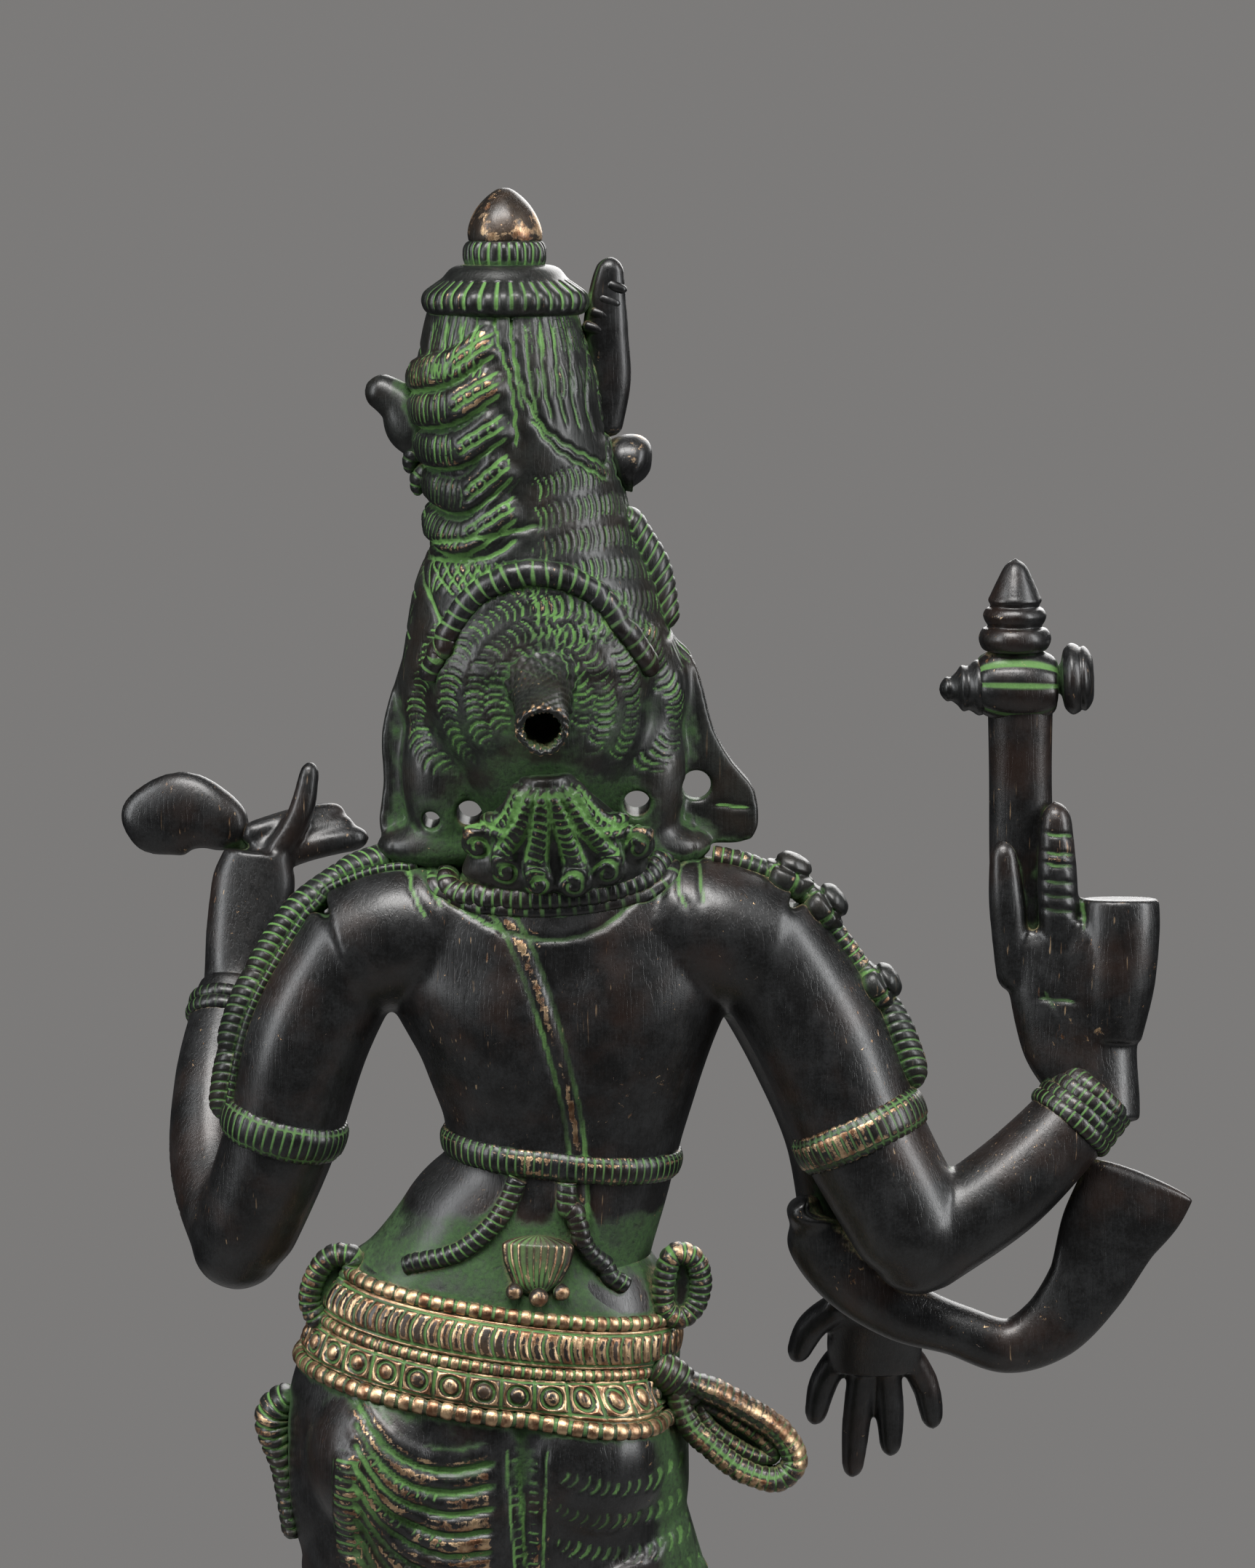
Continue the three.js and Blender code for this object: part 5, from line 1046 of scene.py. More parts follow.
def makeCrownFittings():
    v = crownFittings
    low, high = (c.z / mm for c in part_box("crown_collar"))
    x, y = crownTop[0], crownTop[1]
    collar = [(0.1, -3.4), (10.6, -3.2), (11.5, -1.8), (11.2, -0.4), (9.6, 0.9), (8.6, 1.6), (7.4, 2.9),
        (6, 3.4), (0.1, 3.5)]
    addJoined("crown_collar_cast", [turnedSkin(collar, (x, y, low), ribs=v["collarRibs"], ribDepth=0.5,
                                               ribSpan=(0.15, 0.62), columns=200, wobble=0.012)],
              "verdigris_relief", ["crown_collar"])
    low, high = (c.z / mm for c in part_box("crown_ring"))
    ring = [(0.1, -0.6), (5.1, -0.5), (5.6, 0.3), (5.75, 1.4), (5.6, 2.4), (5, 3.1), (0.1, 3.2)]
    addJoined("crown_ring_cast", [turnedSkin(ring, (x, y, low), ribs=v["ringRibs"], ribDepth=0.35,
        ribSpan=(0.15, 0.85),
                                             columns=160, wobble=0.015)], "verdigris_relief",
                                                 ["crown_ring"])
    low, high = (c.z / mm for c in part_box("crown_finial"))
    w = v["budWidth"]
    rise = high - low
    bud = [(0.1, -0.3), (w * 0.93, -0.2), (w, rise * 0.12), (w * 0.9, rise * 0.42), (w * 0.68, rise * 0.68),
           (w * 0.36, rise * 0.9), (w * 0.14, rise * 0.99), (0.05, rise)]
    addJoined("crown_bud_cast", [turnedSkin(bud, (x, y, low), columns=80, wobble=0.02)], "rubbed_brass",
        ["crown_finial"])

    def edge(share, out, lift=0.0):
        return onSkin(crownBody, share, 0 if out < 0 else np.pi, lift)
    horn = [(off(edge(0.66, 1), -3.6, 0, -2), 4.4, 3.6), (off(edge(0.68, 1), 0, -0.2, -1), 4.4, 3.4),
            (off(edge(0.7, 1), 2.6, -0.4, 0.8), 2.9, 2.6), (off(edge(0.72, 1), 6.4, -0.8, 2), 2.1, 2)]
    parts = [ribbedLoft(horn, (0, 0, 1), round=2, rows=60)]
    for k in range(3):  # small leaves under the horn
        leaf = edge(0.64 - 0.04 * k, 1)
        parts.append(ribbedLoft([(off(leaf, -1.5, 0.6, 2 - k), 1.7, 2.6),
            (off(leaf, 1.6 - 0.5 * k, 0.4, 0.4 - k), 1.5, 2.2),
                                 (off(leaf, 2.6 - 0.7 * k, 0, -2.4 - k), 0.8, 1.2)], rows=40, round=1,
                                     pitch=1.3, rib=0.1))
    addJoined("crown_crescent_cast", parts, "verdigris_relief", ["crown_crescent"])
    blade = [(off(edge(0.56, -1), 0.4, 0, -1.6), 2.2, 2), (off(edge(0.66, -1), -0.7, 0, 3), 3.2, 2.1),
             (off(edge(0.8, -1), -1.9, 0, 3.2), 3.1, 2), (off(edge(0.88, -1), -3.5, 0, 6.6), 2.2, 1.6),
             (off(edge(0.9, -1), -4.2, 0, 8.8), 1.5, 1.3)]
    parts = [ribbedLoft(blade, lines=(0.5,), lineDepth=0.08, round=1.6, rows=80)]
    for k in range(4):  # the notched edge
        step = off(edge(0.84, -1), -1 - 0.9 * k, 1.2, 1.2 + 1.9 * k)
        parts.append(ribbedLoft([(off(step, 1.6 - 0.2 * k, 0, 0.5), 0.6, 0.7), (step, 0.75, 0.8),
                                 (off(step, -1.8, 0, -0.6), 0.5, 0.5)], (0, 1, 0), rows=24, columns=20,
                                     round=0.6))
    addJoined("crown_blade_cast", parts, "dark_patina", ["crown_blade"])
    knob = [(off(edge(0.42, -1), 2, 0, -0.6), 3.4, 3.4), (off(edge(0.42, -1), -1.6, -0.4, 0.4), 4, 4),
            (off(edge(0.42, -1), -4.2, -0.6, -0.4), 3, 3)]
    addJoined("crown_knob_cast", [ribbedLoft(knob, (0, 1, 0), round=2.4, rows=40)], "dark_patina",
        ["crown_knob"])
    braid = [edge(share, -1, 0.9) for share in (0.33, 0.26, 0.17, 0.05)]
    addJoined("crown_braid_cast", [
        ribbedLoft([(off(p, 1.4, 1.4, 0), w, 2.6) for p, w in zip(braid, (1.6, 2.6, 3, 2))], pitch=1.6,
            rib=0.08, lean=1.1,
                   round=2, rows=110, columns=60)], "verdigris_relief", ["crown_braid"])
    arch = [onSkin(headBody, 0.6, np.pi / 2 + 1.06, 1), onSkin(crownBody, 0.05, np.pi / 2 + 0.78, 1),
        onSkin(crownBody, 0.155, np.pi / 2 + 0.5, 1),
            onSkin(crownBody, 0.225, np.pi / 2, 1), onSkin(crownBody, 0.155, np.pi / 2 - 0.5, 1),
            onSkin(crownBody, 0.05, np.pi / 2 - 0.78, 1), onSkin(headBody, 0.6, np.pi / 2 - 1.06, 1)]
    ribbedCord("arch_cord_cast", arch, 1.75, "dark_patina", ["arch_cord"], trees=[headTree], lift=-0.1,
        pitch=1.8,
               rib=0.04, twist=0.6, flat=0.8)


makeCrownFittings()


# peg for the halo, and the locks that fan out below it
pegValues = {"radius": 3.4, "bore": 2.5, "length": 19, "boreDepth": 9}


def makePeg():
    v = pegValues
    axis = unit(np.array((-0.02, 1, -0.2)))
    root = onSkin(headBody, 0.56, np.pi / 2, -1.5)
    r, b, far = v["radius"], v["bore"], v["length"]
    profile = [(0.1, -1), (r + 2.2, -0.6), (r + 1.4, 1), (r + 0.6, 3.4), (r + 0.15, 7), (r, 12),
        (r, far - 0.5),
               (r - 0.15, far - 0.1), (r - 0.4, far), (b + 0.35, far), (b + 0.1, far - 0.25),
                   (b, far - 1.4),
               (b, far - v["boreDepth"] + 0.6), (b - 0.5, far - v["boreDepth"]),
                   (0.1, far - v["boreDepth"])]
    points, faces, _ = turnedSkin(profile, root, axis, columns=120, rows=200, wobble=0.03)
    along = ((points - root) * axis).sum(1)
    away = points - root - along[:, None] * axis
    turn = np.arctan2(away[:, 0], away[:, 2])
    rough = 0.16 * np.sin(turn * 9 + along * 1.3) * np.sin(along * 2.1 + turn * 4) + 0.1 * np.sin(turn * 17
        - along * 2.7)
    webs = 0.55 * np.exp(-(np.mod(turn, 1.57) - 0.8) ** 2 / 0.06) * easeIn(9 - along, 0, 8)
    inside = np.linalg.norm(away, axis=1) < b + 0.2
    points = points + unit(away + 1e-6) * (rough + webs)[:, None] * np.where(inside, -1.2, 1)[:, None]
    rim = easeIn(along, far - 1.3, far - 0.5) * (np.linalg.norm(away, axis=1) > b - 0.1)
    addPiece("halo_peg_cast", points, faces, "verdigris_relief", ["halo_peg"], bare=rim * 1.3,
             engraved=0.7 * np.exp(-(np.mod(turn * 1.27 + 0.2 * along, 1) - 0.5) ** 2 / 0.01)
                 * easeIn(11 - along, 0, 6))


makePeg()
lockValues = {"voxel": 0.34, "pitch": 1.1,
              "tips": ((10.8, 15.2, -1), (7, 11.8, -1), (2.6, 10.2, -1), (-2.2, 10, 1), (-6.8, 11.6, 1),
                  (-11, 15, 1))}


def makeLocks():
    v = lockValues
    s = shoulders
    pad = loft([(off(s, 1.6, 11, 25.4), 3.6, 5), (off(s, 1.2, 10.4, 21), 6.4, 5.4),
        (off(s, 0.8, 8.4, 16), 11, 5.4),
                (off(s, 0.4, 7.4, 11.4), 13, 5.2), (off(s, 0.4, 6.6, 8.6), 11, 4.4)])
    buns = [egg(off(s, x, 12.2 - abs(x) * 0.2, z), (2.5, 2.1, 2.3)) for x, z, _ in v["tips"]]
    skin = skinOf([pad, *buns], v["voxel"], 6)
    skin["flat"] = skin["points"][:, [0, 2]] - (s[0], s[2])
    skin["on"] = skin["normals"][:, 1] > -0.1
    for k, (x, z, turn) in enumerate(v["tips"]):
        start = (1.4 + (2.5 - k) * 1.1, 23.6)
        middle = (start[0] * 0.45 + x * 0.5, 18.4 - abs(x) * 0.05)
        path = [start, middle, (x - turn * 0.4, z + 2.2), (x, z)]
        raiseRope(skin, path, 1.6, 1.1)
        cutStrokes(skin, path, 1.5, pitch=v["pitch"], bow=0.6 * (turn or 1), lean=0.3, line=0.26,
            depth=0.38, seed=k + 3)
        for shift in (-1.7, 1.7):
            cutLine(skin, [(a + shift * (0.45 + 0.55 * (23.6 - b) / 14), b) for a, b in path[:3]],
                line=0.34, depth=0.5)
        curl = [(x + 2 * (1 - j / 26) * math.cos(j * 0.42 * (turn or 1)),
            z - 0.4 + 2 * (1 - j / 26) * math.sin(j * 0.42 * (turn or 1)))
                for j in range(20)]
        cutLine(skin, curl, line=0.3, depth=0.45)
    finishSkin("nape_locks_cast", skin, "verdigris_relief", ["nape_locks"])


makeLocks()


# necklaces, waist cord and thread
necklaceValues = {"bead": 1.7, "pitch": 1.3, "outer": 1.1}


def makeNecklaces():
    v = necklaceValues
    turns = np.linspace(0, 2 * np.pi, 16, endpoint=False)
    ring = [onSkin(trunk, 0.9456 - 0.0894 * abs(math.sin(a)), a, 1) for a in turns]
    points, faces, marks = ribbedCord("", ring, v["bead"], "", trees=[bodyTree], lift=0.35,
        pitch=v["pitch"], rib=0.12,
                                      closed=True, build=False, flat=0.7)
    wide = [onSkin(trunk, 0.936 - 0.104 * abs(math.sin(a)), a, 1) for a in turns]
    outer = ribbedCord("", wide, v["outer"], "", trees=[bodyTree], lift=-0.25, pitch=2.2, rib=0.03,
        closed=True,
                       flat=0.75, build=False)
    addJoined("necklace_cast", [(points, faces, marks), outer], "dark_patina", ["necklace"])
    drape = [onSkin(trunk, 0.9222 - 0.1711 * math.sin(-math.pi * t) ** 2, math.pi * t, 1)
        for t in (-0.1, -0.22, -0.36, -0.5, -0.64, -0.78, -0.9)]
    strands = []
    for k, (rise, size) in enumerate(((0, 1.3), (-2.4, 1.0), (-4.6, 1.4))):
        path = [off(p, 0, 0, rise) for p in drape]
        strands.append(ribbedCord("", path, size, "", trees=[bodyTree], lift=0.5, pitch=1.5 + 0.3 * (k % 2),
            rib=0.3,
                                  build=False))
    middle = drape[3]
    strands.append(ribbedLoft([(off(middle, 0, -2.6, -3.4), 1.4, 1), (off(middle, 0, -3, -6), 2.6, 1.4),
                               (off(middle, 0, -2.6, -9), 0.8, 0.8)], rows=40, round=1, lines=(1.57, 4.7)))
    addJoined("chest_necklace_cast", strands, "rubbed_brass", ["chest_necklace"])
    thread = [onSkin(trunk, share, -math.pi * turn, 1) for share,
        turn in ((0.8289, 0.72), (0.7667, 0.6), (0.7044, 0.54), (0.6111, 0.44), (0.5022, 0.32),
        (0.3778, 0.2))]
    parts = [ribbedCord("", [off(p, shift, 0, 0) for p in thread], 0.75, "", trees=[bodyTree], lift=0.3,
        pitch=0.9, rib=0.16,
                        build=False) for shift in (-1.2, 0.2, 1.6)]
    addJoined("sacred_thread_cast", parts, "dark_patina", ["sacred_thread"])


makeNecklaces()
waistValues = {"cord": 2.0, "pitch": 1.2, "hanging": 1.4}


def makeWaist():
    v = waistValues
    turns = np.linspace(0, 2 * np.pi, 20, endpoint=False)
    ring = []
    for a in turns:
        p = onSkin(trunk, 0.37, a, 1)
        ring.append((p[0], p[1], waist[2] + 10 + 0.1 * (p[0] - waist[0])))
    ribbedCord("waist_cord_cast", ring, v["cord"], "dark_patina", ["waist_cord"], trees=[bodyTree],
        lift=0.15,
               pitch=v["pitch"], rib=0.07, closed=True, twist=0.5, flat=0.42, grooveAt=(0.5, 2.64))
    z = waist[2]
    hanging = {
        "left": [(3.4, 16, z + 8.4), (6.6, 16, z + 2.4), (11.6, 16, z - 1.4), (19.4, 14, z - 3.4)],
        "right": [(-4, 16, z + 8), (-5, 16, z + 2.6), (-7.6, 16, z - 2), (-14, 15, z - 6)],
    }
    for side, path in hanging.items():
        ribbedCord(f"{side}_back_cord_cast", path, v["hanging"], "dark_patina", [f"{side}_back_cord"],
                   trees=[bodyTree, hipTree], lift=0.25, pitch=v["pitch"], rib=0.1,
                       twist=1.0 if side == "left" else -1.0)
    parts = []
    shell = [(0, -7.2, 2, 1.4), (0.1, -5.2, 3.4, 2), (0, -2.6, 4.7, 2.4), (-0.1, -0.4, 5, 2.2),
        (-0.1, 1, 4.2, 1.4)]
    laid, _ = hug([(x, 18, z + dz) for x, dz, _, _ in shell], [bodyTree, hipTree], 0.2)
    parts.append(ribbedLoft([(p, w, d) for p, (_, _, w, d) in zip(laid, shell)], round=1.6, rows=80,
        columns=90, line=0.1,
                            lines=(0.55, 0.85, 1.12, 1.35, 1.57, 1.79, 2.02, 2.29, 2.6), lineDepth=0.1))
    for x, dz, size in ((-3.4, -6.6, 1.2), (0, -7.4, 1.4), (3.4, -6.6, 1.2)):
        spot, _ = hug([(x, 18, z + dz)], [bodyTree, hipTree], 0.9)
        parts.append(ribbedLoft([(off(spot[0], 0, 0, size), size * 0.8, size * 0.7),
            (off(spot[0], 0, 0.3, 0), size, size),
                                 (off(spot[0], 0, 0, -size), size * 0.8, size * 0.7)], rows=24, round=size))
    addJoined("fan_clasp_cast", parts, "rubbed_brass", ["fan_clasp"])


makeWaist()
print("stage: cords and crown fittings")


# armlets, bracelets and anklets
bandValues = {
    "left_armlet": ("left", upperArm, 0.47, ((0, 2.7),), (0, 1, 0)),
    "right_rear_armlet": ("rear", upperArm, 0.5, ((0, 2.7),), (0, 1, 0)),
    "left_bracelet": ("left", forearm, 0.9, ((-0.8, 1.1), (1, 1.1)), (0, 1, 0)),
    "right_rear_bracelet_lower": ("rear", forearm, 0.83, ((-0.9, 1.2), (0.9, 1.2)), (0, 1, 0)),
    "right_rear_bracelet_upper": ("rear", forearm, 0.95, ((-1, 1.3), (1, 1.3)), (0, 1, 0)),
    "right_front_bracelet": ("front", forearm, 0.9, ((-1, 1.2), (1, 1.2)), (0, 1, 0)),
}


def makeBands():
    for name, (key, bars, share, rows, side) in bandValues.items():
        stations = bars[key]
        length = sum(np.linalg.norm(b[0] - a[0]) for a, b in zip(stations[:-1], stations[1:]))
        parts = []
        for shift, size in rows:
            ring = ringOn(stations, share + shift / length, side, 0.4)
            wide = size > 2
            parts.append(ribbedCord("", ring, size, "", trees=[bodyTree], lift=0.05, pitch=1.2, rib=0.07,
                closed=True,
                                    build=False, flat=0.36 if wide else 0.7,
                                        grooveAt=(0.55, 2.6) if wide else ()))
        addJoined(f"{name}_cast", parts, "dark_patina", [name])
    for side, stations in (("left", skirtLeg), ("right", bareLeg)):
        low, high = (c.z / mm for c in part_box(f"{side}_anklet"))
        middle = section(stations, 0.86)[0][0]
        parts = []
        for rise in (-0.8, 1):
            ring = [(middle[0] + 12 * math.cos(a), middle[1] + 12 * math.sin(a), (low + high) / 2 + rise)
                    for a in np.linspace(0, 2 * np.pi, 20, endpoint=False)]
            parts.append(ribbedCord("", ring, 1.1, "", trees=[hipTree], lift=0.3, pitch=1.25, rib=0.12,
                closed=True, build=False))
        addJoined(f"{side}_anklet_cast", parts, "rubbed_brass", [f"{side}_anklet"])


makeBands()


# shoulder tassels and the budded strap
def outside(stations, share, lift, sign):
    centre, along, _, _, size = section(stations, share, (0, 1, 0))
    out = unit(np.cross(along, (0.0, 1.0, 0.0)))[0]
    return centre[0] + np.sign(out[0]) * sign * out * (size[0, 0] + lift)


def leafOn(trees, top, tip, wide, thick, lean=1.2):
    laid, outs = hug([top, top * 0.6 + tip * 0.4, top * 0.25 + tip * 0.75, tip], trees, thick * 0.25)
    stations = [(p, w, d) for p, w, d in zip(laid, (wide * 0.6, wide, wide * 0.9, wide * 0.4),
                                             (thick * 0.8, thick, thick, thick * 0.6))]
    side = unit(np.cross(outs[1], laid[3] - laid[0]))
    return ribbedLoft(stations, side, pitch=1.35, rib=0.07, lean=lean, lines=(1.57, 4.71), lineDepth=0.12,
        line=0.12,
                      round=1.8, rows=120, columns=48)


def makeShoulders():
    arm = upperArm["left"]
    left = [(off(leftShoulder, -9, -0.5, 12.4), off(leftShoulder, 3.4, -0.4, 9), 3, 2.2),
            (off(leftShoulder, 1, -0.6, 10.6), outside(arm, 0.24, 0.6, 1), 3.4, 2.6),
            (outside(arm, 0.14, 0.6, 1), outside(arm, 0.36, 0.6, 1), 3.4, 2.6),
            (outside(arm, 0.3, 0.6, 1), outside(arm, 0.5, 0.4, 1), 3, 2.4)]
    parts = [leafOn([bodyTree], *leaf) for leaf in left]
    seam = [off(leftShoulder, -9, 3.4, 11), off(leftShoulder, 3, 2.6, 8.4),
        outside(arm, 0.2, 0, 1) + (0, 3.4, 0),
            outside(arm, 0.36, 0, 1) + (0, 3.4, 0), outside(arm, 0.5, 0, 1) + (0, 3, 0)]
    parts.append(ribbedCord("", seam, 0.7, "", trees=[bodyTree], lift=0.1, pitch=1.1, rib=0.1, build=False))
    addJoined("left_shoulder_tassels_cast", parts, "verdigris_relief", ["left_shoulder_tassels"])
    arm = upperArm["rear"]
    strap = [off(rightShoulder, 7, 0.6, 12.2), off(rightShoulder, -3, 0.6, 11),
        off(rightShoulder, -10.8, 0.6, 6.8),
             outside(arm, 0.17, 0.4, -1), outside(arm, 0.3, 0.4, -1)]
    parts = [ribbedCord("", strap, 1.9, "", trees=[bodyTree], lift=0.2, pitch=1.3, rib=0.09, build=False,
        flat=0.8),
             leafOn([bodyTree], outside(arm, 0.24, 0.6, -1), outside(arm, 0.46, 0.5, -1), 3, 2.6)]
    buds = [off(rightShoulder, -5.4, 0.5, 12.6), off(rightShoulder, -12.8, 0.5, 7.4),
        outside(arm, 0.22, 1.4, -1)]
    for spot in buds:
        laid, outs = hug([spot], [bodyTree], 1.2)
        bud = [(0.1, -2.8), (3, -2.6), (3.9, -1), (3.7, 0.4), (2.6, 0.9), (2.6, 1.6), (1.8, 2.6), (0.1, 3)]
        parts.append(turnedSkin(bud, laid[0], outs[0], ribs=5, ribDepth=0.6, ribSpan=(0.1, 0.62),
            columns=72, rows=40,
                                wobble=0.03))
    addJoined("right_shoulder_strap_cast", parts, "verdigris_relief", ["right_shoulder_strap"])


makeShoulders()


# girdle
girdleValues = {"tilt": 8.2, "top": 14.4, "upper": (1.0, 2.1), "crescents": (1.1, 5.6),
    "middle": (0.8, 1.7),
                "panels": (1.1, 4.9), "lower": (1.15, 2.4)}


def girdleRing(drop, lift, count=96):
    axis = np.array((-math.sin(math.radians(girdleValues["tilt"])), 0.02,
        math.cos(math.radians(girdleValues["tilt"]))))
    middle = off(hips, -3.5, 0, girdleValues["top"]) - axis * drop
    points = []
    for a in np.linspace(0, 2 * np.pi, count, endpoint=False):
        flatOut = unit(np.cross(np.cross(axis, (math.cos(a), math.sin(a), 0)), axis))
        start = middle + (off(hips, 0, 0, 0) - middle) * (1, 1, 0) * 0.6
        found = hipTree.ray_cast(Vector(start + flatOut * 60), Vector(-flatOut))
        points.append(np.array(found[0]) + flatOut * lift)
    return points, axis


def girdleBand(name, drop, height, proud, pattern, replaced):
    count, rows = 560, 30
    shares = np.linspace(0, 1, count, endpoint=False)
    levels = [throughPoints(girdleRing(drop - height * s, 0.0, 130)[0], shares, True)
        for s in (-0.5, 0, 0.5)]
    low, path, high = levels
    middle = path.mean(0)
    along = unit(np.roll(path, -1, axis=0) - np.roll(path, 1, axis=0))
    outs = unit(np.cross(along, high - low))
    outs = outs * np.sign((outs * (path - middle)).sum(1))[:, None]
    u = np.concatenate([[0], np.cumsum(np.linalg.norm(np.diff(np.vstack([path, path[:1]]), axis=0),
        axis=1))])
    turns = u[:-1] / u[-1]
    v = np.linspace(-1, 1, rows)
    lift, cut = pattern(turns[:, None] * u[-1], v[None] * height / 2, u[-1])
    edge = np.sqrt(np.clip(1 - np.abs(v) ** 8, 0, 1))[None]
    w = v[None, :, None]
    base = path[:, None] * (1 - w * w) + high[:, None] * (w * w + w) / 2 + low[:, None] * (w * w - w) / 2
    face = base + outs[:, None] * ((proud + lift) * edge - 0.3)[:, :, None]
    inner = base[:, ::-1][:, 1:-1] - outs[:, None] * 1.4
    grid = np.concatenate([face, inner], axis=1)
    marks = np.concatenate([cut, np.zeros((count, rows - 2))], axis=1)
    faces = gridFaces(count, grid.shape[1], closeRows=True)[:, ::-1]
    return addPiece(name, grid.reshape(-1, 3), faces, "rubbed_brass", replaced, engraved=marks.ravel())


def crescentPattern(u, v, length):
    pitch = length / round(length / 3.1)
    lift = np.zeros(np.broadcast(u, v).shape)
    cut = lift.copy()
    place = u / pitch * 1.7 + 0.3 * np.cos(v * 0.75) + 0.12 * np.sin(u * 0.7)
    cut = np.exp(-((place - np.round(place)) / 0.13) ** 2) * (np.abs(v) < 1.9) * (0.8 + 0.2
        * hash01(np.round(place)))
    lift += 0.3 * np.clip(1 - (v / 2.2) ** 2, 0, 1)
    rim = np.exp(-((np.abs(v) - 2.15) / 0.22) ** 2) * np.ones_like(u)
    cut = np.maximum(cut, rim)
    return lift - 0.5 * cut, cut


def panelPattern(u, v, length):
    pitch = length / round(length / 4.7)
    cell = (np.mod(u / pitch, 1) - 0.5) * pitch
    divide = np.exp(-((np.abs(cell) - pitch / 2) / 0.3) ** 2) * np.ones_like(v)
    away = np.hypot(cell, v * 1.0)
    ring = np.exp(-((away - 1.35) / 0.24) ** 2)
    rim = np.exp(-((np.abs(v) - 1.95) / 0.2) ** 2) * np.ones_like(u)
    cut = np.maximum(np.maximum(divide, ring), rim)
    lift = 0.4 * np.clip(1 - (away / 1.1) ** 2, 0, 1) + 0.15 * np.exp(-((away - 1.9) / 0.3) ** 2)
    return lift - 0.5 * cut, cut


def makeGirdle():
    v = girdleValues
    drop = 0
    for row, name in (("upper", "girdle_bead_row_upper"), ("crescents", "girdle_crescent_band"),
                      ("middle", "girdle_bead_row_middle"), ("panels", "girdle_panel_band"),
                          ("lower", "girdle_bead_row_lower")):
        proud, height = v[row]
        low = drop + height / 2
        if row in ("crescents", "panels"):
            pattern = crescentPattern if row == "crescents" else panelPattern
            girdleBand(f"{name}_cast", low, height, proud, pattern, [name])
        else:
            ring, _ = girdleRing(low, 0.2)
            ribbedCord(f"{name}_cast", ring, height / 2, "rubbed_brass", [name], trees=[hipTree],
                       lift=height * 0.12, pitch=height * 0.85, rib=0.24, closed=True, flat=0.8)
        drop += height - 0.1


makeGirdle()
print("stage: girdle")


# loops, hem wing and scarf
def hipEdge(z, out, lift):
    share = np.clip((hipBody[0][0][2] - z) / (hipBody[0][0][2] - hipBody[-1][0][2]), 0, 1)
    centre, _, _, _, size = section(hipBody, share)
    return np.array((centre[0, 0] + out * (size[0, 0] + lift), centre[0, 1], z))


def makeLoops():
    left = [(26.4, 6, 201.4), (29.2, 6, 201.6), (31.6, 6, 198.8), (32.4, 6, 194.8), (30.4, 6, 192),
        (28.4, 6, 194.4),
            (27.2, 6, 197.8)]
    right = [(-17.4, 8, 194.6), (-17.4, 8, 199), (-18.8, 8, 202.4), (-21.2, 7.4, 201.8), (-22.4, 7, 198.6),
             (-21.6, 7, 194.8), (-19.6, 7.6, 193.2)]
    for name, path in (("left_hip_loop", left), ("right_hip_loop", right)):
        ring = ribbedCord("", path, 1.7, "", pitch=1.15, rib=0.12, closed=True, flat=1.3, build=False)
        middle = np.mean(path, axis=0)
        back = ribbedLoft([(off(middle, 0, 0, 4), 1.6, 0.7), (off(middle, 0, -0.4, 0), 2.4, 0.8),
            (off(middle, 0, 0, -4), 1.6, 0.7)],
                          round=1, rows=40)
        addJoined(f"{name}_cast", [ring, back], "verdigris_relief", [name])
    rings = [([(-18.4, 187.4), (-22.6, 186.6), (-28, 183.6), (-32.8, 180), (-34.6, 176), (-32.4, 173.6),
        (-27.6, 174.8),
               (-23, 178.4), (-19.6, 182)], 1.9), ([(-21.4, 184.6), (-26.6, 181.8), (-30.6, 178.8),
                   (-31.6, 176.8),
               (-29.8, 176.6), (-25.6, 178.8), (-22.4, 181.6)], 1.2)]
    parts = []
    for k, (outline, size) in enumerate(rings):
        path = [(x - 1.2, 7.4 - 0.5 * k - abs(x + 20) * 0.06, z - 4) for x, z in outline]
        parts.append(ribbedCord("", path, size, "", pitch=1.2, rib=0.08, closed=True, build=False, flat=1.5,
                                grooveAt=(1.3,) if k == 0 else ()))
    hollow = [(-21.2, 5.6, 181.4), (-26.2, 5.2, 177.4), (-30.8, 4.8, 174), (-33.6, 4.8, 172)]
    parts.append(ribbedLoft([(hollow[0], 1.6, 1.2), (hollow[1], 3, 1.3), (hollow[2], 3, 1.3),
        (hollow[3], 1.4, 1)], (0, 0, 1),
                            round=1, rows=60))
    parts.append(ribbedLoft([((-15, 9, 187), 2.6, 3), ((-18.6, 8, 184.6), 2.8, 2.6),
        ((-22.4, 7, 181), 1.8, 1.8)], (0, 0, 1),
                            pitch=1.3, rib=0.1, round=1, rows=60))
    addJoined("right_sash_loop_cast", parts, "rubbed_brass", ["right_sash_loop"])
    wing = [(off(hipEdge(hips[2] - 2, 1, 1), 0, 0, 0), 1.6, 3),
        (off(hipEdge(hips[2] - 6, 1, 2), 0, 0, 0), 2.9, 3.2),
            (off(hipEdge(hips[2] - 14, 1, 0.4), 0, 0, 0), 2, 3),
                (off(hipEdge(hips[2] - 22, 1, 0), 0, 0, -2), 1.7, 3)]
    addJoined("left_hem_wing_cast", [ribbedLoft(wing, pitch=1.5, rib=0.16, lean=0.3, round=1.2)],
        "verdigris_relief",
              ["left_hem_wing"])


makeLoops()
scarfValues = {"lines": (3.5, 5.9), "lineDepth": 0.04}


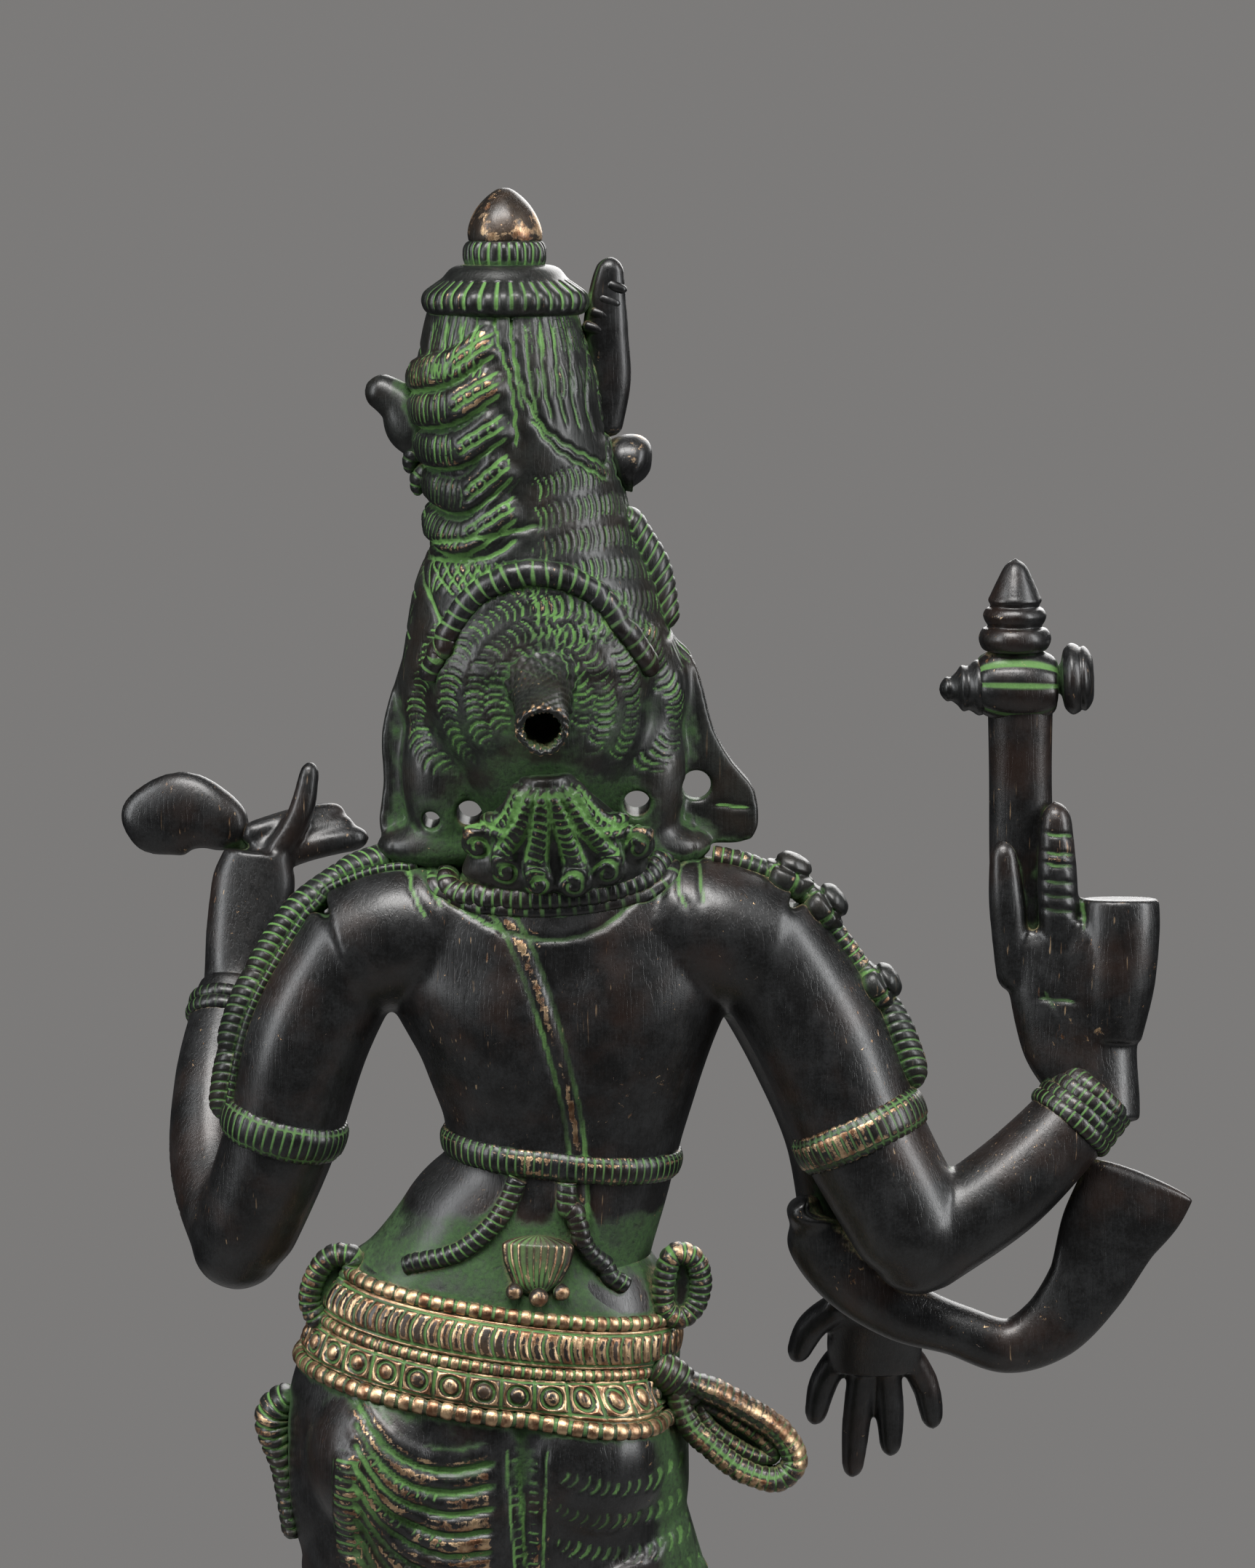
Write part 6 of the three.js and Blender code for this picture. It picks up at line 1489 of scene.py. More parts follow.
def makeScarf():
    v = scarfValues
    fin = [((-36.6, 0.6, 209), 3.8, 2.2), ((-38.6, 1.4, 203.6), 4.6, 2.8), ((-44, 2.4, 198), 5.4, 3.2),
           ((-51, 3.6, 193.2), 4.6, 3.4), ((-58.6, 4.6, 190.6), 3.7, 3.4), ((-66, 5, 188.4), 3.9, 3.2),
           ((-71.8, 5, 191), 4.8, 2.8), ((-76.6, 5, 197), 5.6, 2.4), ((-80.2, 5, 205.2), 7.2, 2),
               ((-83, 5, 210), 8, 1.6),
           ((-84.4, 5, 213.4), 8.2, 1.2)]
    points, faces, marks = ribbedLoft(fin, (0.3, 0, 0.95), lines=v["lines"], lineDepth=v["lineDepth"],
        rows=260,
                                      columns=110, round=1.4, line=0.07)
    addPiece("scarf_cast", points, faces, "dark_patina", ["scarf"], engraved=marks * 0.5)


makeScarf()


# hands and what they hold
handValues = {"voxel": 0.36, "rounds": 7}


def fingerLoft(points, radius, rows=26):
    count = len(points)
    sizes = [radius * (1, 1.02, 0.96, 0.9, 0.8)[min(i, 4)] if i < count - 1 else radius * 0.72
        for i in range(count)]
    return ribbedLoft([(p, s, s * 0.94) for p, s in zip(points, sizes)], (0.3, 0.2, 1), rows=rows,
        columns=24, round=radius)[:2]


def addHand(name, parts, replaced, cuts=()):
    skin = skinOf(parts, handValues["voxel"], handValues["rounds"])
    skin["flat"] = skin["points"][:, [0, 2]]
    skin["on"] = skin["normals"][:, 1] > 0.2
    for path in cuts:
        cutLine(skin, path, line=0.3, depth=0.36)
    finishSkin(name, skin, "dark_patina", replaced)


def makeLeftHand():
    w = leftWrist
    palm = loft([(off(w, -0.3, 1, -2), 5, 4.6), (off(w, -0.4, -1.4, 2), 5, 4.2),
        (off(w, -1.4, -3.4, 9), 5.8, 3.8),
                 (off(w, -2.6, -5, 16), 6.2, 3.4), (off(w, -3.2, -5.6, 20.6), 5, 2.8)])
    parts = [palm]
    for i in range(3):
        parts.append(fingerLoft([off(w, -3 + i * 1.2, -6 - i * 0.6, 18 + i * 2.2),
            off(w, -9.5, -8 - i, 20.6 + i * 2.1),
                                 off(w, -14.4 - (2 - i) * 1.2, -9.6 - i, 22 + i * 1.6),
                                     off(w, -19.4 + i * 2, -10.6, 22 + i * 1.5)], 2.05))
    parts.append(fingerLoft([off(w, -5, -5.4, 19), off(w, -9.4, -6.4, 26), off(w, -11.2, -7.4, 34)], 1.9))
    parts.append(fingerLoft([off(w, 0.6, -4, 9), off(w, -0.6, -9.6, 15.6), off(w, -5, -12.4, 20.5)], 2.3))
    addHand("left_hand_cast", parts, ["left_hand"])
    stalk = fingerLoft([off(w, -6, -9.8, 10), off(w, -4, -9.4, 17), off(w, 1, -8.4, 24)], 1.7)
    leaf = [(off(w, -1, -8.6, 21.6), 3, 2.6), (off(w, 3.5, -8.6, 25), 4.8, 3),
        (off(w, 8, -9, 26), 6.2, 2.8),
            (off(w, 12.2, -9.4, 24), 6, 2.4), (off(w, 15, -9.6, 20.6), 3.8, 1.8)]
    broad = ribbedLoft(leaf, (0, 0, 1), round=3.4, rows=70, columns=48)[:2]
    fused = skinOf([stalk, broad], 0.4, 6)
    finishSkin("held_lily_cast", fused, "dark_patina", ["held_lily"])


def makeRearHand():
    w = rearWrist
    shaftFoot = off(w, 9.8, -5.6, 22.4)
    parts = [loft([(off(w, -0.2, 0.6, -3), 5.8, 5), (off(w, 0.2, -0.8, 1.4), 6.2, 4.8),
        (off(w, 2.2, -2.2, 8.4), 8.4, 4.8),
                   (off(w, 3, -3, 16), 9.4, 4.6), (off(w, 3.4, -3.6, 22), 9.6, 4.2),
                       (off(w, 3.8, -4, 24.6), 8.6, 3.4)])]
    parts.append(loft([(off(w, -1.6, -1.2, 9), 4.6, 4.2), (off(w, -2.6, -1.4, 17), 5.4, 4.8),
        (off(w, -3, -1.8, 24), 5.6, 4.8),
                       (off(w, -3, -2.2, 28.6), 5.5, 4.4)]))
    parts.append(loft([(off(w, 0.6, -2, 10), 6, 4.4), (off(w, 1, -2.4, 20), 6, 4.2),
        (off(w, 1.2, -2.8, 25.4), 5, 3.4)]))
    parts.append(fingerLoft([off(w, 11.2, -3.4, 15), off(w, 12.6, -2.8, 27), off(w, 13.4, -3, 37)], 2.7))
    parts.append(fingerLoft([off(w, 5, -2.4, 18), off(w, 5.8, -1.8, 30), off(w, 6.2, -2.2, 42.4)], 2.9))
    knuckles = [[(w[0] + 3.2, w[2] + z), (w[0] + 8.4, w[2] + z + 0.5)]
        for z in (27, 29, 31, 33.4, 35, 37.6)]
    knuckles += [[(w[0] + 2.2, w[2] + 24), (w[0] + 2.6, w[2] + 30)],
        [(w[0] + 9, w[2] + 24), (w[0] + 9.4, w[2] + 34)],
                 [(w[0] + 6, w[2] + 13), (w[0] + 8, w[2] + 16.4)],
                     [(w[0] + 3, w[2] + 14.6), (w[0] + 9, w[2] + 15)]]
    addHand("right_rear_hand_cast", parts, ["right_rear_hand"], knuckles)
    shaft = [(off(shaftFoot, 0.4, 0, -1), 4, 3), (off(shaftFoot, 0.8, 0.4, 11.5), 4.5, 3.3),
        (off(shaftFoot, 1.1, 0.6, 23), 4.4, 3.5),
             (off(shaftFoot, 1.3, 0.8, 36), 4.6, 3.8)]
    addJoined("axe_shaft_cast", [ribbedLoft(shaft, round=0.8, rows=70)], "dark_patina",
              ["axe_shaft"])
    neck = off(shaftFoot, 1.8, 0.8, 36)
    block = [(0.1, -5.6), (3.6, -5.4), (4.8, -3.6), (5.4, 0), (4.8, 3.6), (3.6, 5.4), (0.1, 5.6)]
    knob = [(0.1, -1), (3.3, -0.6), (3.9, 0.6), (3.3, 1.6), (3.1, 2), (3.2, 2.8), (2.3, 3.6), (1.7, 4.4),
        (1.7, 5), (0.8, 5.8), (0.1, 6)]
    disc = [(0.1, -2.6), (2, -2.4), (2.1, -1.4), (4.2, -0.7), (5, 0.3), (4.6, 1.3), (4.4, 1.5), (4.5, 2.1),
        (3.2, 3.1), (0.1, 3.4)]
    parts = [turnedSkin(block, neck, (1, 0, 0.02), ribs=8, ribDepth=0.25, columns=72, rows=60),
             turnedSkin(knob, off(neck, 4.8, 0, -0.4), (1, 0, -0.05), columns=60, rows=80),
             turnedSkin(disc, off(neck, -7.4, 0, 0.8), (-1, 0.1, 0.05), columns=60, rows=80)]
    addJoined("axe_head_cast", parts, "dark_patina", ["axe_head"])
    foot = off(shaftFoot, 2.2, 0.8, 41.6)
    cone = [(0.1, -1), (4.2, -0.8), (4.9, 0.2), (5, 1.2), (4.5, 2.2), (3.8, 2.6), (4.2, 3.4), (4.4, 4.2),
        (4, 5), (3.4, 5.4),
            (3.7, 6.2), (3.4, 7), (2.5, 9), (1.3, 11.2), (0.1, 12)]
    addJoined("axe_finial_cast", [turnedSkin(cone, foot, rows=110, wobble=0.015)], "dark_patina",
        ["axe_finial"])


def makeFrontHand():
    w = frontWrist
    parts = [loft([(off(w, 0.4, 2, 1.4), 5.2, 4.8), (off(w, 0, -0.6, 0), 5.2, 4.4),
        (off(w, -0.6, -5.4, -4.4), 6.6, 3.8),
                   (off(w, -0.8, -8.4, -11), 7.4, 3.4), (off(w, -0.8, -9.6, -15.4), 6.8, 3)])]
    for x, knee, tip in ((9, -18, -25), (3, -24, -33.4), (-3, -22, -30), (-9.6, -19, -25.6)):
        parts.append(fingerLoft([off(w, x * 0.52 - 0.8, -9.4, -12.5), off(w, x * 0.85 - 0.8, -11.2, knee),
            off(w, x - 0.6, -11.4, tip)], 2.2))
    parts.append(fingerLoft([off(w, 4, -3, -3), off(w, 9, -6.6, -8), off(w, 11.6, -8, -14)], 2.3))
    addHand("right_front_hand_cast", parts, ["right_front_hand"])


makeLeftHand()
makeRearHand()
makeFrontHand()
print("stage: hands")


# pedestal
pedestalValues = {"petals": 18, "petalWide": 7.2, "voxel": 0.7}


def makeSeat():
    v = pedestalValues
    low, high = (c.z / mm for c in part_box("lotus_seat"))
    share = 0.86
    core = [(0.1, 0), (39.6, 0.1), (40.8, 0.8), (40.6, 2.6), (38.4, 4.2), (34.6, 9), (31.4, 12.8),
        (31, 14.4), (31.6, 16),
            (34, 19), (36, 23.4), (36.8, 25.6), (36.2, 26.6), (35.4, 27.2), (35.2, 28.4),
                (35.4, high - low - 0.6),
            (34.8, high - low), (0.1, high - low)]
    parts = [turnedSkin(core, (0, 0, low), columns=240, rows=120, depthShare=share)]
    for row in range(2):
        for k in range(v["petals"]):
            a = 2 * math.pi * (k + 0.5 * row) / v["petals"]

            def at(radius, rise):
                return np.array((radius * math.cos(a), radius * share * math.sin(a), low + rise))
            wide = v["petalWide"]
            side = (-math.sin(a), share * math.cos(a), 0)
            if row:  # upper petals open upwards
                stations = [(at(30.6, 14.6), wide * 0.7, 1), (at(34, 17.6), wide * 0.82, 1.7),
                    (at(37.4, 21.4), wide * 0.78, 1.9),
                            (at(38.8, 24.6), wide * 0.46, 1.6), (at(39.2, 26.6), wide * 0.1, 0.7)]
            else:
                stations = [(at(30.6, 14.2), wide * 0.7, 1), (at(34.4, 11.6), wide * 0.84, 1.8),
                    (at(38, 7.6), wide * 0.82, 2),
                            (at(39.6, 4.4), wide * 0.5, 1.6), (at(40, 2.4), wide * 0.1, 0.7)]
            parts.append(ribbedLoft(stations, side, lines=(1.15, 1.99, 4.29, 5.13), lineDepth=0.22, rows=40,
                columns=56,
                                    round=0.8, line=0.09))
    beads = [(36 * math.cos(a), 36 * share * math.sin(a), low + 27.6)
        for a in np.linspace(0, 2 * np.pi, 40, endpoint=False)]
    parts.append(ribbedCord("", beads, 1.0, "", pitch=2.1, rib=0.4, closed=True, build=False))
    addJoined("lotus_seat_cast", parts, "pedestal_bronze", ["lotus_seat"])


def makePlinth():
    _, high = (np.array(c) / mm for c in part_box("plinth"))
    skin = softened(["plinth"], 0.8, 4, 0.1)
    points = skin["points"]
    skin["points"][:, 2] = np.clip(points[:, 2], 0, high[2])
    faceX = np.abs(skin["normals"][:, 0]) > 0.7
    waistBand = easeIn(points[:, 2], 10.4, 11.2) * easeIn(17 - points[:, 2], 0, 0.8)
    along = np.where(faceX, points[:, 1], points[:, 0])
    sideways = np.abs(skin["normals"][:, 2]) < 0.5
    cell = (np.mod(along / 6.4 + 0.5, 1) - 0.5) * 6.4
    away = np.hypot(cell, (points[:, 2] - 13.8) * 1.0)
    boss = np.clip(1 - (away / 2.1) ** 2, 0, 1) * waistBand * sideways
    ring = np.exp(-((away - 2.5) / 0.5) ** 2) * waistBand * sideways
    skin["lift"] += 0.9 * boss - 0.5 * ring
    skin["engraved"] = ring
    finishSkin("plinth_cast", skin, "pedestal_bronze", ["plinth"])
    low, high = (np.array(c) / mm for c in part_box("foot_plate"))
    plate = [(0.1, 0.02), (27.6, 0.04), (28, 0.4), (28, 1.6), (27.6, 2.4), (26.6, 2.9), (25.6, 3), (0.1, 3)]
    addJoined("foot_plate_cast", [turnedSkin(plate, (0, 0, sole - 3), columns=200, rows=50, depthShare=0.86,
        wobble=0.004)],
              "pedestal_bronze", ["foot_plate"])


makeSeat()
makePlinth()
print("stage: pedestal")

# shader node groups
def addNode(tree, kind, inputs=None, **settings):
    made = tree.nodes.new(kind)
    for key, value in settings.items():
        setattr(made, key, value)
    for key, value in (inputs or {}).items():
        if isinstance(value, bpy.types.NodeSocket):
            tree.links.new(value, made.inputs[key])
        else:
            made.inputs[key].default_value = value
    return made


def maths(tree, operation, a, b=0.0, clamp=False):
    made = addNode(tree, "ShaderNodeMath", {0: a, 1: b}, operation=operation)
    made.use_clamp = clamp
    return made.outputs[0]


def ease(tree, value, low, high, start=0.0, finish=1.0):
    made = addNode(tree, "ShaderNodeMapRange", {"Value": value, "From Min": low, "From Max": high,
                                                "To Min": start, "To Max": finish},
                                                    interpolation_type="SMOOTHSTEP")
    return made.outputs["Result"]


def blendColour(tree, share, a, b):
    made = addNode(tree, "ShaderNodeMix", {0: share, 6: a, 7: b}, data_type="RGBA")
    return made.outputs[2]


def noise(tree, place, scale, detail=4.0, rough=0.55, distort=0.0):
    made = addNode(tree, "ShaderNodeTexNoise", {"Vector": place, "Scale": scale, "Detail": detail,
                                                "Roughness": rough, "Distortion": distort})
    return made.outputs["Fac"]


def newGroup(name, inputs, outputs):
    group = bpy.data.node_groups.new(name, "ShaderNodeTree")
    kinds = {"value": "NodeSocketFloat", "colour": "NodeSocketColor"}
    for label, value in inputs.items():
        kind = "value" if isinstance(value, (int, float)) else "colour"
        group.interface.new_socket(label, in_out="INPUT", socket_type=kinds[kind]).default_value = value
    for label, kind in outputs.items():
        group.interface.new_socket(label, in_out="OUTPUT", socket_type=kinds[kind])
    entry = group.nodes.new("NodeGroupInput").outputs
    leave = group.nodes.new("NodeGroupOutput").inputs
    place = addNode(group, "ShaderNodeTexCoord").outputs["Object"]
    return group, entry, leave, place


def mark(tree, name):
    return addNode(tree, "ShaderNodeAttribute", attribute_name=name).outputs["Fac"]


def makeVerdigris():
    group, entry, leave, place = newGroup(
        "verdigrisBloom", {"Amount": 0.5, "In Grooves": 1.0, "Bright": (0.085, 0.2, 0.045, 1),
            "Deep": (0.014, 0.042, 0.009, 1)},
        {"Mask": "value", "Colour": "colour", "Height": "value"})
    groove, hollow, shelter = mark(group, "engraved"), mark(group, "hollow"), mark(group, "shelter")
    patches = noise(group, place, 170, 5, 0.6)
    fine = noise(group, place, 1500, 4, 0.65)
    broad = noise(group, place, 60, 3, 0.5)
    inGroove = maths(group, "MULTIPLY", ease(group, groove, 0.3, 0.8), entry["In Grooves"])
    damp = maths(group, "ADD", maths(group, "MULTIPLY", shelter, 1.1),
        maths(group, "MULTIPLY", hollow, 0.5))
    damp = maths(group, "ADD", damp, maths(group, "MULTIPLY", mark(group, "bloom"), 0.42))
    damp = maths(group, "ADD", damp, maths(group, "MULTIPLY", maths(group, "SUBTRACT", patches, 0.5), 0.9))
    damp = maths(group, "ADD", damp, maths(group, "SUBTRACT", entry["Amount"], 1.0))
    crust = ease(group, damp, 0.02, 0.42)
    crust = maths(group, "MULTIPLY", crust, ease(group, fine, 0.3, 0.5, 0.55, 1.0))
    patchy = ease(group, broad, 0.34, 0.56, 0.3, 1.0)
    inGroove = maths(group, "MULTIPLY", inGroove, patchy)
    total = maths(group, "MAXIMUM", inGroove, crust)
    group.links.new(total, leave["Mask"])
    tone = maths(group, "ADD", maths(group, "MULTIPLY", fine, 0.5),
        maths(group, "MULTIPLY", inGroove, 0.55))
    group.links.new(blendColour(group, ease(group, tone, 0.15, 0.85), entry["Deep"], entry["Bright"]),
        leave["Colour"])
    group.links.new(maths(group, "MULTIPLY", fine, total), leave["Height"])
    return group


def makeDust():
    group, entry, leave, place = newGroup("dustInCorners", {"Amount": 0.4, "Tint": (0.36, 0.25, 0.14, 1)},
                                          {"Mask": "value", "Colour": "colour"})
    up = addNode(group, "ShaderNodeSeparateXYZ", {0: addNode(group,
        "ShaderNodeNewGeometry").outputs["Normal"]})
    lies = ease(group, up.outputs["Z"], -0.1, 0.75)
    shelter = ease(group, mark(group, "shelter"), 0.42, 0.8)
    grains = noise(group, place, 2400, 3, 0.7)
    drift = noise(group, place, 110, 4, 0.6)
    dust = maths(group, "MULTIPLY", maths(group, "MULTIPLY", lies, shelter), ease(group, drift, 0.42, 0.6))
    dust = maths(group, "MULTIPLY", dust, ease(group, grains, 0.36, 0.56))
    group.links.new(maths(group, "MULTIPLY", dust, entry["Amount"], clamp=True), leave["Mask"])
    dark = addNode(group, "ShaderNodeMix", {0: grains, 6: (0.12, 0.08, 0.04, 1), 7: entry["Tint"]},
        data_type="RGBA")
    group.links.new(dark.outputs[2], leave["Colour"])
    return group


def makeWear():
    group, entry, leave, place = newGroup(
        "brassRub", {"Amount": 0.4, "Chips": 0.3, "Bright": (0.6, 0.42, 0.25, 1),
            "Warm": (0.2, 0.1, 0.055, 1),
         "Scratches": 0.5},
        {"Mask": "value", "Colour": "colour"})
    ridge = mark(group, "ridge")
    flakes = noise(group, place, 900, 5, 0.7, 0.6)
    zones = noise(group, place, 95, 3, 0.5)
    rub = maths(group, "ADD", maths(group, "MULTIPLY", ridge, 0.9),
        maths(group, "SUBTRACT", entry["Amount"], 1.0))
    rub = maths(group, "ADD", rub, maths(group, "MULTIPLY", maths(group, "SUBTRACT", flakes, 0.5), 0.9))
    rub = maths(group, "ADD", rub, maths(group, "MULTIPLY", maths(group, "SUBTRACT", zones, 0.5), 1.0))
    rub = maths(group, "ADD", rub, maths(group, "MULTIPLY", mark(group, "bare"), 0.6))
    rub = maths(group, "SUBTRACT", rub, maths(group, "MULTIPLY", mark(group, "shelter"), 0.5))
    rub = ease(group, rub, 0.12, 0.3)
    chipLevel = maths(group, "SUBTRACT", 0.86, maths(group, "MULTIPLY", entry["Chips"], 0.2))
    chip = maths(group, "ADD", maths(group, "MULTIPLY", flakes, 0.75),
        maths(group, "MULTIPLY", zones, 0.42))
    chip = maths(group, "GREATER_THAN", chip, chipLevel)
    total = maths(group, "MAXIMUM", rub, chip)
    areas = ease(group, noise(group, place, 38, 3, 0.5), 0.5, 0.62)
    for turned, seed in (((0.0, 0.8, 0.1), 1.0), ((0.1, -0.5, 0.0), 2.0)):
        drawn = addNode(group, "ShaderNodeMapping", {"Vector": place, "Location": (seed, 0.3, seed),
            "Rotation": turned,
                                                     "Scale": (1, 1, 0.045)})
        fibre = noise(group, drawn.outputs[0], 2300, 1, 0.4)
        scratch = maths(group, "MULTIPLY", ease(group, fibre, 0.73, 0.8), areas)
        total = maths(group, "MAXIMUM", total, maths(group, "MULTIPLY", scratch, entry["Scratches"]))
    group.links.new(total, leave["Mask"])
    tone = noise(group, place, 420, 3, 0.6)
    group.links.new(blendColour(group, ease(group, tone, 0.35, 0.65), entry["Warm"], entry["Bright"]),
        leave["Colour"])
    return group


def makeGrain():
    group, entry, leave, place = newGroup("waxedSkin", {"Mottle": 1.0, "Scratch": 1.0},
                                          {"Tone": "value", "Roughness": "value", "Height": "value",
                                              "Brown": "value"})
    cloud = noise(group, place, 210, 6, 0.68)
    speck = noise(group, place, 2600, 3, 0.7)
    slanted = addNode(group, "ShaderNodeMapping", {"Vector": place, "Rotation": (0.3, 0.9, 0.4),
        "Scale": (1, 1, 0.07)})
    brushed = noise(group, slanted.outputs[0], 2100, 2, 0.6)
    tone = maths(group, "ADD", maths(group, "MULTIPLY", cloud, 0.6), maths(group, "MULTIPLY", speck, 0.4))
    group.links.new(maths(group, "MULTIPLY", tone, entry["Mottle"]), leave["Tone"])
    rough = maths(group, "ADD", maths(group, "MULTIPLY", cloud, 0.22),
        maths(group, "MULTIPLY", brushed, 0.16))
    group.links.new(rough, leave["Roughness"])
    lines = maths(group, "MULTIPLY", ease(group, brushed, 0.42, 0.5), entry["Scratch"])
    height = maths(group, "ADD", maths(group, "MULTIPLY", speck, 0.6), maths(group, "MULTIPLY", lines, 0.4))
    group.links.new(height, leave["Height"])
    group.links.new(ease(group, noise(group, place, 75, 4, 0.6), 0.46, 0.7), leave["Brown"])
    return group


verdigrisGroup, dustGroup, wearGroup, grainGroup = makeVerdigris(), makeDust(), makeWear(), makeGrain()


# finishes
def makeFinish(name, v):
    material = bpy.data.materials.new(name)
    material.use_nodes = True
    tree = material.node_tree
    shader = tree.nodes["Principled BSDF"]
    shader.inputs["Specular IOR Level"].default_value = 0.5
    shader.inputs["Coat Weight"].default_value = 0.25
    shader.inputs["Coat Roughness"].default_value = 0.24

    def place(group, **inputs):
        node = addNode(tree, "ShaderNodeGroup", node_tree=group)
        for key, value in inputs.items():
            node.inputs[key.replace("_", " ")].default_value = value
        return node.outputs

    grain = place(grainGroup)
    green = place(verdigrisGroup, Amount=v["verdigris"], In_Grooves=v["grooves"])
    wear = place(wearGroup, Amount=v["wear"], Chips=v["chips"], Scratches=v["scratches"])
    dust = place(dustGroup, Amount=v["dust"])
    colour = blendColour(tree, ease(tree, grain["Tone"], 0.4, 0.64), v["skin"], v["light"])
    colour = blendColour(tree, maths(tree, "MULTIPLY", grain["Brown"], 0.55), colour, v["brown"])
    colour = blendColour(tree, wear["Mask"], colour, wear["Colour"])
    notWorn = maths(tree, "SUBTRACT", 1.0, wear["Mask"])
    greenShare = maths(tree, "MULTIPLY", green["Mask"], ease(tree, notWorn, 0, 1, 0.35, 1.0))
    colour = blendColour(tree, greenShare, colour, green["Colour"])
    colour = blendColour(tree, dust["Mask"], colour, dust["Colour"])
    tree.links.new(colour, shader.inputs["Base Color"])
    earth = maths(tree, "MAXIMUM", greenShare, dust["Mask"])
    metal = maths(tree, "ADD", v["metal"], maths(tree, "MULTIPLY", wear["Mask"], 1 - v["metal"]))
    metal = maths(tree, "MULTIPLY", metal, maths(tree, "SUBTRACT", 1.0, earth))
    tree.links.new(metal, shader.inputs["Metallic"])
    rough = maths(tree, "ADD", v["rough"], grain["Roughness"])
    rough = maths(tree, "ADD", rough, maths(tree, "MULTIPLY", earth, 0.45), clamp=True)
    tree.links.new(rough, shader.inputs["Roughness"])
    height = maths(tree, "ADD", maths(tree, "MULTIPLY", grain["Height"], 0.5), green["Height"])
    height = maths(tree, "ADD", height, maths(tree, "MULTIPLY", wear["Mask"], -0.4))
    bump = addNode(tree, "ShaderNodeBump", {"Height": height, "Strength": 0.55, "Distance": 0.00014})
    tree.links.new(bump.outputs[0], shader.inputs["Normal"])
    return material


finishes = {name: makeFinish(name, values) for name, values in finishValues.items()}


# worn edges, hollows and sheltered places, measured on the finished pieces
markValues = {"rays": 6, "far": 7.0, "curve": 0.11, "smooth": 4}
# share of the worn brass that shows on the cords, where dirt keeps the ridges dark
rubbedShare = {"arch_cord_cast": 0.12, "chest_necklace_cast": 0.3, "necklace_cast": 0.2,
    "right_sash_loop_cast": 0.4,
               "left_back_cord_cast": 0.25, "right_back_cord_cast": 0.25, "left_armlet_cast": 0.4}


def markPieces():
    v = markValues
    allPoints, allFaces, start, spans = [], [], 0, []
    for piece in madePieces:
        points, faces = arraysOf(piece.data)
        points = points / mm
        spans.append((piece, points, faces, start))
        allPoints.append(points)
        allFaces.append(faces + start)
        start += len(points)
    tree = BVHTree.FromPolygons(np.vstack(allPoints).tolist(),
        [tuple(dict.fromkeys(f)) for f in np.vstack(allFaces).tolist()])
    turn = np.random.default_rng(5)
    cone = unit(turn.normal(size=(64, 3)))
    for piece, points, faces, _ in spans:
        edges = edgesOf(faces)
        normals = normalsOf(points, faces)
        soft = relax(points, edges, v["smooth"], 0.7)
        bend = ((soft - points) * normals).sum(1)
        shelter = np.zeros(len(points))
        count = v["rays"]
        for k in range(len(points)):
            n = normals[k]
            origin = Vector(points[k] + n * 0.12)
            hit = 0.0
            for j in range(count):
                d = cone[(k * 7 + j * 5) % 64] + n * 1.05
                found = tree.ray_cast(origin, Vector(d), v["far"])
                if found[3] is not None:
                    hit += 1 - 0.6 * found[3] / v["far"]
            shelter[k] = hit / count
        values = np.stack([shelter, shelter, shelter], axis=1)
        shelter = relax(values, edges, 3, 0.6)[:, 0]
        layers = {"hollow": np.clip(bend / v["curve"], 0, 1),
            "ridge": np.clip(-bend / v["curve"], 0, 1) * rubbedShare.get(piece.name, 1),
                  "shelter": np.clip(shelter * 1.25, 0, 1)}
        for name, level in layers.items():
            layer = piece.data.attributes.new(name, "FLOAT", "POINT")
            layer.data.foreach_set("value", level.astype(np.float32))
        piece.data.materials.append(finishes[piece["finish"]])


markPieces()
for name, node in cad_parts.items():  # what the frame still shows of its own
    node.data.materials.clear()
    node.data.materials.append(finishes["dark_patina"])
print("stage: finishes and wear on", len(madePieces), "pieces")


# floor, light and camera
studioValues = {"floor": (0.17, 0.168, 0.166, 1), "backdrop": (0.2, 0.195, 0.191, 1),
    "glow": (0.03, 0.0305, 0.032, 1)}


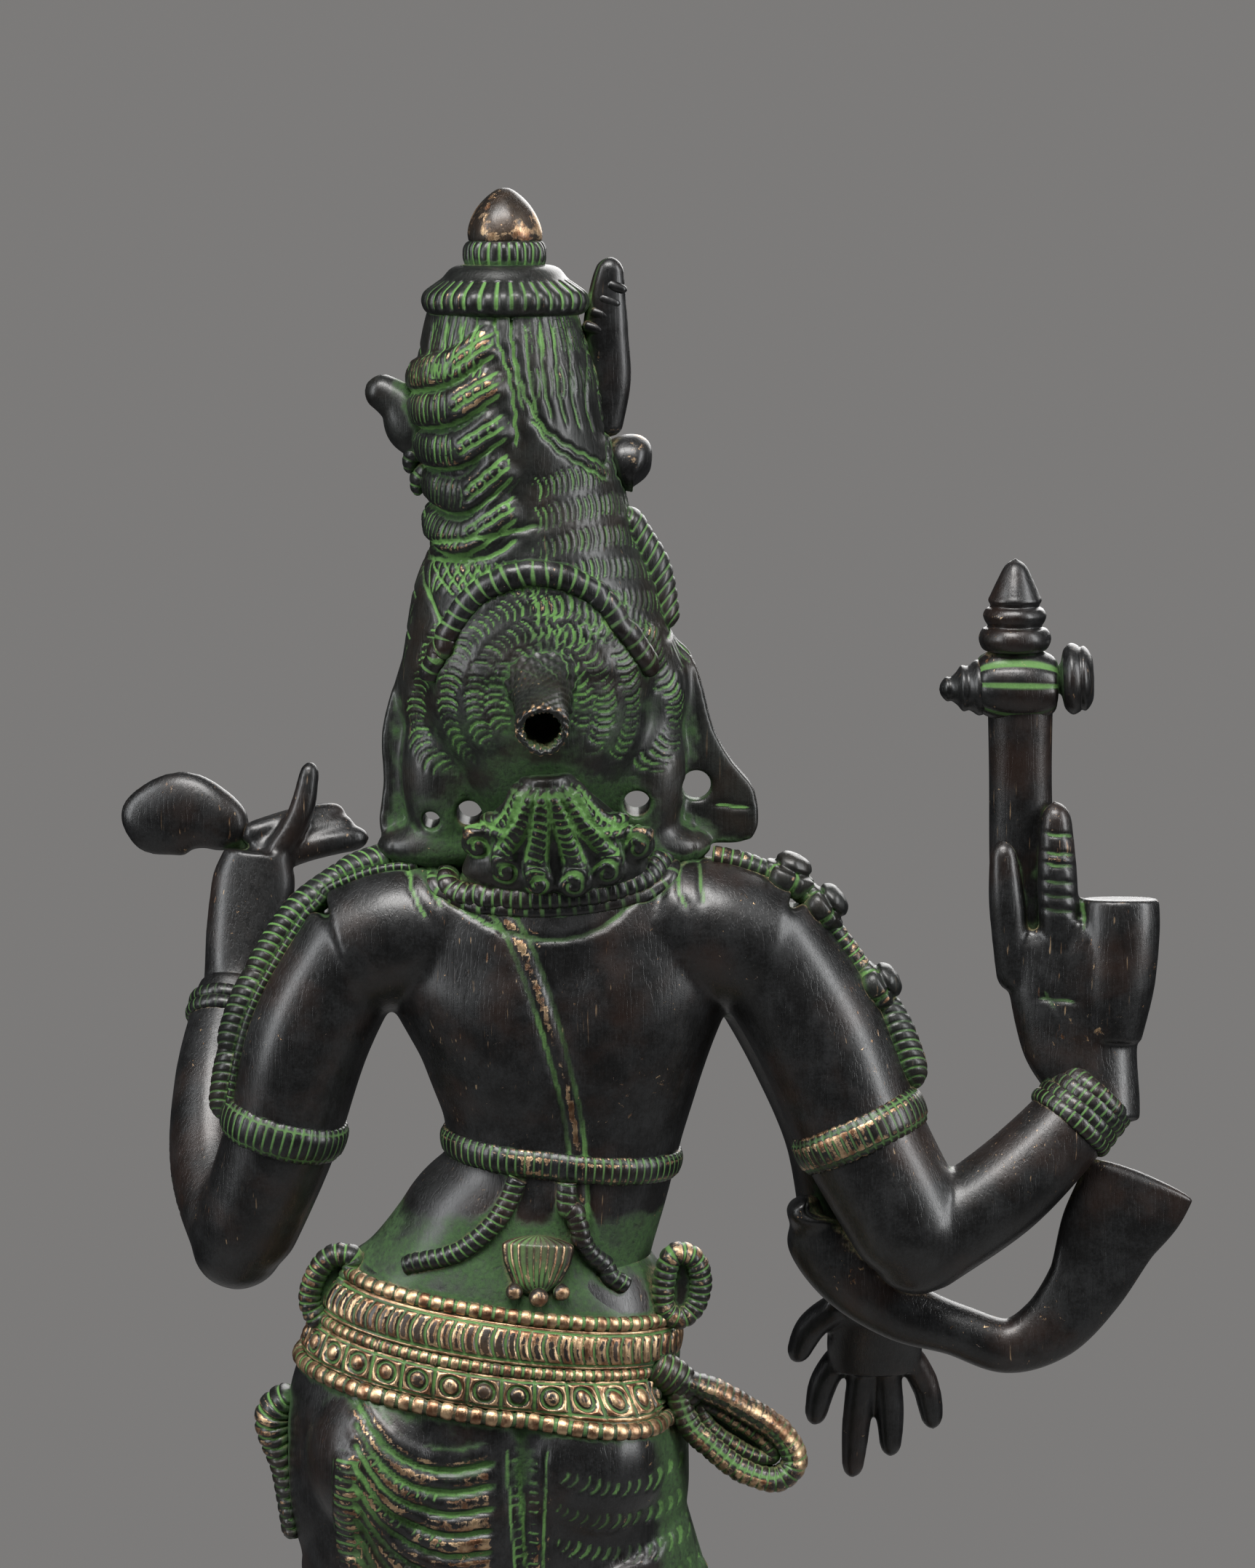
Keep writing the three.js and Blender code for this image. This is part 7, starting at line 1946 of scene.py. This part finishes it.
def makeFloor():
    count = 96
    rings = (0.0, 0.2, 0.34, 0.46)
    points = [(r * math.cos(a), r * math.sin(a), 0) for r in rings[1:]
              for a in np.linspace(0, 2 * np.pi, count, endpoint=False)]
    faces = [tuple(range(count))] + gridFaces(len(rings) - 1, count).tolist()
    mesh = bpy.data.meshes.new("floor")
    mesh.from_pydata(points, [], faces)
    floor = bpy.data.objects.new("floor", mesh)
    bpy.context.collection.objects.link(floor)
    material = bpy.data.materials.new("pale_floor")
    material.use_nodes = True
    tree = material.node_tree
    shader = tree.nodes["Principled BSDF"]
    place = addNode(tree, "ShaderNodeTexCoord").outputs["Object"]
    tone = noise(tree, place, 12, 3, 0.5)
    a = studioValues["floor"]
    tree.links.new(blendColour(tree, tone, a, tuple(c * 0.95 for c in a[:3]) + (1,)),
        shader.inputs["Base Color"])
    far = addNode(tree, "ShaderNodeVectorMath", {0: place}, operation="LENGTH").outputs["Value"]
    tree.links.new(ease(tree, far, 0.22, 0.45, 1.0, 0.0), shader.inputs["Alpha"])
    shader.inputs["Roughness"].default_value = 0.8
    mesh.materials.append(material)


def makeLights():
    lamps = [  # name, place, size, watts, colour
        ("overhead", (0.1, 0.5, 1.1), (0.7, 0.35), 17, (1, 0.985, 0.97)),
        ("leftSide", (0.95, 0.45, 0.6), (0.3, 0.9), 8, (0.96, 0.98, 1)),
        ("rightSide", (-0.98, 0.4, 0.6), (0.3, 0.9), 11, (0.98, 0.99, 1)),
        ("frontFill", (-0.35, -1.1, 0.8), (0.9, 0.9), 12, (1, 0.99, 0.98)),
    ]
    target = Vector((0, 0, 0.24))
    for name, place, size, watts, colour in lamps:
        data = bpy.data.lights.new(name, "AREA")
        data.shape, data.size, data.size_y = "RECTANGLE", *size
        data.energy, data.color = watts, colour
        lamp = bpy.data.objects.new(name, data)
        lamp.location = place
        lamp.rotation_euler = (target - Vector(place)).to_track_quat("-Z", "Y").to_euler()
        bpy.context.collection.objects.link(lamp)
    world = bpy.data.worlds.new("studio")
    bpy.context.scene.world = world
    world.use_nodes = True
    tree = world.node_tree
    seen = addNode(tree, "ShaderNodeLightPath").outputs["Is Camera Ray"]
    shade = blendColour(tree, seen, studioValues["glow"], studioValues["backdrop"])
    tree.links.new(shade, tree.nodes["Background"].inputs["Color"])


def makeCamera():
    data = bpy.data.cameras.new("camera")
    data.lens, data.sensor_width, data.sensor_fit = 125.2, 36, "HORIZONTAL"
    camera = bpy.data.objects.new("camera", data)
    target = Vector((-0.0122, 0.010, 0.2692))
    tilt = math.radians(8)
    back = Vector((0, math.cos(tilt), math.sin(tilt)))
    camera.location = target + back * 0.6
    camera.rotation_euler = (-back).to_track_quat("-Z", "Y").to_euler()
    data.clip_start, data.clip_end = 0.01, 20
    bpy.context.collection.objects.link(camera)
    bpy.context.scene.camera = camera


makeFloor()
makeLights()
makeCamera()
bpy.context.scene.view_settings.view_transform = "Standard"
print("stage: ready")
